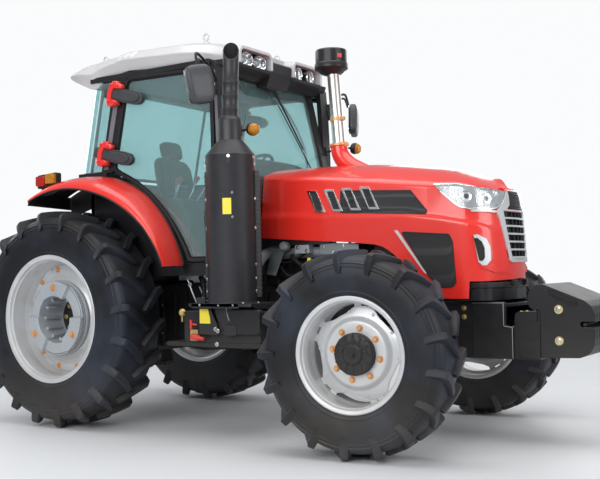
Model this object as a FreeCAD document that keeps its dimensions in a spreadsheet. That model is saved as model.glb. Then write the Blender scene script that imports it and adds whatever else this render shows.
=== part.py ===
import FreeCAD, Part
import Sketcher
import math
import os

# Farm tractor, four-wheel drive, in millimetres. X points forward, Y to the left and Z up.
# Every piece is drawn from the rear axle at X = 0 and then shifted by RearAxleX, so that the
# origin lies under the middle of the whole machine, on the ground.

Vector = FreeCAD.Vector
doc = FreeCAD.newDocument("FarmTractor")
sheet = doc.addObject("Spreadsheet::Sheet", "Size")

# Driving dimensions: alias, value, meaning
SIZES = [
    ("RearAxleX", -1528, "rear axle from the middle of the length"),
    ("Wheelbase", 2770, "rear axle to front axle"),
    ("Gap", 0.3, "clearance between seated pieces of different bodies"),
    ("RearSidewall", 384, "bead seat to the top of the lugs"),
    ("RearTyreHalf", 233, "half section width"),
    ("RearBead", 483, "bead seat radius"),
    ("RearTrackHalf", 936, "wheel centre plane from the middle"),
    ("RearLugs", 20, "lugs on one side of the tread"),
    ("RearLugDepth", 40, "lug height over the tread"),
    ("FrontSidewall", 317, "bead seat to the top of the lugs"),
    ("FrontTyreHalf", 189, "half section width"),
    ("FrontBead", 356, "bead seat radius"),
    ("FrontTrackHalf", 1070, "wheel centre plane from the middle"),
    ("FrontLugs", 17, "lugs on one side of the tread"),
    ("FrontLugDepth", 32, "lug height over the tread"),
    ("KingpinInset", 265, "kingpin in from the front wheel's centre plane"),
    ("SteerRest", 6, "degrees that the front wheels stand to the left"),
    ("ArmLength", 170, "steering arm from the kingpin"),
    ("HubInset", 95, "outer face of the knuckle in from the front wheel's centre plane"),
    ("RearHubInset", 111, "outer face of the axle housing in from the rear wheel's centre plane"),
    ("EngineRear", 1600, "rear face of the engine"),
    ("EngineToAxle", 370, "front face of the engine behind the front axle"),
    ("EngineHalf", 250, "half width of the engine"),
    ("EngineTop", 1420, "top of the engine"),
    ("EngineBottom", 610, "bottom of the sump"),
    ("SupportHalf", 300, "half width of the front support"),
    ("SupportTop", 980, "top of the front support"),
    ("SupportAhead", 780, "front face of the front support ahead of the front axle"),
    ("SupportBottom", 590, "bottom of the front support"),
    ("WeightCount", 12, "weights in the row"),
    ("WeightThick", 46, "thickness of one weight"),
    ("WeightGap", 4, "gap between two weights"),
    ("HoodWall", 12, "hood panel thickness"),
    ("HoodRear", 1600, "rear edge of the hood"),
    ("HoodFloor", 1004, "lowest edge of the hood"),
    ("NoseAhead", 740, "front of the nose ahead of the front axle"),
    ("HoodHingeAhead", 726, "hood hinge ahead of the front axle"),
    ("HoodHingeZ", 1108, "hood hinge height"),
    ("HoodHalf", 442, "half width of the hood"),
    ("DoorPlane", 820, "outer face of the doors from the middle"),
    ("DoorThick", 36, "door frame thickness"),
    ("HingeY", 885, "door hinge axis from the middle"),
    ("HingeLowX", 270, "lower door hinge ahead of the rear axle"),
    ("HingeLowZ", 2150, "lower door hinge height"),
    ("HingeHighX", 410, "upper door hinge ahead of the rear axle"),
    ("HingeHighZ", 2650, "upper door hinge height"),
    ("DoorOverFender", 18, "gap between the fender crown and the door's lower edge"),
    ("LinkPivotX", -80, "lower link pivot from the rear axle"),
    ("LinkPivotZ", 560, "lower link pivot height"),
    ("LinkEndX", -1000, "lower link ball from the rear axle"),
    ("LinkEndY", 420, "lower link ball from the middle"),
    ("LinkEndZ", 500, "lower link ball height"),
    ("RodFootX", -560, "lift rod foot from the rear axle"),
    ("ArmPivotX", -180, "lift arm pivot from the rear axle"),
    ("ArmPivotZ", 1100, "lift arm pivot height"),
    ("LiftArmLength", 340, "lift arm from pivot to eye"),
    ("GlassThick", 8, "glass thickness"),
    ("FenderRoom", 228, "fender crown's outer radius over the tyre's"),
    ("FenderX", 170, "fender centre ahead of the rear axle"),
    ("FenderDrop", 7, "fender centre below the rear axle"),
    ("FenderInner", 830, "inner edge of the fender from the middle"),
    ("FenderOuter", 1130, "outer edge of the fender from the middle"),
    ("FenderWall", 12, "fender panel thickness"),
    ("CanX", 1665, "canister axis ahead of the rear axle"),
    ("CanY", 915, "canister axis from the middle"),
    ("CanRadius", 180, "canister radius"),
    ("CanBottom", 990, "canister bottom"),
    ("CanTop", 2060, "canister top"),
    ("RoofHalf", 830, "half width of the roof"),
    ("RoofEdge", 2830, "lower lip of the roof"),
    ("RoofRise", 220, "roof's crown over its lip"),
    ("CabFloor", 1190, "underside of the cab floor"),
    ("FloorThick", 60, "cab floor thickness"),
    ("IntakeX", 2045, "intake tube ahead of the rear axle"),
    ("KnuckleGap", 8, "room between the knuckle's drum and the fork's round ends"),
    ("ForkRadius", 52, "round end of a fork plate about its kingpin"),
]

for row, (alias, number, meaning) in enumerate(SIZES, start=1):
    sheet.set("A%d" % row, meaning)
    sheet.set("B%d" % row, str(number))
    sheet.setAlias("B%d" % row, alias)
doc.recompute()


class Term:
    """A size with its expression text, so that sums of named sizes stay bound to the sheet."""

    def __init__(self, text, value):
        self.text = text
        self.value = value

    def __add__(self, other):
        return Term("(%s + %s)" % (self.text, text_of(other)), self.value + value_of(other))

    def __radd__(self, other):
        return Term("(%s + %s)" % (text_of(other), self.text), value_of(other) + self.value)

    def __sub__(self, other):
        return Term("(%s - %s)" % (self.text, text_of(other)), self.value - value_of(other))

    def __rsub__(self, other):
        return Term("(%s - %s)" % (text_of(other), self.text), value_of(other) - self.value)

    def __mul__(self, other):
        return Term("(%s * %s)" % (self.text, text_of(other)), self.value * value_of(other))

    def __rmul__(self, other):
        return self * other

    def __neg__(self):
        return Term("(-1 * %s)" % self.text, -self.value)


def text_of(item):
    return item.text if isinstance(item, Term) else repr(item)


def value_of(item):
    return item.value if isinstance(item, Term) else item


class Sizes:
    """Named sizes read from the sheet."""

    def __getattr__(self, alias):
        return Term("Size.%s" % alias, float(sheet.get(alias)))


size = Sizes()
shift = size.RearAxleX

# Sizes that follow from others
rear_radius = size.RearBead + size.RearSidewall
front_radius = size.FrontBead + size.FrontSidewall
kingpin_y = size.FrontTrackHalf - size.KingpinInset
hub_face = size.FrontTrackHalf - size.HubInset
rear_hub_face = size.RearTrackHalf - size.RearHubInset
engine_front = size.Wheelbase - size.EngineToAxle
support_front = size.Wheelbase + size.SupportAhead
nose_front = size.Wheelbase + size.NoseAhead
hood_hinge_x = size.Wheelbase + size.HoodHingeAhead
fender_radius = rear_radius + size.FenderRoom
fender_z = rear_radius - size.FenderDrop
floor_top = size.CabFloor + size.FloorThick


def bind(item, prop, term):
    """Set a property, and keep it tied to the sheet where the value is a named size."""
    if isinstance(term, Term):
        item.setExpression(prop, term.text)


def new_body(label):
    body = doc.addObject("PartDesign::Body", label)
    body.Label = label
    bind(body, "Placement.Base.x", shift)
    return body


def plane_of(body, role):
    return [item for item in body.Origin.OriginFeatures if item.Role == role][0]


def draw(body, name, role, points, level=0):
    """Closed sketch of straight lines through points (u, v) on an origin plane, raised by level."""
    sketch = body.newObject("Sketcher::SketchObject", name)
    sketch.AttachmentSupport = [(plane_of(body, role), "")]
    sketch.MapMode = "FlatFace"
    sketch.AttachmentOffset = FreeCAD.Placement(Vector(0, 0, value_of(level)), FreeCAD.Rotation())
    bind(sketch, "AttachmentOffset.Base.z", level)
    count = len(points)
    for index in range(count):
        start = points[index]
        end = points[(index + 1) % count]
        sketch.addGeometry(
            Part.LineSegment(
                Vector(value_of(start[0]), value_of(start[1]), 0),
                Vector(value_of(end[0]), value_of(end[1]), 0),
            ),
            False,
        )
    for index in range(count):
        sketch.addConstraint(Sketcher.Constraint("Coincident", index, 2, (index + 1) % count, 1))
    for index, point in enumerate(points):
        for kind, item in zip(("DistanceX", "DistanceY"), point):
            number = sketch.addConstraint(Sketcher.Constraint(kind, -1, 1, index, 1, value_of(item)))
            bind(sketch, "Constraints[%d]" % number, item)
    return sketch


def pad(body, name, role, points, level, length):
    """Prism from a sketch. On the XZ plane it runs towards -Y from Y = -level."""
    sketch = draw(body, name + "_sketch", role, points, level)
    feature = body.newObject("PartDesign::Pad", name)
    feature.Profile = sketch
    feature.Length = value_of(length)
    bind(feature, "Length", length)
    return feature


def pocket(body, name, role, points, level, length):
    """Cut of the same prism that pad would add."""
    sketch = draw(body, name + "_sketch", role, points, level)
    feature = body.newObject("PartDesign::Pocket", name)
    feature.Profile = sketch
    feature.Reversed = True
    feature.Length = value_of(length)
    bind(feature, "Length", length)
    return feature


def side_pad(body, name, points, inner, outer):
    """Prism of an XZ outline between two Y values, inner < outer."""
    level = -1 * outer if isinstance(outer, Term) else -outer
    return pad(body, name, "XZ_Plane", points, level, outer - inner)


def rectangle(low_u, high_u, low_v, high_v):
    return [(low_u, low_v), (high_u, low_v), (high_u, high_v), (low_u, high_v)]


def box(low_x, high_x, low_y, high_y, low_z, high_z):
    """Bound block between named planes."""
    item = doc.addObject("Part::Box", "block")
    item.Length = value_of(high_x - low_x)
    item.Width = value_of(high_y - low_y)
    item.Height = value_of(high_z - low_z)
    item.Placement.Base = Vector(value_of(low_x), value_of(low_y), value_of(low_z))
    bind(item, "Length", high_x - low_x)
    bind(item, "Width", high_y - low_y)
    bind(item, "Height", high_z - low_z)
    bind(item, "Placement.Base.x", low_x)
    bind(item, "Placement.Base.y", low_y)
    bind(item, "Placement.Base.z", low_z)
    return item


TURNS = {
    "X": FreeCAD.Rotation(Vector(0, 1, 0), 90),
    "Y": FreeCAD.Rotation(Vector(1, 0, 0), -90),
    "Z": FreeCAD.Rotation(),
}


def rod(radius, low, high, first, second, axis):
    """Bound cylinder along an axis from low to high. first and second are the other two
    coordinates: (Y, Z) for X, (X, Z) for Y and (X, Y) for Z."""
    item = doc.addObject("Part::Cylinder", "round")
    item.Radius = value_of(radius)
    item.Height = value_of(high - low)
    places = {"X": (low, first, second), "Y": (first, low, second), "Z": (first, second, low)}[axis]
    item.Placement = FreeCAD.Placement(Vector(*[value_of(p) for p in places]), TURNS[axis])
    bind(item, "Radius", radius)
    bind(item, "Height", high - low)
    for letter, place in zip("xyz", places):
        bind(item, "Placement.Base." + letter, place)
    return item


def fuse(label, pieces):
    item = doc.addObject("Part::MultiFuse", label)
    item.Shapes = pieces
    item.Refine = True
    return item


def cut(label, base, tool):
    item = doc.addObject("Part::Cut", label)
    item.Base = base
    item.Tool = tool
    return item


NODES = []


def keep(item, label, shifted=False):
    """Name a finished sub-part. Part objects are shifted to the middle of the length here."""
    item.Label = label
    if not shifted:
        bind(item, "Placement.Base.x", shift)
    NODES.append((label, item))
    return item


def keep_shape(shape, label, placement=None):
    """Name a sub-part whose surface is set by a function of the sheet's values."""
    item = doc.addObject("Part::Feature", label)
    item.Label = label
    item.Shape = shape
    place = FreeCAD.Placement(Vector(shift.value, 0, 0), FreeCAD.Rotation())
    if placement:
        place = place.multiply(placement)
    item.Placement = place.multiply(shape.Placement)
    NODES.append((label, item))
    return item


def steered(side):
    """Placement that turns a front wheel's piece about its kingpin by SteerRest."""
    centre = Vector(size.Wheelbase.value, side * kingpin_y.value, 0)
    turn = FreeCAD.Rotation(Vector(0, 0, 1), size.SteerRest.value)
    return FreeCAD.Placement(Vector(0, 0, 0), turn, centre)


SIDES = [("right", -1), ("left", 1)]


# Wheels

def solid_from(faces):
    """Solid of flat faces, turned the right way out."""
    solid = Part.makeSolid(Part.makeShell(faces))
    if solid.Volume < 0:
        solid.reverse()
    return solid


def flat_face(corners):
    return Part.Face(Part.makePolygon(corners + [corners[0]]))


def prism(points, low_y, high_y):
    corners = [Vector(x, low_y, z) for x, z in points]
    face = Part.Face(Part.makePolygon(corners + [corners[0]]))
    return face.extrude(Vector(0, high_y - low_y, 0))


def between(side, inner, outer):
    """Low and high Y of a piece that spans inner to outer on one side of the middle."""
    return min(side * inner, side * outer), max(side * inner, side * outer)


def ring_of_flats(points, count):
    """Ring about the Y axis of flat faces, from a profile of (distance across, radius) points."""
    rings = []
    for number in range(count):
        angle = 2 * math.pi * number / count
        rings.append([Vector(r * math.sin(angle), y, r * math.cos(angle)) for y, r in points])
    faces = []
    for number in range(count):
        near = rings[number]
        far = rings[(number + 1) % count]
        for index in range(len(points)):
            following = (index + 1) % len(points)
            corners = [near[index], near[following], far[following], far[index]]
            if points[index][1] == 0:
                corners = corners[:3]
            if points[following][1] == 0:
                corners = [near[index], near[following], far[index]]
            if points[index][1] or points[following][1]:
                faces.append(flat_face(corners))
    return solid_from(faces)


def stick(radius, start, end, flats=12):
    """Straight bar of a regular section between two points."""
    direction = end - start
    turn = FreeCAD.Rotation(Vector(0, 0, 1), direction)
    corners = []
    for number in range(flats):
        angle = 2 * math.pi * (number + 0.5) / flats
        corners.append(start + turn.multVec(Vector(radius * math.cos(angle), radius * math.sin(angle), 0)))
    return flat_face(corners).extrude(direction)


def turned(points, centre, outboard, count):
    """Turned wheel piece about the axle through centre, from (outboard distance, radius) points."""
    shape = ring_of_flats([(outboard * across, radius) for across, radius in points], count)
    shape.translate(centre)
    return shape


def lug(radius, ends, phase):
    """Tread bar between two end sections of four (distance across, length round, height) points."""
    rings = []
    for end in ends:
        ring = []
        for across, along, height in end:
            distance = radius + height
            angle = phase + along / radius
            ring.append(Vector(distance * math.sin(angle), across, distance * math.cos(angle)))
        rings.append(ring)
    near, far = rings
    faces = []
    for index in range(4):
        following = (index + 1) % 4
        faces.append(flat_face([near[index], near[following], far[following]]))
        faces.append(flat_face([near[index], far[following], far[index]]))
    for ring in rings:
        faces.append(flat_face([ring[0], ring[1], ring[2]]))
        faces.append(flat_face([ring[0], ring[2], ring[3]]))
    return solid_from(faces)


def tyre_shape(radius, half, bead, depth, lugs):
    """Tyre about the Y axis: a carcass with two rows of slanting lugs, half a pitch apart."""
    middle = bead + 0.5 * (radius - bead)
    shoulder = radius - depth - 22
    profile = [
        (-half + 34, bead), (-half, middle), (-half + 26, shoulder),
        (half - 26, shoulder), (half, middle), (half - 34, bead),
    ]
    carcass = ring_of_flats(profile, lugs)
    pitch = 2 * math.pi / lugs

    def end(side, top, root, along, drop, sink, half_top, half_root):
        return [
            (root * side, along - half_root, -sink), (top * side, along - half_top, -drop),
            (top * side, along + half_top, -drop), (root * side, along + half_root, -sink),
        ]

    bars = []
    for row, side in enumerate((-1, 1)):
        ends = [
            end(side, -0.04 * half, -0.06 * half, 0.36 * half, 0, depth + 40, 0.09 * half, 0.12 * half),
            end(side, 0.86 * half, half, -0.44 * half, 14, depth + 95, 0.13 * half, 0.17 * half),
        ]
        for number in range(lugs):
            bars.append(lug(radius, ends, (number + 0.5 * row) * pitch))
    return carcass.multiFuse(bars).removeSplitter()


def rim_points(half, bead, lip):
    """Rim profile with its two lips, as (outboard distance, radius)."""
    wall = 12
    seat = bead - size.Gap.value
    edge = half - 28
    return [
        (-edge - wall, seat + lip), (-edge, seat + lip), (-edge, seat), (edge, seat), (edge, seat + lip),
        (edge + wall, seat + lip), (edge + wall, seat - wall), (-edge - wall, seat - wall),
    ]


rear_tyre = tyre_shape(
    rear_radius.value, size.RearTyreHalf.value, size.RearBead.value,
    size.RearLugDepth.value, int(size.RearLugs.value),
)
front_tyre = tyre_shape(
    front_radius.value, size.FrontTyreHalf.value, size.FrontBead.value,
    size.FrontLugDepth.value, int(size.FrontLugs.value),
)


def rear_wheel(name, side):
    axle = rear_radius.value
    track = size.RearTrackHalf.value
    keep_shape(rear_tyre.translated(Vector(0, side * track, axle)), "rear_tyre_" + name)
    face = rear_hub_face.value + 0.5 - track
    well = size.RearBead.value - size.Gap.value - 12
    middle = Vector(0, side * track, axle)
    flats = int(size.RearLugs.value)
    rim = turned(rim_points(size.RearTyreHalf.value, size.RearBead.value, 32), middle, side, flats)
    centre = turned(
        [
            (20, well + 6), (34, well + 6), (34, 300), (170, 300), (170, 180), (face + 22, 156),
            (face + 22, 0), (face, 0), (face, 172), (152, 196),
            (152, 284), (20, 284),
        ],
        middle, side, flats,
    )
    nose = Part.makeCylinder(55, 50, middle + Vector(0, side * (face + 20), 0), Vector(0, side, 0))
    keep_shape(rim.multiFuse([centre, nose]).removeSplitter(), "rear_rim_" + name)


def front_wheel(name, side):
    axle = front_radius.value
    track = size.FrontTrackHalf.value
    base = size.Wheelbase.value
    place = steered(side)
    keep_shape(front_tyre.translated(Vector(base, side * track, axle)), "front_tyre_" + name, place)
    well = size.FrontBead.value - size.Gap.value - 12
    middle = Vector(base, side * track, axle)
    flats = int(size.FrontLugs.value)
    rim = turned(rim_points(size.FrontTyreHalf.value, size.FrontBead.value, 22), middle, side, flats)
    disc = turned(
        [
            (10, well + 6), (20, well + 6), (20, 245), (54, 215), (54, 137.3), (44, 137.3), (44, 210),
            (10, 240),
        ],
        middle, side, flats,
    )
    keep_shape(rim.fuse(disc).removeSplitter(), "front_rim_" + name, place)
    face = hub_face.value + 0.5 - track
    hub = turned(
        [
            (face, 0), (face, 128), (26, 128), (26, 168), (43.7, 168), (43.7, 137), (104, 137),
            (112, 100), (112, 0),
        ],
        middle, side, flats,
    )
    cap = Part.makeCylinder(58, 20, middle + Vector(0, side * 106, 0), Vector(0, side, 0))
    keep_shape(hub.fuse(cap), "front_hub_" + name, place)


def knuckle(name, side):
    """Final drive housing that turns about the kingpin, with its steering arm."""
    base = size.Wheelbase.value
    axle = front_radius.value
    pin = kingpin_y.value
    reach = size.ArmLength.value
    pivot = Vector(base, side * pin, axle)
    up = Vector(0, 0, 1)
    out = Vector(0, side, 0)
    swivel = stick(95, pivot - up * 100, pivot + up * 100, 16)
    upper = Part.makeCylinder(30, 40, pivot + up * 98, up)
    lower = Part.makeCylinder(30, 40, pivot - up * 138, up)
    drum_start = size.ForkRadius.value + size.KnuckleGap.value
    drum = stick(128, pivot + out * drum_start, pivot + out * (hub_face.value - pin), 20)
    tail = base - reach - 30
    arm_outline = [(tail, axle - 20), (base, axle - 20), (base, axle + 12), (tail, axle + 12)]
    arm = prism(arm_outline, side * pin - 25, side * pin + 25)
    keep_shape(swivel.multiFuse([upper, lower, drum, arm]), "knuckle_" + name, steered(side))


for name, side in SIDES:
    rear_wheel(name, side)
    front_wheel(name, side)
    knuckle(name, side)


# Driveline

def front_axle_beam():
    """Beam with its differential, the two forks that hold the knuckles and the trunnion."""
    base = size.Wheelbase.value
    axle = front_radius.value
    end = kingpin_y.value - 110
    reach = size.ArmLength.value
    middle = Vector(base, 0, axle)
    pieces = [
        stick(82, middle - Vector(0, end, 0), middle + Vector(0, end, 0), 12),
        turned([(-150, 0), (-150, 110), (-60, 168), (60, 168), (150, 110), (150, 0)], middle, 1, 16),
    ]
    bore = (18 + size.Gap.value) / math.cos(math.pi / 10)
    rod_line = Vector(base - reach, 0, axle + 36)
    holes = [stick(bore, rod_line - Vector(0, 310, 0), rod_line + Vector(0, 310, 0), 10)]
    trunnion = Vector(engine_front.value + 120 + size.Gap.value, 0, axle + 40)
    front = Vector(support_front.value - 420 - size.Gap.value, 0, axle + 40)
    pieces.append(stick(62, trunnion, front, 12))
    for side in (-1, 1):
        pin = side * kingpin_y.value
        half = size.ForkRadius.value
        fork = [
            (base - half, axle - 140), (base + half, axle - 140),
            (base + half, axle + 140), (base - half, axle + 140),
        ]
        pieces.append(prism(fork, *between(side, end - 40, end)))
        for low in (axle - 140, axle + 105):
            plate = [(base - half, low), (base + half, low), (base + half, low + 35), (base - half, low + 35)]
            pieces.append(prism(plate, *between(side, end - 40, kingpin_y.value)))
            pieces.append(stick(half, Vector(base, pin, low), Vector(base, pin, low + 35), 16))
        kingpin_foot = Vector(base, pin, axle - 150)
        holes.append(Part.makeCylinder(30 + size.Gap.value, 300, kingpin_foot, Vector(0, 0, 1)))
        bracket = [(base - reach, axle - 20), (base, axle - 20), (base, axle + 66), (base - reach, axle + 66)]
        pieces.append(prism(bracket, *between(side, 180, 220)))
    pieces.append(stick(44, rod_line - Vector(0, 300, 0), rod_line + Vector(0, 300, 0), 12))
    keep_shape(pieces[0].multiFuse(pieces[1:]).cut(holes).removeSplitter(), "front_axle_beam")


def steering_rod():
    """Rod of the steering cylinder, with a ball end over each steering arm."""
    base = size.Wheelbase
    axle = front_radius
    offset = -1 * size.ArmLength.value * math.sin(math.radians(size.SteerRest.value))
    reach = kingpin_y
    pieces = [rod(18, -1 * reach + 12 + offset, reach - 12 + offset, base - size.ArmLength, axle + 36, "Y")]
    for side in (-1, 1):
        pieces.append(rod(24, axle + 17, axle + 54, base - size.ArmLength, side * reach + offset, "Z"))
    keep(fuse("steering_rod", pieces), "steering_rod")


front_axle_beam()
steering_rod()


def front_support():
    body = new_body("front_support")
    rear = engine_front
    top = size.SupportTop
    front = support_front
    low = size.SupportBottom
    outline = [
        (rear, low + 60), (rear + 120, low + 60), (rear + 120, low + 270), (front - 420, low + 270),
        (front - 420, low), (front, low), (front, top - 170), (front - 60, top - 170),
        (front - 60, top), (rear, top),
    ]
    half = size.SupportHalf
    side_pad(body, "side_outline", outline, -1 * half, half)
    well = rectangle(rear + 120, front - 420, -1 * half + 50, half - 50)
    pocket(body, "well", "XY_Plane", well, low - 10, top - low + 20)
    body.Tip = body.getObject("well")
    keep(body, "front_support", True)


def weight_bracket():
    body = new_body("weight_bracket")
    front = support_front
    low = size.SupportBottom
    outline = [
        (front, low), (front + 185, low), (front + 185, low + 330), (front + 165, low + 330),
        (front + 165, low + 250), (front, low + 220),
    ]
    half = size.SupportHalf
    side_pad(body, "block", outline, -1 * half, half)
    keep(body, "weight_bracket", True)


def front_weights():
    """Row of suitcase weights, each hooked over the rail of the bracket."""
    front = support_front.value
    low = size.SupportBottom.value
    back = front + 185 + size.Gap.value
    hook = low + 330 + size.Gap.value
    outline = [
        (back, low + 15), (back + 225, low + 17), (back + 320, low + 62), (back + 358, low + 150),
        (back + 361, low + 226), (back + 262, low + 226), (back + 262, low + 254), (back + 363, low + 254),
        (back + 366, low + 300), (back + 318, low + 392), (back + 20, low + 503), (back - 15, low + 500),
        (back - 50, low + 455), (back - 62, low + 375), (back - 50, hook), (back, hook),
    ]
    count = int(size.WeightCount.value)
    thick = size.WeightThick.value
    pitch = thick + size.WeightGap.value
    solids = []
    for number in range(count):
        y = (number - (count - 1) / 2) * pitch - thick / 2
        corners = [Vector(x, y, z) for x, z in outline]
        face = Part.Face(Part.makePolygon(corners + [corners[0]]))
        solids.append(face.extrude(Vector(0, thick, 0)))
    keep_shape(Part.makeCompound(solids), "front_weights")


def engine():
    body = new_body("engine_block")
    outline = [
        (size.EngineRear, 700), (size.EngineRear + 200, size.EngineBottom),
        (engine_front - 60, size.EngineBottom),
        (engine_front, 760), (engine_front, size.EngineTop - 120), (engine_front - 80, size.EngineTop),
        (size.EngineRear, size.EngineTop),
    ]
    side_pad(body, "block", outline, -1 * size.EngineHalf, size.EngineHalf)
    keep(body, "engine_block", True)


def transmission():
    body = new_body("transmission_housing")
    outline = [
        (350, 560), (1100, 560), (size.EngineRear, 640), (size.EngineRear, 1130), (1480, 1113),
        (1480, size.CabFloor), (1380, size.CabFloor), (1380, 1099), (1100, 1060), (350, 1100),
    ]
    side_pad(body, "housing", outline, -220, 220)
    keep(body, "transmission_housing", True)


def rear_axle_housing():
    """Centre housing, the two axle arms, drawbar frame, PTO shaft and the pins of the linkage."""
    axle = rear_radius.value
    face = rear_hub_face.value
    arm = [
        (-face, 0), (-face, 165), (-face + 60, 165), (-face + 60, 120), (-270, 150),
        (270, 150), (face - 60, 120), (face - 60, 165), (face, 165), (face, 0),
    ]
    mount = size.CabFloor.value
    block = [
        (-330, 540), (350, 540), (350, 1100), (250, 1150), (180, 1150), (180, mount), (60, mount),
        (60, 1150), (-330, 1150),
    ]
    drawbar = [(-620, 400), (-620, 445), (-345, 445), (-345, 541), (250, 541), (250, 400)]
    pieces = [turned(arm, Vector(0, 0, axle), 1, 16), prism(block, -270, 270), prism(drawbar, -45, 45)]
    pieces.append(Part.makeCylinder(17.4, 90, Vector(-415, 0, 640), Vector(1, 0, 0)))
    for pivot, radius, reach in (
        (Vector(size.LinkPivotX.value, 0, size.LinkPivotZ.value), 16, 330),
        (Vector(size.ArmPivotX.value, 0, size.ArmPivotZ.value), 28, 350),
    ):
        pieces.append(stick(radius, pivot - Vector(0, reach, 0), pivot + Vector(0, reach, 0), 10))
    tower = [(-400, 940), (-329, 940), (-329, 1060), (-400, 1060)]
    for side in (-1, 1):
        pieces.append(prism(tower, *between(side, 30, 60)))
    holes = [
        Part.makeCylinder(16, 80, Vector(-570, 0, 380), Vector(0, 0, 1)),
        stick(13, Vector(-370, -70, 1000), Vector(-370, 70, 1000), 10),
    ]
    keep_shape(pieces[0].multiFuse(pieces[1:]).cut(holes).removeSplitter(), "rear_axle_housing")


BALL_BORE = 18.6


def strap(start, end, thick, wide_start, wide_end, hole_start, hole_end):
    """Flat link on edge between two cross holes, with round ends, leaning with its two points.
    The ball's bore is round, and the others are as flat-sided as the pins in them."""
    span = end - start
    length = math.hypot(span.x, span.z)
    points = []
    for centre, wide, low, high in ((0, wide_start, 90, 270), (length, wide_end, -90, 90)):
        for number in range(7):
            angle = math.radians(low + (high - low) * number / 6)
            points.append(Vector(centre + wide * math.cos(angle), 0, wide * math.sin(angle)))
    link = flat_face(points).extrude(Vector(0, thick, 0))
    for centre, hole in ((0, hole_start), (length, hole_end)):
        if hole == BALL_BORE:
            tool = Part.makeCylinder(hole, thick, Vector(centre, 0, 0), Vector(0, 1, 0))
        else:
            tool = stick(hole / math.cos(math.pi / 10), Vector(centre, 0, 0), Vector(centre, thick, 0), 10)
        link = link.cut(tool)
    link.translate(Vector(0, -thick / 2, 0))
    tilt = FreeCAD.Rotation(Vector(0, 1, 0), -math.degrees(math.atan2(span.z, span.x)))
    link.Placement = FreeCAD.Placement(start, tilt).multiply(link.Placement)
    return link


def hitch():
    """Lower links, lift rods and lift arms, each a pair on one body."""
    links = []
    rods = []
    arms = []
    pivot_x = size.LinkPivotX.value
    pivot_z = size.LinkPivotZ.value
    foot_x = size.RodFootX.value
    share = (foot_x - pivot_x) / (size.LinkEndX.value - pivot_x)
    foot_z = pivot_z + share * (size.LinkEndZ.value - pivot_z)
    link_y = 300
    top_z = size.ArmPivotZ.value
    for side in (-1, 1):
        out = Vector(0, side, 0)
        start = Vector(pivot_x, side * link_y, pivot_z)
        end = Vector(size.LinkEndX.value, side * link_y, size.LinkEndZ.value)
        foot = Vector(foot_x, side * link_y, foot_z)
        link = strap(start, end, 36, 42, 46, 16.3, BALL_BORE)
        links.append(link.fuse(stick(12, foot, foot + out * 60, 10)))
        top = Vector(foot_x, side * link_y, top_z)
        aside = out * 40
        rods.append(strap(foot + aside, top + aside, 22, 30, 30, 12.3, 12.3))
        root = Vector(size.ArmPivotX.value, side * (link_y + 12), top_z)
        tip = root + Vector(foot_x - root.x, 0, 0)
        arm = strap(root, tip, 30, 60, 34, 28.3, 6.1)
        arms.append(arm.fuse(stick(12, tip, tip + out * 45, 10)))
    keep_shape(Part.makeCompound(links), "lower_links")
    keep_shape(Part.makeCompound(rods + arms), "lift_linkage")


front_support()
hitch()
weight_bracket()
front_weights()
engine()
transmission()
rear_axle_housing()


# Hood: sections along its length as (X, half width, shoulder height, half width of the top, top height)

def hood_sections():
    rear = size.HoodRear.value
    nose = nose_front.value
    half = size.HoodHalf.value
    return [
        (rear, half, 1905, half - 120, 1972),
        (size.Wheelbase.value - 220, half, 1852, half - 130, 1990),
        (nose - 240, half - 8, 1785, half - 150, 1888),
        (nose - 110, half - 55, 1755, half - 170, 1835),
        (nose - 35, half - 150, 1720, half - 220, 1785),
        (nose, half - 262, 1690, half - 300, 1735),
    ]


def skin(sections):
    """Closed solid through sections of corners along X: flat quads, or two triangles where a
    stretch between two sections is twisted."""
    faces = [flat_face(sections[0]), flat_face(sections[-1])]
    for near, far in zip(sections, sections[1:]):
        for index in range(len(near)):
            following = (index + 1) % len(near)
            a, b, c, d = near[index], near[following], far[following], far[index]
            normal = (b - a).cross(c - a)
            if abs(normal.normalize().dot(d - a)) < 0.001:
                faces.append(flat_face([a, b, c, d]))
            else:
                faces.append(flat_face([a, b, c]))
                faces.append(flat_face([a, c, d]))
    return solid_from(faces)


def hood_loft(inset):
    """Solid through the hood's sections, drawn smaller by inset for the inner face."""
    rings = []
    sections = hood_sections()
    for number, (x, half, shoulder, top_half, top) in enumerate(sections):
        at_x = x
        if inset and number == 0:
            at_x = x - 5
        if inset and number == len(sections) - 1:
            at_x = x - inset
        low = size.HoodFloor.value - (5 if inset else 0)
        outline = [
            (-half + inset, low), (-half + inset, shoulder), (-top_half, top - inset),
            (top_half, top - inset), (half - inset, shoulder), (half - inset, low),
        ]
        rings.append([Vector(at_x, y, z) for y, z in outline])
    return skin(rings)


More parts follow.
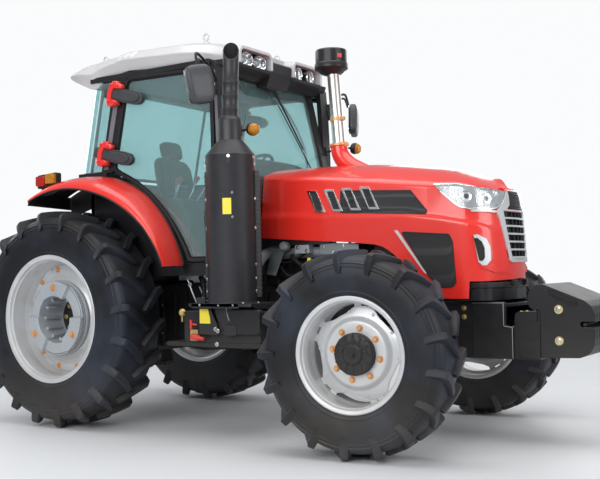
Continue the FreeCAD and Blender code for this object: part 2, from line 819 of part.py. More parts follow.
def hood_shell():
    rear = size.HoodRear.value
    nose = nose_front.value
    axle = size.Wheelbase.value
    floor = size.HoodFloor.value
    shell = hood_loft(0).cut(hood_loft(size.HoodWall.value))
    wheel_arch = [
        (axle - 180, 1392), (axle - 110, 1372), (axle - 10, 1290), (axle + 95, 1188),
        (axle + 210, 1080), (axle + 320, floor),
    ]
    under = prism(
        [(rear - 50, 900), (rear - 50, 1472)] + wheel_arch
        + [(nose - 230, floor), (nose - 225, 1120), (nose + 50, 1125), (nose + 50, 900)],
        -600, 600,
    )
    lamp_points = (
        (270, 1800), (350, 1700), (460, 1628), (550, 1604), (750, 1600), (750, 1712), (650, 1725), (525, 1769),
    )
    lamp = [(axle + x, z) for x, z in lamp_points]
    upper_points = ((-470, 1795), (105, 1765), (235, 1606), (-470, 1630))
    panel_upper = [(axle + x, z) for x, z in upper_points]
    lower_points = ((20, 1474), (398, 1445), (432, 1085), (310, 1076), (235, 1150))
    panel_lower = [(axle + x, z) for x, z in lower_points]
    grille_hole = trapezium(nose - 200, 225, 1640, 130, 1250, 300)
    lamp_hole = prism(lamp, -600, 600)
    middle = Part.makeBox(900, 2 * 262, 800, Vector(nose - 600, -262, 1300))
    lamp_hole = lamp_hole.cut(middle)
    ears = []
    pin_x = hood_hinge_x.value
    pin_z = size.HoodHingeZ.value
    for side in (-1, 1):
        back = pin_x - 14
        front = pin_x + 13
        ear_outline = [(back, pin_z - 14), (front, pin_z - 14), (front, 1150), (back, 1150)]
        ear = prism(ear_outline, *between(side, 100, 120))
        ears.append(ear.cut(Part.makeCylinder(8.3, 400, Vector(pin_x, -200, pin_z), Vector(0, 1, 0))))
    whole = shell
    windows = [prism(panel_upper, -600, 600), prism(panel_lower, -600, 600)]
    shell = shell.cut([under, grille_hole, lamp_hole] + windows)
    keep_shape(shell.multiFuse(ears), "hood_shell")
    keep_shape(whole.common(lamp_hole), "headlights")
    meshes = []
    half = size.HoodHalf.value
    for side in (-1, 1):
        near = side * (half - 12)
        for outline in (panel_upper, panel_lower):
            meshes.append(prism(outline, min(near, near - side * 6), max(near, near - side * 6)))
    keep_shape(Part.makeCompound(meshes), "hood_meshes")


def trapezium(x, top_half, top, low_half, low, depth):
    """Upright block with a trapezium face towards the front."""
    corners = [
        Vector(x, -top_half, top), Vector(x, top_half, top),
        Vector(x, low_half, low), Vector(x, -low_half, low),
    ]
    return flat_face(corners).extrude(Vector(depth, 0, 0))


def grille():
    """Grille that follows the nose, with open slots between its bars."""
    nose = nose_front.value
    gap = size.Gap.value
    outline = trapezium(nose - 200, 225 - gap, 1640 - gap, 130 - gap, 1250 + gap, 300)
    curved = hood_loft(3).cut(hood_loft(24))
    slots = []
    for number in range(6):
        low = 1272 + number * 58
        half = 112 + (low - 1254) * 0.24
        slots.append(trapezium(nose - 200, half + 10, low + 42, half, low, 300))
    keep_shape(curved.common(outline).cut(slots), "grille")


def intake_stack():
    """Red elbow on the hood, bright tube and black bowl of the pre-cleaner."""
    line = size.IntakeX.value
    top = Vector(line, 0, 2200)
    bend = Vector(line, 0, 2125)
    foot = Vector(line + 255, 0, 1985)
    elbow = stick(60, top, bend - Vector(0, 0, 25), 16).multiFuse([
        stick(60, bend + Vector(-20, 0, 11), foot, 16),
        Part.makeBox(250, 130, 30, Vector(line + 120, -65, 1972)),
    ])
    keep_shape(elbow.cut(hood_loft(0)), "intake_elbow")
    foot = Vector(line, 0, 2200)
    bowl = [(580, 52), (590, 150), (615, 154), (640, 140), (750, 128), (770, 100), (770, 0), (0, 0), (0, 52)]
    cleaner = ring_of_flats(bowl, 24)
    cleaner.Placement = FreeCAD.Placement(foot, FreeCAD.Rotation(Vector(1, 0, 0), 90))
    keep_shape(cleaner, "precleaner")


def nose_valance():
    """Panel under the nose that carries the hood's hinge pins."""
    top = size.SupportTop.value
    pin_x = hood_hinge_x.value
    pin_z = size.HoodHingeZ.value
    axle = size.Wheelbase.value
    panel = prism([(axle + 530, top), (axle + 710, top), (axle + 704, 1112), (axle + 530, 1112)], -380, 380)
    pieces = []
    for side in (-1, 1):
        for inner in (85, 125):
            ear = [
                (axle + 690, pin_z - 60), (pin_x, pin_z - 14), (pin_x + 10, pin_z), (pin_x, pin_z + 10),
                (axle + 690, pin_z),
            ]
            pieces.append(prism(ear, *between(side, inner, inner + 10)))
        pieces.append(Part.makeCylinder(8, 50, Vector(pin_x, side * 110 - 25, pin_z), Vector(0, 1, 0)))
    keep_shape(panel.multiFuse(pieces), "nose_valance")


hood_shell()
nose_valance()
grille()
intake_stack()


# Exhaust canister and side boxes

def canister():
    x = size.CanX.value
    y = -size.CanY.value
    up = Vector(0, 0, 1)
    base = Vector(x, y, size.CanBottom.value)
    height = size.CanTop.value - size.CanBottom.value
    drum = Part.makeCylinder(size.CanRadius.value, height, base, up)
    cone = Part.makeCone(size.CanRadius.value, 92, 105, base + up * height, up)
    neck = Part.makeCylinder(92, 150, base + up * (height + 100), up)
    pipe = Part.makeCylinder(62, 580, base + up * (height + 240), up)
    bore = Part.makeCylinder(56, 240, base + up * (height + 600), up)
    mouth = size.CanTop.value + 757
    slant = Part.makeBox(300, 300, 200, Vector(x - 150, y - 150, mouth))
    slant.rotate(Vector(x, y, mouth), Vector(0.6, -0.8, 0).cross(up), -45)
    keep_shape(drum.multiFuse([cone, neck, pipe]).cut([bore, slant]), "exhaust_canister")


def side_boxes():
    keep(fuse("battery_box", [
        box(1150, 1930, -1060, -700, 940, 990),
        box(1230, 1930, -700 - 60, -320, 640, 940),
        box(1230, 1930, -1000, -700, 700, 940),
        box(1650, 1800, -420, -1 * size.EngineHalf, 700, 800),
    ]), "battery_box")
    keep(fuse("fuel_tank", [
        box(900, 1930, 360, 980, 560, 990),
        box(1650, 1800, size.EngineHalf, 420, 700, 800),
        box(1330, 1830, 980, 1100, 420, 450),
        box(1330, 1360, 940, 1100, 420, 600),
        box(1800, 1830, 940, 1100, 420, 600),
    ]), "fuel_tank")


canister()
side_boxes()


# Cab

def door_outline():
    """Outline of a door in X and Z. Its lower rear edge follows the fender crown."""
    reach = fender_radius.value + size.DoorOverFender.value
    lip = size.RoofEdge.value
    points = [(535, lip - 50), (1140, lip - 65), (1410, lip - 320), (1450, 2200), (1450, 1300)]
    for angle in (23.3, 35, 47, 59, 70, 78):
        turn = math.radians(angle)
        points.append((size.FenderX.value + reach * math.cos(turn), fender_z.value + reach * math.sin(turn)))
    points.append((332, 2050))
    return points


def hinge_frames(side):
    """Placement of each hinge: its own Z runs along the slanted hinge line."""
    low = Vector(size.HingeLowX.value, side * size.HingeY.value, size.HingeLowZ.value)
    high = Vector(size.HingeHighX.value, side * size.HingeY.value, size.HingeHighZ.value)
    turn = FreeCAD.Rotation(Vector(0, 0, 1), high - low)
    return [FreeCAD.Placement(low, turn), FreeCAD.Placement(high, turn)]


def placed_box(place, low, high):
    block = Part.makeBox(high[0] - low[0], high[1] - low[1], high[2] - low[2])
    block.Placement = place.multiply(FreeCAD.Placement(Vector(*low), FreeCAD.Rotation()))
    return block


def placed_rod(place, radius, low, high):
    foot = place.multVec(Vector(0, 0, low))
    return Part.makeCylinder(radius, high - low, foot, place.Rotation.multVec(Vector(0, 0, 1)))


def door(name, side):
    outer = size.DoorPlane.value
    thick = size.DoorThick.value
    corners = [Vector(x, 0, z) for x, z in door_outline()]
    wire = Part.makePolygon(corners + [corners[0]])
    hole = wire.makeOffset2D(-42, 2)
    start = outer - thick if side > 0 else -outer
    frame = Part.Face(wire).extrude(Vector(0, thick, 0)).cut(Part.Face(hole).extrude(Vector(0, thick, 0)))
    frame.translate(Vector(0, start, 0))
    straps = []
    out = size.HingeY.value - outer
    for place in hinge_frames(side):
        straps.append(placed_rod(place, 16, -30, 30))
        straps.append(placed_box(place, (0, -8, -28), (125, 8, 28)))
        low_y, high_y = between(side, -out - 4, 0)
        straps.append(placed_box(place, (100, low_y, -28), (125, high_y, 28)))
    keep_shape(frame.multiFuse(straps), "door_frame_" + name)
    glass = Part.Face(hole).extrude(Vector(0, size.GlassThick.value, 0))
    glass.translate(Vector(0, start + (thick - size.GlassThick.value) / 2, 0))
    keep_shape(glass, "door_glass_" + name)


def cab_frame():
    """Lower walls, pillars, roof rails and the fixed halves of the door hinges, then the floor."""
    plane = size.DoorPlane.value
    behind_door = plane - size.DoorThick.value - 5
    gap = size.Gap.value
    low = size.CabFloor.value
    lip = size.RoofEdge.value
    pieces = []
    for side in (-1, 1):
        wall = [
            (10, low), (10, 2045), (400, 2000), (640, 1900), (860, 1710), (1010, 1500), (1095, 1300),
            (1095, low),
        ]
        pieces.append(prism(wall, *between(side, 650, 680)))
        ledge = [(10, 2005), (10, 2045), (320, 2045), (320, 2005)]
        pieces.append(prism(ledge, *between(side, 650, plane)))
        sill = [(1095, low), (1480, low), (1480, 1290), (1095, 1290)]
        pieces.append(prism(sill, *between(side, 640, behind_door)))
        b_pillar = [(200, 2040), (310, 2040), (515, lip - 30), (400, lip - 30)]
        pieces.append(prism(b_pillar, *between(side, plane - 60, plane)))
        door_post = [
            (1415, 1290), (1480, 1290), (1480, 2215), (1440, lip - 290), (1185, lip - 30), (1120, lip - 30),
            (1378, lip - 330), (1415, 2200),
        ]
        pieces.append(prism(door_post, *between(side, 690, behind_door)))
        a_pillar = [
            (1530, 1280), (1585, 1280), (1585, 1760), (1345, lip - 30), (1285, lip - 30), (1530, 1740),
        ]
        pieces.append(prism(a_pillar, *between(side, 630, 695)))
        d_pillar = [(10, 2040), (70, 2040), (230, lip - 30), (170, lip - 30)]
        pieces.append(prism(d_pillar, *between(side, 690, 750)))
        rail = [(160, lip - 45), (1400, lip - 45), (1400, lip - gap), (160, lip - gap)]
        pieces.append(prism(rail, *between(side, 660, plane)))
        for place in hinge_frames(side):
            out = size.HingeY.value - plane
            edge = between(side, -out - 5, 0)
            for start, end in ((30.5, 48), (-48, -30.5)):
                pieces.append(placed_rod(place, 16, start, end))
                pieces.append(placed_box(place, (-50, edge[0], start), (0, edge[1], end)))
    for x, deep in ((1270, 120), (160, 100)):
        pieces.append(Part.makeBox(deep, 1500, 60, Vector(x, -750, lip - 60 - gap)))
    pieces.append(Part.makeBox(40, 1360, 2010 - low, Vector(10, -680, low)))
    pieces.append(Part.makeBox(40, 1390, 1750 - low, Vector(1530, -695, low)))
    keep_shape(pieces[0].multiFuse(pieces[1:]).removeSplitter(), "cab_frame")
    low_x = shift + 50 + size.Gap
    high_x = shift + 1530 - size.Gap
    half = 640 - size.Gap
    keep(box(low_x, high_x, -1 * half, half, size.CabFloor, floor_top), "cab_floor", True)


def roof():
    """Moulded roof with a folded edge all round, and two visors over the lamps at its front."""
    half = size.RoofHalf.value
    edge = size.RoofEdge.value
    top = edge + size.RoofRise.value
    gap = size.Gap.value
    sections = [
        (-175, half - 120, edge + 22, edge + 62), (-60, half - 30, edge + 5, top - 75),
        (120, half, edge, top - 25), (700, half, edge, top), (1250, half, edge, top - 30),
        (1500, half - 20, edge, top - 85),
        (1610, half - 90, edge, top - 130),
    ]
    rings = []
    for x, wide, low, high in sections:
        band = low + 0.42 * (high - low)
        fold = low + 0.80 * (high - low)
        right = [(-wide, low), (-wide - 6, band), (-wide + 70, fold), (-wide + 230, high)]
        outline = right + [(-y, z) for y, z in reversed(right)]
        rings.append([Vector(x, y, z) for y, z in outline])
    bays = []
    lamps = []
    for side in (-1, 1):
        bay = [(1500, edge - 10), (1700, edge - 10), (1700, edge + 78), (1500, edge + 78)]
        bays.append(prism(bay, *between(side, 225, 565)))
        pod = [
            (1500 + gap, edge - 12), (1560, edge - 12), (1585, edge + 20), (1585, edge + 78 - gap),
            (1500 + gap, edge + 78 - gap),
        ]
        inner, outer = between(side, 225 + gap, 565 - gap)
        body = prism(pod, inner, outer)
        sockets = []
        for across in (310, 475):
            socket = Vector(1570, side * across, edge + 36)
            sockets.append(stick(30, socket, socket + Vector(40, 0, 0), 12))
        lamps.append(body.cut(sockets))
    panel = [(1500, edge - gap), (1500, edge - 120), (1535, edge - 120), (1590, edge - gap)]
    keep_shape(skin(rings).cut(bays), "roof")
    keep_shape(Part.makeCompound(lamps + [prism(panel, -190, 190)]), "roof_lamps")


def glazing():
    """Windscreen and quarter glass share a node. The rear window has its own."""
    glass = size.GlassThick.value
    lip = size.RoofEdge.value
    gap = size.Gap.value
    panes = [prism([(1572, 1752), (1580, 1752), (1342, lip - 61), (1334, lip - 61)], -629, 629)]
    for side in (-1, 1):
        outer = size.DoorPlane.value - 40
        head = lip - 45 - gap
        quarter = [(78, 2045 + gap), (195, 2045 + gap), (394, head), (236, head)]
        panes.append(prism(quarter, *between(side, outer - glass, outer)))
    keep_shape(Part.makeCompound(panes), "fixed_glass")
    foot = 2045 + gap
    head = lip - 60 - 2 * gap
    rear = [(18.3, foot), (18.3 + glass, foot), (180, head), (180 - glass, head)]
    keep_shape(prism(rear, -689, 689), "rear_window")


def fenders():
    """Rear fenders, each a folded panel turned about the fender's own centre line."""
    shells = []
    radius = fender_radius.value
    wall = size.FenderWall.value
    inner = size.FenderInner.value
    outer = size.FenderOuter.value
    for side in (-1, 1):
        outline = [(inner, radius), (outer - 40, radius), (outer, radius - 20), (outer, radius - 75),
                   (outer - wall, radius - 75), (outer - wall, radius - wall - 15), (inner, radius - wall)]
        centre = Vector(size.FenderX.value, 0, fender_z.value)
        start = math.radians(22)
        corners = [centre + Vector(r * math.cos(start), side * y, r * math.sin(start)) for y, r in outline]
        panel = flat_face(corners).revolve(centre, Vector(0, -1, 0), 92)
        stay = [(40, 1900), (300, 1900), (300, 1935), (40, 1935)]
        shells.append(panel.fuse(prism(stay, *between(side, 680.3, inner + 10))))
    keep_shape(Part.makeCompound(shells), "fenders")


def seat_and_controls():
    floor = floor_top.value + size.Gap.value
    cushion = Part.makeBox(480, 500, 130, Vector(380, -250, 1640))
    back = prism([(385, 1740), (490, 1740), (330, 2380), (230, 2360)], -240, 240)
    pedestal = Part.makeBox(360, 360, 1645 - floor, Vector(440, -180, floor))
    keep_shape(pedestal.multiFuse([cushion, back]), "seat")
    column = prism([(1300, floor), (1520, floor), (1500, 1780), (1400, 1900), (1300, 1840)], -140, 140)
    lean = Vector(-0.5, 0, 0.866)
    hub = Vector(1180, 0, 2070)
    turn = FreeCAD.Rotation(Vector(0, 1, 0), lean)
    stem = stick(28, hub - lean * 300, hub + lean * 10, 8)
    ring = ring_of_flats([(0, 184), (0, 210), (26, 210), (26, 184)], 24)
    ring.Placement = FreeCAD.Placement(hub, turn)
    disc = stick(50, hub, hub + lean * 26, 12)
    spokes = stick(14, hub + lean * 13 - Vector(0, 196, 0), hub + lean * 13 + Vector(0, 196, 0), 6)
    keep_shape(column.multiFuse([stem, disc, ring, spokes]), "steering_column")


def mirrors_and_lamps():
    mirrors = []
    lamps = []
    for side in (-1, 1):
        house = Part.makeBox(70, 210, 290, Vector(1530, side * 1150 - 105, 2455))
        house.rotate(Vector(1565, side * 1150, 2600), Vector(0, 0, 1), side * 26)
        lip = size.RoofEdge.value
        arm = stick(12, Vector(1385, side * 832.5, lip - 25), Vector(1560, side * 1120, 2730), 6)
        foot = Part.makeBox(60, 14, 34, Vector(1345, side * 827.3 - 7, lip - 40))
        post = stick(12, Vector(1560, side * 1120, 2740), Vector(1560, side * 1120, 2600), 6)
        mirrors.append(house.multiFuse([arm, post, foot]))
        lamp = Vector(1720, side * 770, 2270)
        stalk = stick(12, Vector(1482, side * 735, 2262), lamp + Vector(20, 0, 0), 6)
        foot = prism([(1478.6, 2230), (1470.6, 2295), (1486, 2295), (1494, 2230)], *between(side, 715, 755))
        lamps.append(stick(52, lamp, lamp + Vector(60, 0, 0), 16).multiFuse([stalk, foot]))
    keep_shape(Part.makeCompound(mirrors), "mirrors")
    keep_shape(Part.makeCompound(lamps), "turn_lamps")


for name, side in SIDES:
    door(name, side)
cab_frame()
roof()
glazing()
fenders()
seat_and_controls()
mirrors_and_lamps()


# Write

def check_and_write():
    doc.recompute()
    for item in doc.Objects:
        if "Invalid" in item.State or "Error" in item.State:
            raise RuntimeError("%s failed: %s" % (item.Name, item.State))
    os.makedirs("parts", exist_ok=True)
    for label, item in NODES:
        shape = item.Shape
        if shape.isNull() or not shape.isValid():
            raise RuntimeError("%s has no valid shape" % label)
    for label, item in NODES:
        item.Shape.exportStep(os.path.join("parts", label + ".step"))


check_and_write()
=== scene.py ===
import bpy, bmesh, math
from mathutils import Matrix, Vector
import numpy as np


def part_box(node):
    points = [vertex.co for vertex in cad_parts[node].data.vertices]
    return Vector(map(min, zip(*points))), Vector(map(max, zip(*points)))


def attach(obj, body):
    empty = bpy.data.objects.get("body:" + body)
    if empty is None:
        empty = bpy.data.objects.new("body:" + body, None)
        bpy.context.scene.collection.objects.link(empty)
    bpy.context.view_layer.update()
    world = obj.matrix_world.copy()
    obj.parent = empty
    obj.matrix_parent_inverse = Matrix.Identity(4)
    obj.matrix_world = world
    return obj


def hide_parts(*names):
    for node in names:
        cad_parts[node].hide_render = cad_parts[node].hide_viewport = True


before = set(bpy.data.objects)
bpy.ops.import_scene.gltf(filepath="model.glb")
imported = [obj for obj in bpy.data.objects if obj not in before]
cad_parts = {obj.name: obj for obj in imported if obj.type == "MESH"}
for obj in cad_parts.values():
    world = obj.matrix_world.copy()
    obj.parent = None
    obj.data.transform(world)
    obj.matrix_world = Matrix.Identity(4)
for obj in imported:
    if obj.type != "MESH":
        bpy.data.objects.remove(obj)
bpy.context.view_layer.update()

print("frame loaded")

# Places are given from the rear axle (x), the middle (y) and the ground (z), in metres
rearTyreBox = np.array(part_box("rear_tyre_right"))
rearX = rearTyreBox[:, 0].mean()
rearZ = rearTyreBox[:, 2].mean()
rearY = -rearTyreBox[:, 1].mean()
wheelBase = 2.770
frontZ = 0.673
frontY = 1.070
kingpinY = 0.805
steerRest = math.radians(6)


# Surfaces: each helper gives (points, faces), and pile() joins them

def gridFaces(rows, columns, closeRows=False, closeColumns=False):
    # quads of a grid whose point (i, j) has the number i * columns + j
    i = np.arange(rows if closeRows else rows - 1)
    j = np.arange(columns if closeColumns else columns - 1)
    i, j = np.meshgrid(i, j, indexing="ij")
    nextI = (i + 1) % rows
    nextJ = (j + 1) % columns
    quads = np.stack([i * columns + j, i * columns + nextJ, nextI * columns + nextJ, nextI * columns + j], -1)
    return quads.reshape(-1, 4).tolist()


def pile(*parts):
    points = []
    faces = []
    start = 0
    for part in parts:
        points.append(np.asarray(part[0], float).reshape(-1, 3))
        faces += [[start + n for n in face] for face in part[1]]
        start += len(points[-1])
    return np.concatenate(points), faces


def moved(part, offset=(0, 0, 0), matrix=None, scale=None):
    points = np.asarray(part[0], float).reshape(-1, 3)
    if scale is not None:
        points = points * np.asarray(scale, float)
    if matrix is not None:
        points = points @ np.asarray(matrix, float).T
    return points + np.asarray(offset, float), part[1]


def turnAbout(axis, degrees):
    # rotation matrix from an axis and an angle: I + sin(a) K + (1 - cos(a)) K K
    x, y, z = np.asarray(axis, float) / np.linalg.norm(axis)
    k = np.array([[0, -z, y], [z, 0, -x], [-y, x, 0]])
    a = math.radians(degrees)
    return np.eye(3) + math.sin(a) * k + (1 - math.cos(a)) * k @ k


def axesFrom(direction):
    # matrix whose third column is the direction and whose first two are across it
    w = np.asarray(direction, float) / np.linalg.norm(direction)
    helper = np.array([0, 0, 1.0]) if abs(w[2]) < 0.9 else np.array([1.0, 0, 0])
    u = np.cross(helper, w)
    u /= np.linalg.norm(u)
    return np.stack([u, np.cross(w, u), w], 1)


def lathe(profile, centre=(0, 0, 0), axis=(0, 0, 1), sides=64, closed=True):
    # profile rows (along, radius) turned about the axis: centre + along w + radius (cos t u + sin t v)
    profile = np.asarray(profile, float)
    t = np.linspace(0, 2 * np.pi, sides, endpoint=False)
    basis = axesFrom(axis)
    ring = np.outer(np.cos(t), basis[:, 0]) + np.outer(np.sin(t), basis[:, 1])
    points = profile[:, None, 0, None] * basis[:, 2] + profile[:, None, 1, None] * ring[None]
    return points + np.asarray(centre, float), gridFaces(len(profile), sides, closed, True)


def smoothPath(points, steps=8, closed=False):
    # Catmull-Rom curve through the points, worked out a whole span at a time
    p = np.asarray(points, float)
    if closed:
        q = np.concatenate([p[-1:], p, p[:2]])
    else:
        q = np.concatenate([2 * p[:1] - p[1:2], p, 2 * p[-1:] - p[-2:-1]])
    spans = len(q) - 3
    t = np.linspace(0, 1, steps, endpoint=False)[None, :, None]
    a, b, c, d = (q[k:k + spans][:, None] for k in range(4))
    out = 0.5 * (2 * b + (c - a) * t + (2 * a - 5 * b + 4 * c - d) * t ** 2 + (3 * b - a - 3 * c + d) * t ** 3)
    out = out.reshape(-1, p.shape[1])
    return out if closed else np.concatenate([out, p[-1:]])


def tube(path, radius, sides=14, up=(0, 0, 1)):
    # circle carried along the path: point + radius (cos t u + sin t v), u across the path and up
    path = np.asarray(path, float)
    tangent = np.gradient(path, axis=0)
    tangent /= np.linalg.norm(tangent, axis=1)[:, None]
    u = np.cross(tangent, np.asarray(up, float))
    size = np.linalg.norm(u, axis=1)
    u[size < 0.05] = np.cross(tangent[size < 0.05], (0.3, 1, 0.1))
    u /= np.linalg.norm(u, axis=1)[:, None]
    v = np.cross(tangent, u)
    t = np.linspace(0, 2 * np.pi, sides, endpoint=False)
    radius = np.broadcast_to(np.asarray(radius, float), (len(path),))[:, None, None]
    ring = np.cos(t)[None, :, None] * u[:, None] + np.sin(t)[None, :, None] * v[:, None]
    points = path[:, None] + radius * ring
    last = len(path) * sides
    caps = [list(range(sides))[::-1], list(range(last - sides, last))]
    return points.reshape(-1, 3), gridFaces(len(path), sides, False, True) + caps


def roundCorners(outline, radius, steps=4):
    # each corner of a closed outline becomes an arc that is tangent to both sides
    p = np.asarray(outline, float)
    before = np.roll(p, 1, 0) - p
    after = np.roll(p, -1, 0) - p
    lenBefore = np.linalg.norm(before, axis=1)
    lenAfter = np.linalg.norm(after, axis=1)
    before /= lenBefore[:, None]
    after /= lenAfter[:, None]
    half = 0.5 * np.arccos(np.clip((before * after).sum(1), -0.9999, 0.9999))
    radius = np.broadcast_to(np.asarray(radius, float), half.shape)
    cutBack = np.minimum(radius / np.tan(half), 0.48 * np.minimum(lenBefore, lenAfter))
    t = np.linspace(0, 1, steps + 1)[None, :, None]
    start = (p + before * cutBack[:, None])[:, None]
    end = (p + after * cutBack[:, None])[:, None]
    arc = (1 - t) ** 2 * start + 2 * t * (1 - t) * p[:, None] + t ** 2 * end
    return arc.reshape(-1, 2)


def planePoints(outline, plane, level):
    # outline points (u, v) lifted into space: "xz" at a y, "yz" at an x, "xy" at a z
    outline = np.asarray(outline, float)
    level = np.broadcast_to(np.asarray(level, float), (len(outline),))
    u, v = outline[:, 0], outline[:, 1]
    return np.stack({"xz": (u, level, v), "yz": (level, u, v), "xy": (u, v, level)}[plane], 1)


def slab(outline, plane, low, high):
    # prism of an outline between two levels
    count = len(outline)
    points = np.concatenate([planePoints(outline, plane, low), planePoints(outline, plane, high)])
    sides = [[n, (n + 1) % count, count + (n + 1) % count, count + n] for n in range(count)]
    return points, sides + [list(range(count))[::-1], list(range(count, 2 * count))]


def hoop(outer, inner, plane, low, high):
    # ring between two outlines with the same number of points
    loops = [planePoints(outer, plane, low), planePoints(outer, plane, high)]
    loops += [planePoints(inner, plane, high), planePoints(inner, plane, low)]
    return np.concatenate(loops), gridFaces(4, len(outer), True, True)


def block(low, high):
    outline = [(low[0], low[1]), (high[0], low[1]), (high[0], high[1]), (low[0], high[1])]
    return slab(outline, "xy", low[2], high[2])


def shell(grid, thick):
    # closed sheet: the grid of points and the same grid sunk along its normals, joined at the edges
    grid = np.asarray(grid, float)
    normal = np.cross(np.gradient(grid, axis=0), np.gradient(grid, axis=1))
    normal /= np.maximum(np.linalg.norm(normal, axis=2), 1e-9)[:, :, None]
    inner = grid - normal * thick
    rows, columns = grid.shape[:2]
    loop = np.concatenate([grid, inner[:, ::-1]], 1)
    faces = gridFaces(rows, 2 * columns, False, True)
    for row in (0, rows - 1):
        base = row * 2 * columns
        faces += [[base + j, base + j + 1, base + 2 * columns - 2 - j, base + 2 * columns - 1 - j]
                  for j in range(columns - 1)]
    return loop.reshape(-1, 3), faces


def pillow(centre, half, power=(4, 4), matrix=None, rows=20, columns=28):
    # superellipsoid: half * (c(v)^e c(u)^n, c(v)^e s(u)^n, s(v)^e), with rounder or squarer powers
    v = np.linspace(-np.pi / 2, np.pi / 2, rows)
    u = np.linspace(0, 2 * np.pi, columns, endpoint=False)
    v, u = np.meshgrid(v, u, indexing="ij")
    bend = lambda value, n: np.sign(value) * np.abs(value) ** (2 / n)
    points = np.stack([bend(np.cos(v), power[1]) * bend(np.cos(u), power[0]),
                       bend(np.cos(v), power[1]) * bend(np.sin(u), power[0]), bend(np.sin(v), power[1])], -1)
    part = (points * np.asarray(half, float)).reshape(-1, 3), gridFaces(rows, columns, False, True)
    return moved(part, centre, matrix)


def hexBolt(size):
    # bolt head on a washer, standing on z = 0, for an across-corners radius of size
    profile = [(0, 0), (0, 1.45), (0.22, 1.45), (0.30, 1.36), (0.30, 1.0), (0.85, 1.0), (1.0, 0.86), (1.0, 0)]
    points, faces = lathe(np.array(profile) * size, sides=12)
    flat = points.reshape(len(profile), 12, 3)
    angle = np.linspace(0, 2 * np.pi, 12, endpoint=False)
    squeeze = np.where(np.arange(12) % 2 == 0, 1.0, math.cos(math.pi / 6))
    flat[4:, :, :2] *= squeeze[None, :, None]
    return points.reshape(-1, 3), faces


def boltsAt(centres, direction, size):
    # one bolt repeated at every centre: basis @ bolt + centre for the whole array at once
    points, faces = hexBolt(size)
    basis = axesFrom(direction)
    centres = np.asarray(centres, float).reshape(-1, 3)
    placed = (points @ basis.T)[None] + centres[:, None]
    count = len(points)
    return placed.reshape(-1, 3), [[n * count + k for k in face] for n in range(len(centres)) for face in faces]


def circlePoints(centre, radius, count, direction, phase=0.0):
    t = np.radians(phase) + np.linspace(0, 2 * np.pi, count, endpoint=False)
    basis = axesFrom(direction)
    ring = np.outer(np.cos(t), basis[:, 0]) + np.outer(np.sin(t), basis[:, 1])
    return np.asarray(centre, float) + radius * ring


def makePiece(name, part, body, material, replaced=(), bevel=0.0, sharp=35, local=False, subdivide=0):
    points, faces = part
    points = np.array(points, float).reshape(-1, 3)
    if not local:
        points[:, 0] += rearX
    mesh = bpy.data.meshes.new(name)
    mesh.from_pydata(points.tolist(), [], faces)
    work = bmesh.new()
    work.from_mesh(mesh)
    bmesh.ops.remove_doubles(work, verts=work.verts, dist=1e-6)
    bmesh.ops.dissolve_degenerate(work, edges=work.edges, dist=1e-7)
    bmesh.ops.recalc_face_normals(work, faces=work.faces)
    work.to_mesh(mesh)
    work.free()
    mesh.shade_smooth()
    piece = bpy.data.objects.new(name, mesh)
    bpy.context.scene.collection.objects.link(piece)
    mesh.materials.append(material)
    if bevel:
        edgeRound = piece.modifiers.new("edgeRound", "BEVEL")
        edgeRound.width = bevel
        edgeRound.segments = 2
        edgeRound.limit_method = "ANGLE"
        edgeRound.angle_limit = math.radians(30)
        edgeRound.harden_normals = True
    else:
        mesh.set_sharp_from_angle(angle=math.radians(sharp))
    if subdivide:
        smoother = piece.modifiers.new("smoother", "SUBSURF")
        smoother.levels = subdivide
        smoother.render_levels = subdivide
    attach(piece, body)
    if replaced:
        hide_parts(*replaced)
    return piece


def steered(part, side):
    # turns a part about its kingpin to the angle at which the front wheels stand
    pivot = np.array([wheelBase, side * kingpinY, 0])
    points = np.asarray(part[0], float).reshape(-1, 3) - pivot
    return points @ turnAbout((0, 0, 1), math.degrees(steerRest)).T + pivot, part[1]


# Materials

def newGroup(name, inputs, outputs):
    group = bpy.data.node_groups.new(name, "ShaderNodeTree")
    for label, kind, value in inputs:
        socket = group.interface.new_socket(label, in_out="INPUT", socket_type=kind)
        if value is not None:
            socket.default_value = value
    for label, kind in outputs:
        group.interface.new_socket(label, in_out="OUTPUT", socket_type=kind)
    start = group.nodes.new("NodeGroupInput")
    end = group.nodes.new("NodeGroupOutput")
    return group, start, end


def mathNode(tree, operation, first, second=None):
    node = tree.nodes.new("ShaderNodeMath")
    node.operation = operation
    for number, value in enumerate((first, second)):
        if value is None:
            continue
        if isinstance(value, (int, float)):
            node.inputs[number].default_value = value
        else:
            tree.links.new(value, node.inputs[number])
    return node.outputs[0]


def buildGrainGroup():
    # fine and coarse noise together: a height for bumps and a mask for tone
    group, start, end = newGroup(
        "grainGroup",
        [("Vector", "NodeSocketVector", None), ("Scale", "NodeSocketFloat", 200.0), ("Detail", "NodeSocketFloat", 3.0)],
        [("Height", "NodeSocketFloat"), ("Mask", "NodeSocketFloat")])
    fine = group.nodes.new("ShaderNodeTexNoise")
    coarse = group.nodes.new("ShaderNodeTexNoise")
    group.links.new(start.outputs["Vector"], fine.inputs["Vector"])
    group.links.new(start.outputs["Vector"], coarse.inputs["Vector"])
    group.links.new(start.outputs["Scale"], fine.inputs["Scale"])
    group.links.new(start.outputs["Detail"], fine.inputs["Detail"])
    group.links.new(mathNode(group, "MULTIPLY", start.outputs["Scale"], 0.04), coarse.inputs["Scale"])
    coarse.inputs["Detail"].default_value = 4.0
    group.links.new(fine.outputs["Fac"], end.inputs["Height"])
    group.links.new(coarse.outputs["Fac"], end.inputs["Mask"])
    return group


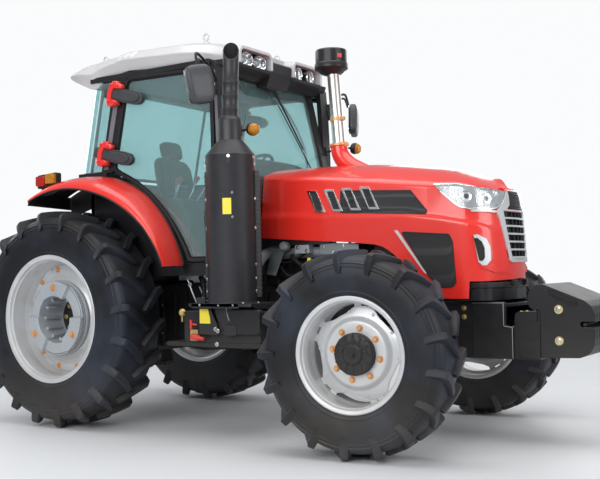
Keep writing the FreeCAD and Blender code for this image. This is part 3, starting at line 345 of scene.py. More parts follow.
def buildDustGroup():
    # dust lies on what faces up and is thicker near the ground: noise * (up + low)
    group, start, end = newGroup(
        "dustGroup",
        [("Vector", "NodeSocketVector", None), ("Amount", "NodeSocketFloat", 0.2), ("Height", "NodeSocketFloat", 0.9)],
        [("Mask", "NodeSocketFloat")])
    geometry = group.nodes.new("ShaderNodeNewGeometry")
    splitNormal = group.nodes.new("ShaderNodeSeparateXYZ")
    splitPlace = group.nodes.new("ShaderNodeSeparateXYZ")
    group.links.new(geometry.outputs["Normal"], splitNormal.inputs[0])
    group.links.new(start.outputs["Vector"], splitPlace.inputs[0])
    noise = group.nodes.new("ShaderNodeTexNoise")
    noise.inputs["Scale"].default_value = 7.0
    noise.inputs["Detail"].default_value = 8.0
    group.links.new(start.outputs["Vector"], noise.inputs["Vector"])
    upward = mathNode(group, "MULTIPLY", mathNode(group, "MAXIMUM", splitNormal.outputs["Z"], 0.0), 0.7)
    nearGround = mathNode(group, "SUBTRACT", 1.0, mathNode(group, "DIVIDE", splitPlace.outputs["Z"], start.outputs["Height"]))
    low = mathNode(group, "MAXIMUM", nearGround, 0.0)
    share = mathNode(group, "MULTIPLY", mathNode(group, "ADD", upward, low), start.outputs["Amount"])
    spread = mathNode(group, "MULTIPLY", share, mathNode(group, "ADD", noise.outputs["Fac"], 0.35))
    limit = mathNode(group, "MINIMUM", spread, 0.85)
    group.links.new(limit, end.inputs["Mask"])
    return group


grainGroup = buildGrainGroup()
dustGroup = buildDustGroup()

# finish: colour, roughness, metallic, coat, grain scale, bump height in mm, tone change, dust
finishes = {
    "redPaint": dict(color=(0.80, 0.026, 0.016), rough=0.28, metal=0.0, coat=0.7, grain=60, bump=0.10, tone=0.06, dust=0.10),
    "roofPaint": dict(color=(0.58, 0.575, 0.585), rough=0.38, metal=0.0, coat=0.25, grain=180, bump=0.10, tone=0.06, dust=0.12),
    "satinBlack": dict(gloss=0.28, color=(0.016, 0.016, 0.018), rough=0.36, metal=0.0, coat=0.15, grain=320, bump=0.10, tone=0.25, dust=0.20),
    "castBlack": dict(gloss=0.28, color=(0.014, 0.014, 0.016), rough=0.46, metal=0.0, coat=0.1, grain=170, bump=0.45, tone=0.35, dust=0.16),
    "castGrey": dict(color=(0.24, 0.26, 0.28), rough=0.50, metal=0.3, coat=0.0, grain=150, bump=0.5, tone=0.25, dust=0.25),
    "hubPaint": dict(color=(0.40, 0.43, 0.46), rough=0.42, metal=0.15, coat=0.15, grain=140, bump=0.35, tone=0.15, dust=0.25),
    "rimPaint": dict(color=(0.62, 0.63, 0.64), rough=0.36, metal=0.35, coat=0.2, grain=160, bump=0.12, tone=0.12, dust=0.25),
    "charcoal": dict(gloss=0.28, color=(0.040, 0.040, 0.044), rough=0.34, metal=0.3, coat=0.0, grain=420, bump=0.08, tone=0.18, dust=0.10),
    "blackPlastic": dict(gloss=0.28, color=(0.022, 0.022, 0.024), rough=0.48, metal=0.0, coat=0.0, grain=420, bump=0.25, tone=0.25, dust=0.20),
    "sealRubber": dict(gloss=0.28, color=(0.010, 0.010, 0.011), rough=0.62, metal=0.0, coat=0.0, grain=300, bump=0.2, tone=0.25, dust=0.15),
    "brightSteel": dict(color=(0.72, 0.71, 0.69), rough=0.20, metal=1.0, coat=0.0, grain=240, bump=0.05, tone=0.12, dust=0.05),
    "chrome": dict(color=(0.86, 0.87, 0.88), rough=0.09, metal=1.0, coat=0.0, grain=120, bump=0.02, tone=0.05, dust=0.02),
    "shadeGreen": dict(color=(0.020, 0.055, 0.038), rough=0.45, metal=0.0, coat=0.0, grain=120, bump=0.1, tone=0.2, dust=0.03),
    "stackSteel": dict(color=(0.60, 0.57, 0.54), rough=0.30, metal=0.9, coat=0.0, grain=30, bump=0.05, tone=0.18, dust=0.08),
    "zincYellow": dict(color=(0.72, 0.56, 0.22), rough=0.28, metal=0.9, coat=0.0, grain=200, bump=0.1, tone=0.3, dust=0.05),
    "nutOrange": dict(color=(0.72, 0.36, 0.14), rough=0.40, metal=0.5, coat=0.0, grain=200, bump=0.1, tone=0.3, dust=0.05),
    "signalRed": dict(color=(0.62, 0.030, 0.020), rough=0.42, metal=0.0, coat=0.2, grain=260, bump=0.15, tone=0.15, dust=0.10),
    "labelYellow": dict(color=(0.86, 0.70, 0.05), rough=0.45, metal=0.0, coat=0.1, grain=200, bump=0.02, tone=0.05, dust=0.05),
    "pillarGrey": dict(color=(0.20, 0.19, 0.22), rough=0.34, metal=0.2, coat=0.3, grain=260, bump=0.08, tone=0.12, dust=0.10),
    # near-black finish of the exhaust's inside: soot, and painted shade for the depth of the pipe
    "sootAndShade": dict(color=(0.004, 0.004, 0.004), rough=0.95, metal=0.0, coat=0.0, grain=160, bump=0.3, tone=0.3, dust=0.0),
    "hingeGrey": dict(color=(0.045, 0.047, 0.053), rough=0.42, metal=0.0, coat=0.1, grain=420, bump=0.2, tone=0.2, dust=0.15),
    "interiorGrey": dict(color=(0.06, 0.062, 0.066), rough=0.60, metal=0.0, coat=0.0, grain=300, bump=0.3, tone=0.2, dust=0.1),
    "lampWhite": dict(color=(0.40, 0.41, 0.42), rough=0.36, metal=0.55, coat=0.2, grain=90, bump=0.05, tone=0.1, dust=0.0),
    "galvanised": dict(color=(0.52, 0.56, 0.56), rough=0.38, metal=0.7, coat=0.0, grain=90, bump=0.1, tone=0.35, dust=0.1),
}


def startMaterial(name):
    material = bpy.data.materials.new(name)
    material.use_nodes = True
    tree = material.node_tree
    principled = tree.nodes["Principled BSDF"]
    coordinates = tree.nodes.new("ShaderNodeTexCoord")
    return material, tree, principled, coordinates.outputs["Object"]


def mixColor(tree, factor, first, second, blend="MIX"):
    node = tree.nodes.new("ShaderNodeMix")
    node.data_type = "RGBA"
    node.blend_type = blend
    for socket, value in ((node.inputs["Factor"], factor), (node.inputs["A"], first), (node.inputs["B"], second)):
        if isinstance(value, (int, float)):
            socket.default_value = value
        elif isinstance(value, tuple):
            socket.default_value = (*value[:3], 1.0)
        else:
            tree.links.new(value, socket)
    return node.outputs["Result"]


def placeGroup(tree, group, vector, **values):
    node = tree.nodes.new("ShaderNodeGroup")
    node.node_tree = group
    tree.links.new(vector, node.inputs["Vector"])
    for label, value in values.items():
        node.inputs[label].default_value = value
    return node


def bumpNode(tree, height, distance, strength=1.0):
    node = tree.nodes.new("ShaderNodeBump")
    node.inputs["Strength"].default_value = strength
    node.inputs["Distance"].default_value = distance
    tree.links.new(height, node.inputs["Height"])
    return node.outputs["Normal"]


dustColor = (0.33, 0.29, 0.24)


def paintMaterial(name, finish):
    material, tree, principled, vector = startMaterial(name)
    grain = placeGroup(tree, grainGroup, vector, Scale=float(finish["grain"]))
    dust = placeGroup(tree, dustGroup, vector, Amount=finish["dust"])
    dark = tuple(channel * (1 - finish["tone"]) for channel in finish["color"])
    light = tuple(min(1.0, channel * (1 + finish["tone"])) for channel in finish["color"])
    tone = mixColor(tree, grain.outputs["Mask"], dark, light)
    tree.links.new(mixColor(tree, dust.outputs["Mask"], tone, dustColor), principled.inputs["Base Color"])
    spread = tree.nodes.new("ShaderNodeMapRange")
    spread.inputs["To Min"].default_value = finish["rough"] * 0.8
    spread.inputs["To Max"].default_value = min(1.0, finish["rough"] * 1.25)
    tree.links.new(grain.outputs["Mask"], spread.inputs["Value"])
    rough = mathNode(tree, "ADD", spread.outputs["Result"], mathNode(tree, "MULTIPLY", dust.outputs["Mask"], 0.5))
    tree.links.new(rough, principled.inputs["Roughness"])
    tree.links.new(bumpNode(tree, grain.outputs["Height"], finish["bump"] * 0.001), principled.inputs["Normal"])
    principled.inputs["Metallic"].default_value = finish["metal"]
    principled.inputs["Coat Weight"].default_value = finish["coat"]
    principled.inputs["Specular IOR Level"].default_value = finish.get("gloss", 0.5)
    principled.inputs["Coat Roughness"].default_value = 0.08
    return material


materials = {name: paintMaterial(name, finish) for name, finish in finishes.items()}


def tyreMaterial():
    # black rubber with patches of blue painted into its colour as a painted sheen, worn lug faces and fine mould marks
    material, tree, principled, vector = startMaterial("tyreRubber")
    grain = placeGroup(tree, grainGroup, vector, Scale=150.0)
    dust = placeGroup(tree, dustGroup, vector, Amount=0.30, Height=0.6)
    paintedSheen = tree.nodes.new("ShaderNodeTexNoise")
    paintedSheen.inputs["Scale"].default_value = 3.0
    paintedSheen.inputs["Detail"].default_value = 3.0
    tree.links.new(vector, paintedSheen.inputs["Vector"])
    ramp = tree.nodes.new("ShaderNodeMapRange")
    ramp.inputs["From Min"].default_value = 0.42
    ramp.inputs["From Max"].default_value = 0.70
    tree.links.new(paintedSheen.outputs["Fac"], ramp.inputs["Value"])
    # painted sheen: noise patches turn the black rubber blue, standing in for the sky's reflection
    rubber = mixColor(tree, ramp.outputs["Result"], (0.007, 0.007, 0.008), (0.020, 0.026, 0.040))
    tree.links.new(mixColor(tree, dust.outputs["Mask"], rubber, (0.17, 0.15, 0.13)), principled.inputs["Base Color"])
    rough = mathNode(tree, "ADD", mathNode(tree, "MULTIPLY", grain.outputs["Mask"], 0.30), 0.28)
    tree.links.new(mathNode(tree, "ADD", rough, mathNode(tree, "MULTIPLY", dust.outputs["Mask"], 0.5)), principled.inputs["Roughness"])
    tree.links.new(bumpNode(tree, grain.outputs["Height"], 0.0006), principled.inputs["Normal"])
    principled.inputs["Sheen Weight"].default_value = 0.06
    principled.inputs["Specular IOR Level"].default_value = 0.28
    principled.inputs["Sheen Tint"].default_value = (0.55, 0.65, 0.95, 1)
    return material


def glassMaterial(name, color, rough, amount):
    # tinted pane: mostly clear with a little of its own colour and streaks of dust
    material, tree, principled, vector = startMaterial(name)
    dust = placeGroup(tree, dustGroup, vector, Amount=0.10, Height=0.5)
    noise = tree.nodes.new("ShaderNodeTexNoise")
    noise.inputs["Scale"].default_value = 3.0
    tree.links.new(vector, noise.inputs["Vector"])
    tint = mixColor(tree, noise.outputs["Fac"], tuple(c * 0.94 for c in color), color)
    tree.links.new(mixColor(tree, dust.outputs["Mask"], tint, (0.6, 0.6, 0.56)), principled.inputs["Base Color"])
    tree.links.new(mathNode(tree, "ADD", mathNode(tree, "MULTIPLY", dust.outputs["Mask"], 0.4), rough), principled.inputs["Roughness"])
    principled.inputs["Transmission Weight"].default_value = amount
    principled.inputs["IOR"].default_value = 1.45
    return material


def meshMaterial():
    # pressed screen: a hexagonal net by Voronoi cells, as colour and bump, with its holes painted dark as the shade
    # seen through them
    material, tree, principled, vector = startMaterial("screenMesh")
    cells = tree.nodes.new("ShaderNodeTexVoronoi")
    cells.feature = "DISTANCE_TO_EDGE"
    cells.inputs["Scale"].default_value = 150.0
    cells.inputs["Randomness"].default_value = 0.0
    tree.links.new(vector, cells.inputs["Vector"])
    ramp = tree.nodes.new("ShaderNodeMapRange")
    ramp.inputs["From Min"].default_value = 0.08
    ramp.inputs["From Max"].default_value = 0.2
    tree.links.new(cells.outputs["Distance"], ramp.inputs["Value"])
    grain = placeGroup(tree, grainGroup, vector, Scale=60.0)
    # painted shade: the cell middles, where the holes are, go nearly black
    net = mixColor(tree, ramp.outputs["Result"], (0.040, 0.040, 0.042), (0.006, 0.006, 0.007))
    tree.links.new(mixColor(tree, grain.outputs["Mask"], net, (0.020, 0.019, 0.021)), principled.inputs["Base Color"])
    tree.links.new(bumpNode(tree, mathNode(tree, "SUBTRACT", 1.0, ramp.outputs["Result"]), 0.002), principled.inputs["Normal"])
    rough = mathNode(tree, "ADD", mathNode(tree, "MULTIPLY", grain.outputs["Mask"], 0.2), 0.35)
    tree.links.new(rough, principled.inputs["Roughness"])
    return material


def fabricMaterial():
    # seat cloth: crossed waves for the weave
    material, tree, principled, vector = startMaterial("seatCloth")
    waves = []
    for turn in ("X", "Z"):
        wave = tree.nodes.new("ShaderNodeTexWave")
        wave.bands_direction = turn
        wave.inputs["Scale"].default_value = 160.0
        tree.links.new(vector, wave.inputs["Vector"])
        waves.append(wave.outputs["Fac"])
    weave = mathNode(tree, "MULTIPLY", waves[0], waves[1])
    tree.links.new(mixColor(tree, weave, (0.016, 0.016, 0.018), (0.055, 0.055, 0.062)), principled.inputs["Base Color"])
    tree.links.new(bumpNode(tree, weave, 0.0008), principled.inputs["Normal"])
    principled.inputs["Roughness"].default_value = 0.85
    return material


materials["tyreRubber"] = tyreMaterial()
materials["cabGlass"] = glassMaterial("cabGlass", (0.58, 0.82, 0.83), 0.0, 0.88)
materials["lampGlass"] = glassMaterial("lampGlass", (0.93, 0.95, 0.97), 0.02, 0.95)
materials["amberGlass"] = glassMaterial("amberGlass", (1.0, 0.42, 0.03), 0.12, 0.55)
materials["redGlass"] = glassMaterial("redGlass", (0.75, 0.03, 0.02), 0.12, 0.45)
materials["screenMesh"] = meshMaterial()
materials["seatCloth"] = fabricMaterial()
print("materials built")


# Wheels: (outboard distance, radius) profiles about each axle

rearTyre = dict(radius=0.867, half=0.233, bead=0.483, depth=0.040, lugs=20, lead=0.084, trail=-0.1025, barHalf=0.021)
frontTyre = dict(radius=0.673, half=0.189, bead=0.356, depth=0.032, lugs=17, lead=0.068, trail=-0.083, barHalf=0.018)


def tyreSurface(tyre):
    # carcass: smooth profile turned about the axle, with thin rings raised on each sidewall
    top, half, bead, depth = (tyre[key] for key in ("radius", "half", "bead", "depth"))
    reach = top - bead
    side = np.array([
        (-half + 0.036, bead), (-half + 0.026, bead + 0.020), (-half + 0.012, bead + 0.045),
        (-half + 0.001, bead + 0.36 * reach), (-half + 0.001, bead + 0.55 * reach), (-half + 0.013, bead + 0.74 * reach),
        (-half + 0.040, top - depth - 0.024), (-0.55 * half, top - depth - 0.010), (0, top - depth)])
    profile = smoothPath(np.concatenate([side, side[-2::-1] * (-1, 1)]), 14)
    height = (profile[:, 1] - bead) / reach
    ring = sum(rise * np.exp(-((height - at) / 0.014) ** 2) for at, rise in ((0.08, 0.004), (0.15, 0.003), (0.66, 0.0035), (0.73, 0.006)))
    profile[:, 0] += np.sign(profile[:, 0]) * ring * (height < 0.85)
    profile = np.concatenate([profile, [(half - 0.05, bead - 0.0), (-half + 0.05, bead - 0.0)]])
    carcass = lathe(profile, axis=(0, 1, 0), sides=144)
    # bars: a rounded trapezium carried from the middle to the shoulder, leading at the middle
    s = np.array([0, 0.06, 0.2, 0.34, 0.48, 0.60, 0.70, 0.79, 0.87, 0.93, 0.97, 1.0])
    across = half * np.interp(s, (0, 0.87, 0.94, 1), (-0.05, 0.885, 0.985, 1.015))
    around = tyre["lead"] + (tyre["trail"] - tyre["lead"]) * (1 - (1 - s) ** 1.45)
    crest = top - np.interp(s, (0, 0.06, 0.5, 0.87, 0.93, 0.97, 1), (0.006, 0, 0.001, 0.009, 0.024, 0.052, 0.088))
    foot = top - np.interp(s, (0, 0.7, 0.87, 1), (depth + 0.02, depth + 0.025, depth + 0.06, depth + 0.115))
    width = tyre["barHalf"] * np.interp(s, (0, 0.1, 0.8, 1), (0.75, 1.0, 1.28, 1.42))
    tangent = np.stack([np.gradient(across), np.gradient(around)], 1)
    tangent /= np.linalg.norm(tangent, axis=1)[:, None]
    tangent[-3:] = tangent[-4]
    q = np.array([-1.55, -1.22, -1.04, -0.90, 0, 0.90, 1.04, 1.22, 1.55])
    h = np.array([0, 0.45, 0.90, 1.0, 1.0, 1.0, 0.90, 0.45, 0])
    a = across[:, None] - q * width[:, None] * tangent[:, 1:2]
    t = around[:, None] + q * width[:, None] * tangent[:, 0:1]
    r = foot[:, None] + h * (crest - foot)[:, None]
    phase = np.arange(tyre["lugs"]) * 2 * np.pi / tyre["lugs"]
    bars = []
    for row, hand in enumerate((-1, 1)):
        angle = phase[:, None, None] + row * np.pi / tyre["lugs"] + t[None] / top
        points = np.stack([r * np.sin(angle), np.broadcast_to(hand * a, angle.shape), r * np.cos(angle)], -1)
        count = len(s) * len(q)
        faces = gridFaces(len(s), len(q), False, True)
        faces += [list(range(len(q)))[::-1], list(range(count - len(q), count))]
        bars.append((points.reshape(-1, 3), [[n * count + k for k in face] for n in range(tyre["lugs"]) for face in faces]))
    return pile(carcass, *bars)


def nodeMiddle(node):
    low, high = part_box(node)
    return (np.array(low) + np.array(high)) / 2 - (rearX, 0, 0)


sides = (("left", 1), ("right", -1))
rearTyreShape = tyreSurface(rearTyre)
frontTyreShape = tyreSurface(frontTyre)
for name, side in sides:
    middle = (0, side * rearY, rearZ)
    makePiece("rearTyre_" + name, moved(rearTyreShape, middle), "rear_wheel_" + name,
              materials["tyreRubber"], ("rear_tyre_" + name,))
    middle = (wheelBase, side * frontY, frontZ)
    makePiece("frontTyre_" + name, steered(moved(frontTyreShape, middle), side), "front_wheel_" + name,
              materials["tyreRubber"], ("front_tyre_" + name,))
print("tyres built")


def outboard(part, side):
    # a wheel part drawn about +Y with its outer face towards +Y, mirrored for the right wheel
    return moved(part, scale=(1, side, 1))


rearRim = dict(drumRadius=0.300, drumFront=0.170, bore=0.180, padStep=0.024, padHalf=32, boltRing=0.248)


def rearRimParts():
    barrel = [
        (-0.217, 0.5155), (-0.208, 0.516), (-0.205, 0.484), (-0.14, 0.480), (-0.11, 0.452), (0.02, 0.452),
        (0.06, 0.480), (0.205, 0.484), (0.208, 0.516), (0.217, 0.5155), (0.221, 0.505), (0.213, 0.476),
        (0.190, 0.470), (0.182, 0.463), (0.125, 0.459), (0.062, 0.462), (0.022, 0.437), (-0.112, 0.437),
        (-0.145, 0.464), (-0.205, 0.468), (-0.219, 0.49)]
    barrel = lathe(roundCorners(barrel, 0.006, 3), axis=(0, 1, 0), sides=128)
    disc = [(-0.004, 0.446), (0.010, 0.446), (0.016, 0.425), (0.018, 0.375), (0.030, 0.345), (0.052, 0.318),
            (0.066, 0.296), (0.052, 0.284), (0.034, 0.304), (0.016, 0.338), (0.002, 0.37), (0.0, 0.425)]
    disc = lathe(roundCorners(disc, 0.01, 3), axis=(0, 1, 0), sides=128)
    # rim brackets: six plates that carry the disc in the drop centre
    brackets = []
    for angle in range(30, 390, 60):
        plate = block((-0.045, -0.004, 0.400), (0.045, 0.020, 0.452))
        brackets.append(moved(plate, matrix=turnAbout((0, 1, 0), angle)))
    return pile(barrel, disc, *brackets)


def rearDrum():
    # drum whose front face steps between three pads: height = front - step * (outside the pads)
    sideCount = 180
    front, outer, bore = rearRim["drumFront"], rearRim["drumRadius"], rearRim["bore"]
    profile = np.array([
        (0.030, outer - 0.012), (0.075, outer - 0.006), (0.078, outer + 0.008), (0.095, outer + 0.008),
        (0.098, outer - 0.008), (front - 0.034, outer - 0.010), (front - 0.030, outer), (front - 0.004, outer),
        (front, outer - 0.004), (front, bore + 0.004), (front - 0.004, bore), (front - 0.050, bore),
        (-0.060, bore - 0.008), (-0.088, bore - 0.022), (-0.098, bore - 0.012), (-0.070, bore + 0.006), (0.020, bore + 0.020)])
    points, faces = lathe(profile, axis=(0, 1, 0), sides=sideCount)
    points = points.reshape(len(profile), sideCount, 3)
    angle = np.degrees(np.arctan2(points[8, :, 0], points[8, :, 2])) % 120
    outside = (np.abs((angle + 60) % 120 - 60) > rearRim["padHalf"]).astype(float)
    face = slice(6, 11)
    points[face, :, 1] -= rearRim["padStep"] * outside
    shrink = 1 - 0.055 * outside
    points[5:9, :, 0] *= shrink
    points[5:9, :, 2] *= shrink
    widen = 1 + 0.10 * outside
    points[9:12, :, 0] *= widen
    points[9:12, :, 2] *= widen
    drum = points.reshape(-1, 3), faces
    ribs = []
    for at in (0.108, 0.128):
        ribs.append(lathe([(at, outer - 0.012), (at + 0.003, outer - 0.003), (at + 0.009, outer - 0.003), (at + 0.012, outer - 0.012)],
                          axis=(0, 1, 0), sides=sideCount))
    # slots in the bore: short ribs that stand inside it
    webs = []
    for angle in range(0, 360, 30):
        web = block((-0.010, -0.050, bore - 0.026), (0.010, front - 0.070, bore + 0.004))
        webs.append(moved(web, matrix=turnAbout((0, 1, 0), angle)))
    return pile(drum, *ribs, *webs)


def rearHub():
    # flange and shaft end deep in the drum
    flange = lathe([(-0.1105, 0.0), (-0.1105, 0.172), (-0.090, 0.172), (-0.086, 0.160), (-0.086, 0.075), (-0.055, 0.062),
                    (-0.040, 0.056), (-0.034, 0.050), (-0.034, 0.0)], axis=(0, 1, 0), sides=72)
    bolts = boltsAt(circlePoints((0, -0.088, 0), 0.125, 8, (0, 1, 0)), (0, 1, 0), 0.014)
    spokes = [moved(block((-0.009, -0.088, 0.062), (0.009, -0.060, 0.110)), matrix=turnAbout((0, 1, 0), angle))
              for angle in range(22, 382, 45)]
    return flange, bolts, pile(*spokes)


for name, side in sides:
    middle = (0, side * rearY, rearZ)
    body = "rear_wheel_" + name
    put = lambda part: moved(outboard(part, side), middle)
    makePiece("rearRim_" + name, put(rearRimParts()), body, materials["rimPaint"],
              ("rear_rim_" + name,), sharp=32)
    makePiece("rearDrum_" + name, put(rearDrum()), body, materials["hubPaint"], sharp=32)
    flange, bolts, spokes = rearHub()
    makePiece("rearHub_" + name, put(pile(flange, spokes)), body, materials["castBlack"], sharp=32)
    padBolts = boltsAt(circlePoints((0, rearRim["drumFront"], 0), rearRim["boltRing"], 3, (0, 1, 0), 90), (0, 1, 0), 0.019)
    discBolts = boltsAt(circlePoints((0, 0.018, 0), 0.405, 12, (0, 1, 0), 15), (0, 1, 0), 0.016)
    makePiece("rearNuts_" + name, put(pile(padBolts, discBolts)), body, materials["nutOrange"], sharp=32)
    makePiece("rearHubBolts_" + name, put(bolts), body, materials["zincYellow"], sharp=32)
print("rear wheels built")

frontRim = dict(lobes=5, lobePhase=9, edge=0.284, wave=0.020, cone=0.222, face=0.205, bore=0.1373, nutRing=0.168)


def frontRimParts():
    barrel = [
        (-0.173, 0.3770), (-0.165, 0.3775), (-0.161, 0.3565), (-0.10, 0.353), (-0.075, 0.334), (0.0, 0.334),
        (0.03, 0.353), (0.161, 0.3565), (0.165, 0.3775), (0.173, 0.3770), (0.177, 0.369), (0.170, 0.348),
        (0.150, 0.342), (0.144, 0.336), (0.10, 0.333), (0.034, 0.335), (0.004, 0.322), (-0.078, 0.322),
        (-0.105, 0.340), (-0.161, 0.344), (-0.175, 0.36)]
    barrel = lathe(roundCorners(barrel, 0.004, 3), axis=(0, 1, 0), sides=120)
    # disc: its edge is edge + wave cos(lobes t), and a cone lifts the bolted face outboard
    sideCount = 180
    profile = np.array([
        (0.010, 0.284), (0.012, 0.290), (0.018, 0.290), (0.021, 0.284), (0.022, 0.245), (0.026, 0.235), (0.048, 0.218),
        (0.055, 0.206), (0.056, 0.200), (0.055, 0.1373), (0.044, 0.1373), (0.044, 0.200), (0.038, 0.212), (0.014, 0.232), (0.010, 0.242)])
    points, faces = lathe(profile, axis=(0, 1, 0), sides=sideCount)
    points = points.reshape(len(profile), sideCount, 3)
    angle = np.arctan2(points[0, :, 0], points[0, :, 2])
    wave = np.cos(frontRim["lobes"] * (angle - math.radians(frontRim["lobePhase"])))
    edge = 1 + (frontRim["wave"] * np.tanh(1.6 * wave) / np.tanh(1.6)) / frontRim["edge"]
    points[0:4, :, 0] *= edge
    points[0:4, :, 2] *= edge
    disc = points.reshape(-1, 3), faces
    brackets = []
    for number in range(frontRim["lobes"]):
        angle = frontRim["lobePhase"] + number * 360 / frontRim["lobes"]
        for offset in (-9, 9):
            plate = slab(roundCorners([(-0.020, 0.270), (0.020, 0.270), (0.026, 0.336), (-0.026, 0.336)], 0.004, 2), "xz", 0.002, 0.012)
            brackets.append(moved(plate, matrix=turnAbout((0, 1, 0), angle + offset)))
    return pile(barrel, disc, *brackets)


def frontHub():
    # planetary cover: stepped turned form with bolts, bosses and cast ribs
    cover = lathe(roundCorners([(-0.0945, 0.0), (-0.0945, 0.126), (0.026, 0.128), (0.026, 0.168), (0.0437, 0.168), (0.0437, 0.137),
                                (0.092, 0.137), (0.104, 0.132), (0.107, 0.118), (0.112, 0.092), (0.110, 0.070), (0.120, 0.064),
                                (0.124, 0.056), (0.124, 0.0)], 0.003, 2)[1:-1].tolist(), axis=(0, 1, 0), sides=84, closed=True)
    ribs = [moved(block((-0.006, 0.100, 0.062), (0.006, 0.114, 0.120)), matrix=turnAbout((0, 1, 0), angle))
            for angle in range(0, 360, 30)]
    bosses = [lathe([(0.088, 0.0), (0.088, 0.016), (0.116, 0.015), (0.118, 0.0)], centre=place, axis=(0, 1, 0), sides=20)
              for place in circlePoints((0, 0, 0), 0.088, 5, (0, 1, 0), 20)]
    bolts = boltsAt(circlePoints((0, 0.100, 0), 0.124, 16, (0, 1, 0)), (0, 1, 0), 0.0085)
    plug = boltsAt([(0, 0.124, 0)], (0, 1, 0), 0.016)
    return pile(cover, *ribs, *bosses, bolts, plug)


for name, side in sides:
    middle = (wheelBase, side * frontY, frontZ)
    body = "front_wheel_" + name
    put = lambda part: steered(moved(outboard(part, side), middle), side)
    makePiece("frontRim_" + name, put(frontRimParts()), body, materials["rimPaint"], ("front_rim_" + name,), sharp=32)
    makePiece("frontHub_" + name, put(frontHub()), body, materials["castBlack"], ("front_hub_" + name,), sharp=32)
    nuts = boltsAt(circlePoints((0, 0.056, 0), frontRim["nutRing"], 8, (0, 1, 0), 10), (0, 1, 0), 0.0155)
    lobeBolts = boltsAt(circlePoints((0, 0.021, 0), 0.272, 10, (0, 1, 0), -30), (0, 1, 0), 0.008)
    makePiece("frontNuts_" + name, put(nuts), body, materials["nutOrange"], sharp=32)
    makePiece("frontLobeBolts_" + name, put(lobeBolts), body, materials["rimPaint"], sharp=32)
print("front wheels built")


# Hood: a wall that runs from one rear corner round the nose to the other, closed by a crowned top

hoodPlan = np.array([(1.60, 0.440), (2.40, 0.441), (3.05, 0.440), (3.20, 0.437), (3.262, 0.426), (3.315, 0.398),
                     (3.368, 0.348), (3.408, 0.283), (3.440, 0.200), (3.462, 0.110), (3.470, 0.0)])
planCurve = smoothPath(np.concatenate([hoodPlan, hoodPlan[-2::-1] * (1, -1)]), 12)
planReach = np.concatenate([[0], np.cumsum(np.linalg.norm(np.diff(planCurve, axis=0), axis=1))])
noseReach = planReach[-1] / 2
hoodLow = np.array([(0.0, 1.469), (0.35, 1.442), (0.78, 1.413), (0.99, 1.390), (1.05, 1.372), (1.10, 1.343), (1.15, 1.303),
                    (1.20, 1.254), (1.26, 1.195), (1.32, 1.136), (1.38, 1.086), (1.44, 1.045), (1.50, 1.010), (1.53, 1.002),
                    (1.680, 1.001), (1.688, 1.118), (1.80, 1.118), (2.17, 1.131)])
hoodShoulder = np.array([(0.0, 1.952), (0.36, 1.921), (0.90, 1.866), (1.20, 1.830), (1.42, 1.806), (1.62, 1.797),
                         (1.74, 1.778), (1.84, 1.766), (1.95, 1.757), (2.17, 1.752)])
hoodCrown = np.array([(0.0, 2.026), (0.40, 2.026), (0.80, 2.010), (1.00, 1.992), (1.20, 1.965), (1.40, 1.938), (1.58, 1.905),
                      (1.70, 1.884), (1.85, 1.862), (2.00, 1.846), (2.17, 1.838)])
creaseLine = np.array([(0.0, 1.645), (0.70, 1.622), (1.20, 1.600), (1.50, 1.562), (1.75, 1.512), (1.90, 1.468), (2.17, 1.45)])


def along(curve, s):
    return np.interp(s, curve[:, 0], curve[:, 1])


def hoodWall(s, z, out=0.0):
    # plan curve at reach s, pushed out by the crease ledge and by the lean of the nose at height z
    s = np.asarray(s, float)
    z = np.asarray(z, float)
    half = np.minimum(s, 2 * noseReach - s)
    x = np.interp(s, planReach, planCurve[:, 0])
    y = -np.interp(s, planReach, planCurve[:, 1])
    tx = np.interp(s + 0.01, planReach, planCurve[:, 0]) - np.interp(s - 0.01, planReach, planCurve[:, 0])
    ty = -np.interp(s + 0.01, planReach, planCurve[:, 1]) + np.interp(s - 0.01, planReach, planCurve[:, 1])
    size = np.hypot(tx, ty)
    nx, ny = ty / size, -tx / size
    crease = along(creaseLine, half)
    fade = np.interp(half, (0.0, 1.80, 1.93), (1.0, 1.0, 0.0))
    ledge = 0.013 * fade / (1 + np.exp((z - crease) / 0.005))
    upper = -0.10 * np.maximum(z - crease, 0) * np.interp(half, (0, 1.4, 1.8), (1, 0.7, 0.2))
    lower = -0.035 * np.maximum(crease - z, 0)
    roundOff = -0.016 * np.clip((z - (along(hoodShoulder, half) - 0.035)) / 0.035, 0, 1) ** 2
    lean = np.interp(z, (1.0, 1.26, 1.70, 1.86), (0.047, 0.040, 0.0, -0.03)) * np.interp(half, (1.62, 1.75, 2.0), (0, 0.45, 1))
    push = ledge + upper + lower + roundOff - 0.004 + out
    return np.stack([x + push * nx + lean, y + push * ny, np.broadcast_to(z, x.shape)], -1)


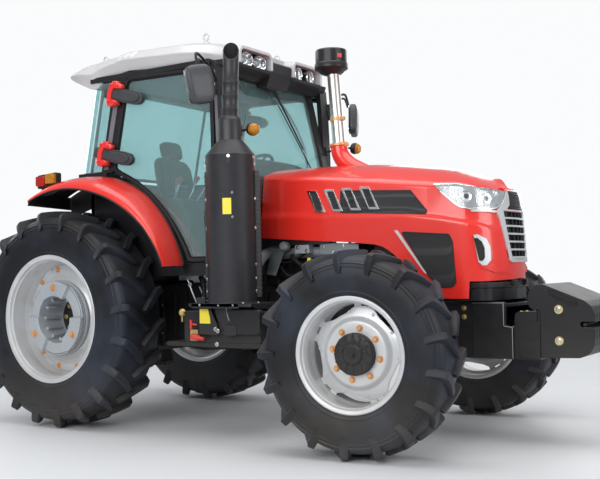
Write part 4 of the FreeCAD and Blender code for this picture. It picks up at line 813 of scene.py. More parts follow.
def hoodSurface():
    # half of the wall and top as one grid, sunk along its normals for the inner skin, then mirrored
    s = np.unique(np.concatenate([np.linspace(0, noseReach, 190), (1.680, 1.684, 1.688)]))
    w = np.concatenate([np.linspace(0, 0.5, 12, endpoint=False), np.linspace(0.5, 0.8, 22, endpoint=False), np.linspace(0.8, 1, 12)])
    low = along(hoodLow, s)[:, None]
    high = along(hoodShoulder, s)[:, None]
    wall = hoodWall(np.broadcast_to(s[:, None], (len(s), len(w))), low + (high - low) * w[None])
    edge = wall[:, -1]
    v = np.linspace(0, 1, 19)[1:]
    ridgeX = np.where(s < 1.5, edge[:, 0], np.interp(s, (1.5, noseReach), (edge[np.searchsorted(s, 1.5), 0], 3.365)))
    ridge = np.stack([ridgeX, 0 * s, along(hoodCrown, s)], -1)
    rise = 1 - (1 - v[None]) ** np.interp(s, (1.55, 2.02), (2.1, 1.55))[:, None]
    top = edge[:, None] + (ridge - edge)[:, None] * v[None, :, None]
    top[:, :, 2] = edge[:, None, 2] + (ridge - edge)[:, None, 2] * rise
    outer = np.concatenate([wall, top], 1)
    normal = np.cross(np.gradient(outer, axis=0), np.gradient(outer, axis=1))
    normal /= np.maximum(np.linalg.norm(normal, axis=2), 1e-9)[:, :, None]
    normal[:, -1, 1] = 0
    normal[-1, :, 1] = 0
    if normal[5, 5, 1] > 0:
        normal = -normal
    inner = outer - 0.014 * normal
    inner[:, -1, 1] = 0
    inner[-1, :, 1] = 0
    inner[-1, :, 0] = np.minimum(inner[-1, :, 0], outer[-1, :, 0] - 0.012)
    rows, columns = outer.shape[:2]
    middle = (outer[:-1, :-1] + outer[1:, 1:]) / 2
    open_ = (s[:-1, None] > noseReach - 0.166) & (middle[:, :, 2] > 1.262) & (middle[:, :, 2] < 1.598)
    open_[:, len(w) - 1:] = False
    keep = ~open_.reshape(-1)
    quads = np.array(gridFaces(rows, columns))
    faces = quads[keep].tolist()
    faces += (quads[keep] + rows * columns)[:, ::-1].tolist()
    count = rows * columns
    faces += [[j, j + 1, count + j + 1, count + j] for j in range(columns - 1)]
    faces += [[i * columns, (i + 1) * columns, count + (i + 1) * columns, count + i * columns] for i in range(rows - 1)]
    # sides of the grille opening
    i0, j0 = (np.where(open_.any(axis))[0].min() for axis in (1, 0))
    j1 = np.where(open_.any(0))[0].max() + 1
    faces += [[i0 * columns + j, i0 * columns + j + 1, count + i0 * columns + j + 1, count + i0 * columns + j] for j in range(j0, j1)]
    for j in (j0, j1):
        faces += [[i * columns + j, (i + 1) * columns + j, count + (i + 1) * columns + j, count + i * columns + j]
                  for i in range(i0, rows - 1)]
    half = np.concatenate([outer.reshape(-1, 3), inner.reshape(-1, 3)]), faces
    return pile(half, moved(half, scale=(1, -1, 1)))


def sideReach(x):
    # reach along the plan curve of a point on the right side wall
    front = planCurve[:len(planCurve) // 2 + 1]
    return np.interp(x, front[:, 0], planReach[:len(front)])


def noseReachAt(y):
    # reach of a point on the nose by its distance from the middle
    front = planCurve[:len(planCurve) // 2 + 1][::-1]
    return np.interp(np.abs(y), front[:, 1], planReach[:len(front)][::-1])


def wallPanel(outline, out=0.004, thick=0.008, columns=40, rows=5):
    # panel on the wall: columns at reach s between the outline's lower and upper edge
    p = np.asarray(outline, float)
    q = np.roll(p, -1, 0)
    s = np.linspace(p[:, 0].min() + 1e-4, p[:, 0].max() - 1e-4, columns)
    crossing = (np.minimum(p[:, 0], q[:, 0])[None] <= s[:, None]) & (np.maximum(p[:, 0], q[:, 0])[None] >= s[:, None])
    run = np.where(np.abs(q[:, 0] - p[:, 0]) < 1e-9, 1e-9, q[:, 0] - p[:, 0])
    z = p[None, :, 1] + (s[:, None] - p[None, :, 0]) / run[None] * (q - p)[None, :, 1]
    z = np.clip(z, np.minimum(p[:, 1], q[:, 1])[None], np.maximum(p[:, 1], q[:, 1])[None])
    low = np.where(crossing, z, 99).min(1)
    high = np.where(crossing, z, -99).max(1)
    t = np.linspace(0, 1, rows)
    grid = hoodWall(np.broadcast_to(s[:, None], (columns, rows)), low[:, None] + (high - low)[:, None] * t[None], out)
    back = hoodWall(np.broadcast_to(s[:, None], (columns, rows)), low[:, None] + (high - low)[:, None] * t[None], out - thick)
    loop = np.concatenate([grid, back[:, ::-1]], 1)
    faces = gridFaces(columns, 2 * rows, False, True)
    for row in (0, columns - 1):
        base = row * 2 * rows
        faces += [[base + j, base + j + 1, base + 2 * rows - 2 - j, base + 2 * rows - 1 - j] for j in range(rows - 1)]
    return loop.reshape(-1, 3), faces


def wallFrame(outer, inner, out=0.010, thick=0.016):
    # frame between two outlines of (reach, height) with the same number of points
    outer = np.asarray(outer, float)
    inner = np.asarray(inner, float)
    loops = [hoodWall(outer[:, 0], outer[:, 1], out - thick), hoodWall(outer[:, 0], outer[:, 1], out),
             hoodWall(inner[:, 0], inner[:, 1], out), hoodWall(inner[:, 0], inner[:, 1], out - thick)]
    return np.concatenate(loops), gridFaces(4, len(outer), True, True)


def bothSides(part):
    return pile(part, moved(part, scale=(1, -1, 1)))


def onSide(points):
    return [(float(sideReach(x)), z) for x, z in points]


def onNose(points):
    return [(float(noseReachAt(y)), z) for y, z in points]


makePiece("hoodShell", hoodSurface(), "hood", materials["redPaint"], ("hood_shell",), sharp=42)

upperMesh = roundCorners(onSide([(2.30, 1.797), (2.872, 1.765), (3.003, 1.612), (2.985, 1.588), (2.30, 1.630)]), 0.012)
lowerMesh = roundCorners(onSide([(2.795, 1.476), (3.166, 1.446), (3.190, 1.396), (3.206, 1.108), (3.176, 1.079), (3.085, 1.074),
                                 (3.004, 1.150)]), 0.018)
meshPanels = pile(wallPanel(upperMesh, 0.003), wallPanel(lowerMesh, 0.003))
makePiece("hoodMeshes", bothSides(meshPanels), "hood", materials["screenMesh"], ("hood_meshes",))
meshRims = []
for outline in (upperMesh, lowerMesh):
    middle = outline.mean(0)
    inner = middle + (outline - middle) * (1 - 0.012 / np.linalg.norm(outline - middle, axis=1))[:, None]
    meshRims.append(wallFrame(outline, inner, 0.0055, 0.008))
makePiece("hoodMeshRims", bothSides(pile(*meshRims)), "hood", materials["blackPlastic"])
strip = onSide([(2.748, 1.484), (2.774, 1.484), (2.990, 1.176), (2.973, 1.176)])
makePiece("hoodStrips", bothSides(wallPanel(strip, 0.006)), "hood", materials["rimPaint"])

# four plain slanted bars, each a bright frame round a dark field
ornamentBars = []
ornamentFields = []
for number in range(4):
    x = 2.005 + 0.150 * number
    bar = np.array(onSide([(x, 1.812), (x + 0.086, 1.808), (x + 0.176, 1.640), (x + 0.090, 1.644)]))
    middle = bar.mean(0)
    field = middle + (bar - middle) * (0.66, 0.80)
    ornamentBars.append(wallFrame(roundCorners(bar, 0.006), roundCorners(field, 0.004), 0.010, 0.016))
    ornamentFields.append(wallPanel(roundCorners(middle + (bar - middle) * 0.9, 0.004), 0.003, 0.008, 24))
makePiece("ornamentBars", bothSides(pile(*ornamentBars)), "hood", materials["chrome"], bevel=0.0015)
makePiece("ornamentFields", bothSides(pile(*ornamentFields)), "hood", materials["blackPlastic"])

# grille: a silver frame that narrows downwards, six openings between bright bars, a dark plain block above
def mirrorNose(points):
    # outline given for the right half of the nose, closed round through the left half
    right = np.array(onNose(points))
    left = right[::-1].copy()
    left[:, 0] = 2 * noseReach - left[:, 0]
    return np.concatenate([right, left])


stile = onNose([(0.262, 1.604), (0.233, 1.560), (0.166, 1.262), (0.148, 1.246)])
frameOuter = mirrorNose([(0.118, 1.742), (0.150, 1.690), (0.190, 1.645), (0.235, 1.607), (0.252, 1.590), (0.228, 1.545),
                         (0.163, 1.258), (0.148, 1.243)])
frameInner = mirrorNose([(0.094, 1.738), (0.100, 1.700), (0.106, 1.640), (0.150, 1.606), (0.186, 1.600), (0.184, 1.572),
                         (0.140, 1.276), (0.134, 1.270)])
makePiece("grilleFrame", wallFrame(frameOuter, frameInner, 0.016, 0.030), "hood", materials["rimPaint"],
          ("grille",), bevel=0.003)
bars = []
for number in range(7):
    z = 1.604 - number * 0.0545
    reach = np.interp(z, (1.27, 1.60), (0.138, 0.187))
    bars.append(wallPanel(mirrorNose([(reach, z + 0.0065), (reach, z - 0.0065)]), 0.012, 0.045, 40, 3))
posts = [wallPanel([(noseReach + y - 0.006, 1.600), (noseReach + y + 0.006, 1.600), (noseReach + y + 0.006, 1.275),
                    (noseReach + y - 0.006, 1.275)], 0.002, 0.02, 4, 12) for y in (-0.07, 0.0, 0.07)]
makePiece("grilleBars", pile(*bars), "hood", materials["rimPaint"], bevel=0.002)
makePiece("grillePosts", pile(*posts), "hood", materials["blackPlastic"], bevel=0.001)
cheeks = [wallPanel([(noseReach + side * 0.140, 1.275), (noseReach + side * 0.140, 1.604), (noseReach + side * 0.196, 1.604), (noseReach + side * 0.178, 1.275)], 0.004, 0.044, 8, 8)
          for _, side in sides]
makePiece("grilleBack", pile(wallPanel(mirrorNose([(0.21, 1.615), (0.155, 1.255)]), -0.035, 0.006, 40, 8), *cheeks), "hood",
          materials["screenMesh"])
brow = mirrorNose([(0.150, 1.762), (0.128, 1.742)])
makePiece("hoodBrow", wallPanel(brow, 0.018, 0.034, 40, 4), "hood", materials["redPaint"], bevel=0.005)
badge = mirrorNose([(0.096, 1.738), (0.104, 1.642), (0.104, 1.606)])
makePiece("badgeBlock", wallPanel(badge, 0.010, 0.020, 40, 6), "hood", materials["blackPlastic"], bevel=0.003)
ribs = [wallPanel(mirrorNose([(0.088, z + 0.003), (0.088, z - 0.003)]), 0.0135, 0.006, 30, 3) for z in (1.622, 1.640, 1.704, 1.722)]
makePiece("badgeRibs", pile(*ribs), "hood", materials["charcoal"])
print("hood built")

# headlights: a bright bowl, two round lenses and a clear cover, over a silver trim strip
lampOutline = [(float(sideReach(3.045)), 1.797), (float(sideReach(3.10)), 1.797), (1.62, 1.790), (1.74, 1.768),
               (1.84, 1.755), (1.95, 1.744)] + onNose([(0.118, 1.737), (0.140, 1.692), (0.185, 1.648), (0.240, 1.614),
               (0.300, 1.604), (0.344, 1.612), (0.385, 1.614), (0.405, 1.606)]) + [(1.64, 1.628), (1.605, 1.652)] + \
              onSide([(3.146, 1.702), (3.095, 1.746)])
lampOutline = np.array(lampOutline)
lampMiddle = lampOutline.mean(0)
makePiece("lampBowls", bothSides(wallPanel(lampOutline, 0.002, 0.020, 70, 10)), "hood", materials["lampWhite"],
          ("headlights",))
rimInner = lampMiddle + (lampOutline - lampMiddle) * (0.975, 0.93)
makePiece("lampRims", bothSides(wallFrame(lampOutline, rimInner, 0.0095, 0.012)), "hood", materials["chrome"])
glassPanel = wallPanel(lampMiddle + (lampOutline - lampMiddle) * 0.985, 0.0105, 0.003, 70, 10)
makePiece("lampCovers", bothSides(glassPanel), "hood", materials["lampGlass"])


def wallNormal(s, z):
    # cross product of the two directions along the wall
    here = hoodWall(s, z)
    alongS = hoodWall(s + 0.004, z) - here
    alongZ = hoodWall(s, z + 0.004) - here
    normal = np.cross(alongS, alongZ)
    return here, normal / np.linalg.norm(normal)


lenses = []
lensRings = []
for s, z, radius in ((1.690, 1.698, 0.040), (1.840, 1.682, 0.040)):
    here, normal = wallNormal(s, z)
    lensRings.append(lathe([(0.0, 0.0), (0.0, radius), (0.0075, radius), (0.008, radius * 0.95), (0.004, radius * 0.88), (0.0012, radius * 0.4), (0.001, 0.0)],
                           here, normal, 40))
    dome = [(0.0014, 0.0), (0.0014, radius * 0.46), (0.005, radius * 0.42), (0.0075, radius * 0.24), (0.0082, 0.0)]
    lenses.append(lathe(dome, here, normal, 40))
makePiece("lampRings", bothSides(pile(*lensRings)), "hood", materials["chrome"])
makePiece("lampLenses", bothSides(pile(*lenses)), "hood", materials["charcoal"])
vanes = []
for s, low, high in ((1.575, 1.700, 1.772), (1.595, 1.690, 1.770), (1.615, 1.680, 1.768), (1.752, 1.632, 1.752), (1.764, 1.632, 1.750), (1.776, 1.630, 1.749),
                     (1.788, 1.628, 1.748), (1.905, 1.640, 1.738), (1.920, 1.640, 1.736), (1.935, 1.640, 1.734)):
    vanes.append(wallPanel([(s, high), (s + 0.004, high), (s + 0.010, low), (s + 0.006, low)], 0.0075, 0.006, 5, 8))
makePiece("lampVanes", bothSides(pile(*vanes)), "hood", materials["chrome"])
trim = onNose([(0.405, 1.601), (0.385, 1.612), (0.344, 1.609), (0.262, 1.600), (0.240, 1.590), (0.262, 1.584), (0.330, 1.590), (0.400, 1.590)])
makePiece("lampTrim", bothSides(wallPanel(trim, 0.014, 0.016, 50, 3)), "hood", materials["rimPaint"])

# day lamps: a silver bracket open to the rear, dark inside, with a fold of the chin below
dayOuter = onNose([(0.401, 1.432), (0.385, 1.436), (0.345, 1.405), (0.325, 1.350), (0.325, 1.260), (0.350, 1.226), (0.371, 1.224), (0.386, 1.248)])
dayInner = onNose([(0.400, 1.410), (0.387, 1.412), (0.368, 1.386), (0.357, 1.342), (0.357, 1.280), (0.365, 1.260), (0.373, 1.254), (0.384, 1.258)])
makePiece("dayLampFrames", bothSides(wallFrame(dayOuter, dayInner, 0.014, 0.022)), "hood", materials["rimPaint"], bevel=0.0015)
dayField = onNose([(0.399, 1.416), (0.366, 1.394), (0.353, 1.344), (0.353, 1.272), (0.367, 1.248), (0.385, 1.254)])
makePiece("dayLampFields", bothSides(wallPanel(dayField, 0.004, 0.008, 20, 8)), "hood", materials["blackPlastic"])
chin = onNose([(0.380, 1.212), (0.345, 1.214), (0.300, 1.232), (0.170, 1.172), (0.300, 1.176)])
makePiece("chinFolds", bothSides(wallPanel(chin, 0.012, 0.014, 30, 4)), "hood", materials["redPaint"], bevel=0.004)
print("lamps built")
# Cab: flat pressings between outlines, drawn for the left side and mirrored

def inset(outline, distance):
    # every corner moves along its bisector: p + distance (n1 + n2) / (1 + n1.n2)
    p = np.asarray(outline, float)
    d = np.roll(p, -1, 0) - p
    d /= np.linalg.norm(d, axis=1)[:, None]
    area = (p[:, 0] * np.roll(p[:, 1], -1) - np.roll(p[:, 0], -1) * p[:, 1]).sum()
    n = np.stack([-d[:, 1], d[:, 0]], 1) * np.sign(area)
    before = np.roll(n, 1, 0)
    return p + distance * (n + before) / (1 + (n * before).sum(1))[:, None]


def eachSide(part):
    return [(name, side, moved(part, scale=(1, side, 1))) for name, side in sides]


roofSize = dict(rear=-0.175, front=1.425, rows=96, ribStart=0.47, ribPitch=0.068, ribHeight=0.007)
roofWide = np.array([(-0.175, 0.690), (-0.15, 0.740), (-0.09, 0.790), (0.02, 0.822), (0.16, 0.832), (1.20, 0.832), (1.30, 0.818),
                     (1.37, 0.785), (1.405, 0.740), (1.425, 0.690)])
roofLow = np.array([(-0.175, 2.868), (-0.10, 2.845), (0.0, 2.805), (0.10, 2.762), (0.17, 2.742), (0.21, 2.742), (0.278, 2.786),
                    (0.40, 2.826), (0.57, 2.848), (0.91, 2.823), (1.26, 2.800), (1.425, 2.800)])
roofTop = np.array([(-0.175, 2.890), (-0.14, 2.925), (-0.05, 2.968), (0.10, 3.005), (0.22, 3.018), (0.46, 3.028), (0.50, 3.040),
                    (0.75, 3.040), (1.10, 3.030), (1.32, 3.000), (1.425, 2.962)])
# half a section from the headliner round the lip to the crown: part of the width, in or out, part of the height, up
roofSection = np.array([
    (0.0, 0, 0, 0.030), (0.5, 0, 0, 0.030), (1, -0.100, 0, 0.028), (1, -0.092, 0, 0.004), (1, -0.060, 0, 0.0),
    (1, -0.042, 0, 0.003), (1, -0.004, 0.36, 0), (1, 0.005, 0.42, 0), (1, 0.004, 0.46, 0), (1, -0.006, 0.52, 0),
    (1, -0.062, 0.77, 0), (1, -0.072, 0.80, 0), (1, -0.086, 0.83, 0), (1, -0.205, 0.965, 0), (1, -0.230, 0.985, 0),
    (1, -0.262, 0.995, 0), (0.5, 0, 1, 0.004), (0.25, 0, 1, 0.010), (0, 0, 1, 0.012)])


def roofSurface():
    # rows of x, columns of the section's table: y = part width + offset, z = low + part height + offset
    ribs = roofSize["ribStart"] + roofSize["ribPitch"] * np.arange(3)
    x = np.unique(np.round(np.concatenate([np.linspace(roofSize["rear"], roofSize["front"], roofSize["rows"])]
                                          + [ribs + step for step in (-0.022, -0.016, 0.010, 0.034)]), 4))
    low, high, wide = along(roofLow, x)[:, None], along(roofTop, x)[:, None], along(roofWide, x)[:, None]
    part, out, share, up = roofSection.T[:, None]
    rib = np.zeros_like(x)
    for start in ribs:
        rib += np.interp(x, (start - 0.022, start - 0.016, start + 0.010, start + 0.034), (0, 1, 0.8, 0))
    lifted = np.where(share > 0.5, 1.0, 0.0) * rib[:, None] * roofSize["ribHeight"]
    y = part * wide + out + lifted * (share < 0.95)
    z = low + share * (high - low) + up + lifted
    grid = np.stack([np.broadcast_to(x[:, None], y.shape), np.maximum(y, 0), z], -1)
    rows, columns = y.shape
    caps = [list(range(columns))[::-1], list(range((rows - 1) * columns, rows * columns))]
    half = grid.reshape(-1, 3), gridFaces(rows, columns) + caps
    return bothSides(half)


makePiece("roofShell", roofSurface(), "chassis", materials["roofPaint"], ("roof",), sharp=26)

# visors: an arch of the roof's own colour over each pair of lamps, closed behind by a dark pod
visor = dict(rear=1.10, front=1.535, inner=0.150, outer=0.600, low=2.822, top=2.962, corner=0.062, wall=0.026)


def archAt(inner, outer, low, top, corner, steps=7):
    # up one side, round two corners and down the other, as (y, z)
    t = np.linspace(0, np.pi / 2, steps)
    turnIn = np.stack([inner + corner - corner * np.cos(t), top - corner + corner * np.sin(t)], 1)
    turnOut = np.stack([outer - corner + corner * np.sin(t), top - corner + corner * np.cos(t)], 1)
    return np.concatenate([[(inner, low)], turnIn, turnOut, [(outer, low)]])


def visorGrid(out):
    t = np.linspace(0, 1, 12)
    x = visor["rear"] + (visor["front"] - visor["rear"]) * t
    lift = np.interp(t, (0, 0.35, 0.85, 1), (0.045, 0.040, 0.006, 0))
    rows = [archAt(visor["inner"] - out, visor["outer"] + out, visor["low"], visor["top"] + up + out, visor["corner"] + out) for up in lift]
    return np.stack([np.concatenate([np.full((len(row), 1), at), row], 1) for at, row in zip(x, rows)])


outerArch, innerArch = visorGrid(0.0), visorGrid(-visor["wall"])
archCount = outerArch.shape[1]
archLoop = np.concatenate([outerArch, innerArch[:, ::-1]], 1)
visorPart = archLoop.reshape(-1, 3), gridFaces(12, 2 * archCount, False, True) + [
    [row * 2 * archCount + j, row * 2 * archCount + j + 1, row * 2 * archCount + 2 * archCount - 2 - j,
     row * 2 * archCount + 2 * archCount - 1 - j] for row in (0, 11) for j in range(archCount - 1)]
makePiece("roofVisors", bothSides(visorPart), "chassis", materials["roofPaint"], bevel=0.006)
podFace = roundCorners([(visor["inner"] + 0.014, 2.800), (visor["outer"] - 0.014, 2.800), (visor["outer"] - 0.014, 2.943),
                        (visor["inner"] + 0.014, 2.943)], 0.035)
pods = [slab(podFace, "yz", 1.42, 1.452)]
pods.append(slab([(1.36, 2.770), (1.455, 2.770), (1.512, 2.800), (1.516, 2.824), (1.36, 2.824)], "xz", 0.145, 0.605))
bowls, lampDiscs, lampFaces, podBolts = [], [], [], []
lampTurn = turnAbout((0, 0, 1), 10) @ turnAbout((0, 1, 0), 3)
for y in (0.275, 0.455):
    for profile, bin_ in (([(0, 0), (0, 0.058), (0.046, 0.062), (0.050, 0.058), (0.046, 0.053), (0.004, 0.036), (0.004, 0)], bowls),
                          ([(0.005, 0), (0.005, 0.022), (0.024, 0.018), (0.028, 0.008), (0.028, 0)], lampDiscs),
                          ([(0.040, 0), (0.040, 0.0545), (0.045, 0.0545), (0.052, 0.036), (0.054, 0)], lampFaces)):
        bin_.append(moved(lathe(profile, (0, 0, 0), (1, 0, 0), 36), (1.450, y, 2.872), lampTurn, (1, 1.22, 0.98)))
    podBolts.append(boltsAt([(1.488, y - 0.045, 2.800), (1.488, y + 0.045, 2.800)], (1, 0, -0.6), 0.008))
makePiece("lampPods", bothSides(pile(*pods)), "chassis", materials["blackPlastic"], ("roof_lamps",), bevel=0.004)
makePiece("workLampBowls", bothSides(pile(*bowls)), "chassis", materials["chrome"])
makePiece("workLampBulbs", bothSides(pile(*lampDiscs)), "chassis", materials["lampWhite"])
makePiece("workLampFaces", bothSides(pile(*lampFaces)), "chassis", materials["lampGlass"])
makePiece("workLampBolts", bothSides(pile(*podBolts)), "chassis", materials["brightSteel"])
fascia = [(1.37, 2.835), (1.37, 2.715), (1.462, 2.705), (1.512, 2.818), (1.518, 2.895), (1.490, 2.912)]
makePiece("roofFascia", slab(roundCorners(fascia, 0.012), "xz", -0.147, 0.147), "chassis", materials["charcoal"], bevel=0.005)
header = [slab([(1.33, 2.832), (1.33, 2.742), (1.40, 2.742), (1.475, 2.790), (1.49, 2.832)], "xz", -0.74, 0.74)]
header.append(slab([(0.055, 2.832), (0.135, 2.752), (0.235, 2.760), (0.235, 2.832)], "xz", -0.74, 0.74))
makePiece("cabHeader", pile(*header), "chassis", materials["blackPlastic"], bevel=0.006)
t = np.linspace(0, 2 * np.pi, 24, endpoint=False)
eyes = []
for x, y, top in ((0.03, -0.5, 3.005), (1.13, -0.5, 3.040), (0.03, 0.5, 3.005), (1.13, 0.5, 3.040)):
    ring = np.stack([x + 0.026 * np.cos(t), y + 0 * t, top + 0.052 + 0.026 * np.sin(t)], 1)
    eyes.append(tube(np.concatenate([ring, ring[:1]]), 0.0075, 8, (0, 1, 0)))
    eyes.append(lathe([(-0.02, 0), (-0.02, 0.030), (0.010, 0.030), (0.014, 0.014), (0.030, 0.011), (0.030, 0)], (x, y, top), (0, 0, 1), 18))
makePiece("roofEyes", pile(*eyes), "chassis", materials["roofPaint"])
print("roof built")

# pressings of the frame: outline, inner and outer distance from the middle, corner radius
pressings = [
    ([(0.010, 1.190), (0.010, 2.045), (0.400, 2.000), (0.640, 1.900), (0.860, 1.710), (1.010, 1.500), (1.095, 1.300),
      (1.095, 1.190)], 0.650, 0.680, 0.02),
    ([(0.012, 2.005), (0.012, 2.047), (0.325, 2.047), (0.325, 2.005)], 0.650, 0.822, 0.006),
    ([(1.095, 1.190), (1.480, 1.190), (1.480, 1.290), (1.095, 1.290)], 0.640, 0.779, 0.012),
    ([(0.268, 2.035), (0.392, 2.035), (0.560, 2.805), (0.424, 2.805)], 0.762, 0.818, 0.008),
    ([(1.425, 1.285), (1.482, 1.285), (1.482, 2.215), (1.470, 2.545), (1.450, 2.805), (1.408, 2.805), (1.424, 2.500), (1.425, 2.200)],
     0.690, 0.800, 0.015),
    ([(1.530, 1.280), (1.588, 1.280), (1.588, 1.762), (1.348, 2.805), (1.285, 2.805), (1.530, 1.740)], 0.630, 0.697, 0.010),
    ([(0.158, 2.785), (1.405, 2.785), (1.405, 2.8297), (0.158, 2.8297)], 0.660, 0.820, 0.008)]
frameParts = [bothSides(slab(roundCorners(outline, radius), "xz", inner, outer)) for outline, inner, outer, radius in pressings]
frameParts.append(slab(roundCorners([(-0.68, 1.19), (0.68, 1.19), (0.68, 2.01), (-0.68, 2.01)], 0.03), "yz", 0.010, 0.050))
frameParts.append(slab(roundCorners([(-0.695, 1.19), (0.695, 1.19), (0.695, 1.75), (-0.695, 1.75)], 0.03), "yz", 1.530, 1.570))
makePiece("cabPressings", pile(*frameParts), "chassis", materials["satinBlack"], ("cab_frame",), bevel=0.004)
strips = [slab([(0.300, 2.062), (0.348, 2.062), (0.492, 2.700), (0.444, 2.700)], "xz", 0.816, 0.823),
          slab([(1.450, 1.32), (1.476, 1.32), (1.476, 2.215), (1.464, 2.545), (1.448, 2.74), (1.424, 2.74), (1.440, 2.5), (1.450, 2.2)], "xz", 0.799, 0.806)]
makePiece("pillarStrips", bothSides(pile(*strips)), "chassis", materials["pillarGrey"], bevel=0.002)
ribsRear = [slab(roundCorners([(y - 0.10, 1.30), (y + 0.10, 1.30), (y + 0.10, 1.92), (y - 0.10, 1.92)], 0.02), "yz", 0.004, 0.012)
            for y in (-0.5, -0.25, 0.0, 0.25, 0.5)]
makePiece("rearWallRibs", pile(*ribsRear), "chassis", materials["satinBlack"], bevel=0.003)

# doors: the outline follows the fender's crown below and the pillars elsewhere
door = dict(plane=0.820, thick=0.036, border=0.024, corner=0.055, glass=0.006)
crownAngle = np.radians([23.6, 29, 35, 41, 47, 53, 59, 65, 70, 75])
crownReach = np.array([1.092, 1.094, 1.098, 1.104, 1.114, 1.126, 1.141, 1.157, 1.170, 1.184])
doorOutline = np.concatenate([
    [(0.553, 2.790), (1.130, 2.780), (1.425, 2.745), (1.436, 2.470), (1.440, 2.200), (1.440, 1.300)],
    np.stack([0.170 + crownReach * np.cos(crownAngle), 0.860 + crownReach * np.sin(crownAngle)], 1), [(0.392, 2.052)]])
doorRadius = np.array([0.06, 0.3, 0.06, 0.20, 0.20, 0.05] + [0.03] * len(crownAngle) + [0.05])
outerDoor = roundCorners(doorOutline, doorRadius, 5)
innerDoor = roundCorners(inset(doorOutline, door["border"]), doorRadius * 0.9, 5)
glassDoor = roundCorners(inset(doorOutline, door["border"] - 0.004), doorRadius * 0.9, 5)
printLine = roundCorners(inset(doorOutline, door["border"] + 0.014), doorRadius * 0.85, 5)
hingeLine = np.array([(0.375, 0.862, 2.180), (0.492, 0.862, 2.655)])
hingeUp = (hingeLine[1] - hingeLine[0]) / np.linalg.norm(hingeLine[1] - hingeLine[0])
hingeTurn = np.stack([np.cross((0, 1, 0), hingeUp), (0, 1, 0), hingeUp], 1)
hingeCover = roundCorners([(-0.100, -0.040), (0.000, -0.052), (0.180, -0.056), (0.245, -0.046), (0.280, -0.016), (0.280, 0.018), (0.245, 0.046),
                           (0.180, 0.054), (0.000, 0.050), (-0.100, 0.038)], 0.030, 4)
coverRim = roundCorners([(-0.080, -0.026), (0.000, -0.036), (0.175, -0.040), (0.228, -0.030), (0.250, -0.008), (0.250, 0.012), (0.228, 0.030),
                         (0.175, 0.038), (0.000, 0.034), (-0.080, 0.024)], 0.020, 4)
for name, side, frame_ in eachSide(hoop(outerDoor, innerDoor, "xz", door["plane"] - door["thick"], door["plane"])):
    body = "door_" + name
    makePiece("doorFrame_" + name, frame_, body, materials["satinBlack"], ("door_frame_" + name,), bevel=0.004)
    middle = door["plane"] - door["thick"] / 2
    pane = moved(slab(glassDoor, "xz", middle - door["glass"] / 2, middle + door["glass"] / 2), scale=(1, side, 1))
    makePiece("doorGlass_" + name, pane, body, materials["cabGlass"], ("door_glass_" + name,))
    border = hoop(innerDoor, printLine, "xz", middle + 0.0035, middle + 0.008)
    seal = hoop(roundCorners(inset(doorOutline, -0.006), doorRadius, 5), roundCorners(inset(doorOutline, 0.012), doorRadius, 5),
                "xz", door["plane"] - 0.039, door["plane"] - 0.030)
    makePiece("doorSeals_" + name, moved(pile(border, seal), scale=(1, side, 1)), body, materials["sealRubber"], bevel=0.0015)
    covers, castings, knobs, plates = [], [], [], []
    for foot in hingeLine:
        cover = pile(slab(hingeCover, "xz", -0.040, 0.006), slab(coverRim, "xz", 0.004, 0.018))
        covers.append(moved(cover, foot, hingeTurn))
        plates.append(moved(pillow((-0.118, -0.022, 0), (0.040, 0.030, 0.046), (3, 3)), foot, hingeTurn))
        for end in (-1, 1):
            lean = 0.012 * end
            knobs.append(moved(pillow((-0.018 + lean, -0.004, 0.068 * end), (0.066, 0.034, 0.024), (3.2, 3)), foot, hingeTurn))
            knobs.append(moved(pillow((-0.030 + lean, 0.000, 0.088 * end), (0.036, 0.028, 0.018), (3, 3)), foot, hingeTurn))
            castings.append(moved(slab(roundCorners([(-0.085, 0.030 * end), (0.000, 0.030 * end), (0.020, 0.086 * end), (-0.070, 0.086 * end)], 0.012),
                                       "xz", -0.046, -0.012), foot, hingeTurn))
            for x in (-0.052, 0.022):
                castings.append(moved(boltsAt([(x, 0.028, 0.068 * end)], (0, 1, 0), 0.011), foot, hingeTurn))
        neck = slab(roundCorners([(-0.070, -0.062), (-0.022, -0.062), (-0.034, 0), (-0.012, 0.062), (-0.062, 0.062), (-0.074, 0)], 0.012), "xz", -0.040, 0.030)
        castings.append(moved(neck, foot, hingeTurn))
    makePiece("hingeCovers_" + name, moved(pile(*covers), scale=(1, side, 1)), body, materials["hingeGrey"], bevel=0.005)
    makePiece("hingeCastings_" + name, moved(pile(*castings, *knobs), scale=(1, side, 1)), "chassis", materials["redPaint"], bevel=0.003)
    makePiece("hingeCheeks_" + name, moved(pile(*plates), scale=(1, side, 1)), "chassis", materials["hingeGrey"])
    handle = [slab(roundCorners([(1.345, 1.560), (1.425, 1.560), (1.425, 1.700), (1.345, 1.700)], 0.022), "xz", 0.819, 0.832),
              tube(smoothPath([(1.385, 0.828, 1.580), (1.385, 0.850, 1.592), (1.385, 0.852, 1.668), (1.385, 0.828, 1.682)], 6), 0.008, 10, (1, 0, 0))]
    makePiece("doorHandle_" + name, moved(pile(*handle), scale=(1, side, 1)), body, materials["blackPlastic"], bevel=0.003)
print("doors built")

# fixed panes with their rubber: windscreen, quarter lights and the rear window
def leaningPane(low, high, half, across, thick=0.008):
    # pane between a lower and an upper line in x and z, as a prism across y
    low, high = np.asarray(low, float), np.asarray(high, float)
    lean = (high - low) / np.linalg.norm(high - low)
    side_ = np.array([lean[1], -lean[0]]) * thick / 2
    return slab([low - side_, low + side_, high + side_, high - side_], "xz", -half, half) if across else None


# the quarter light bends round the rear corner: plan points lifted along the slant of the cab's rear line
quarterPlan = np.array([(0.262, 0.779), (0.150, 0.779), (0.060, 0.778), (0.034, 0.772), (0.016, 0.756), (0.006, 0.732), (0.002, 0.700)])


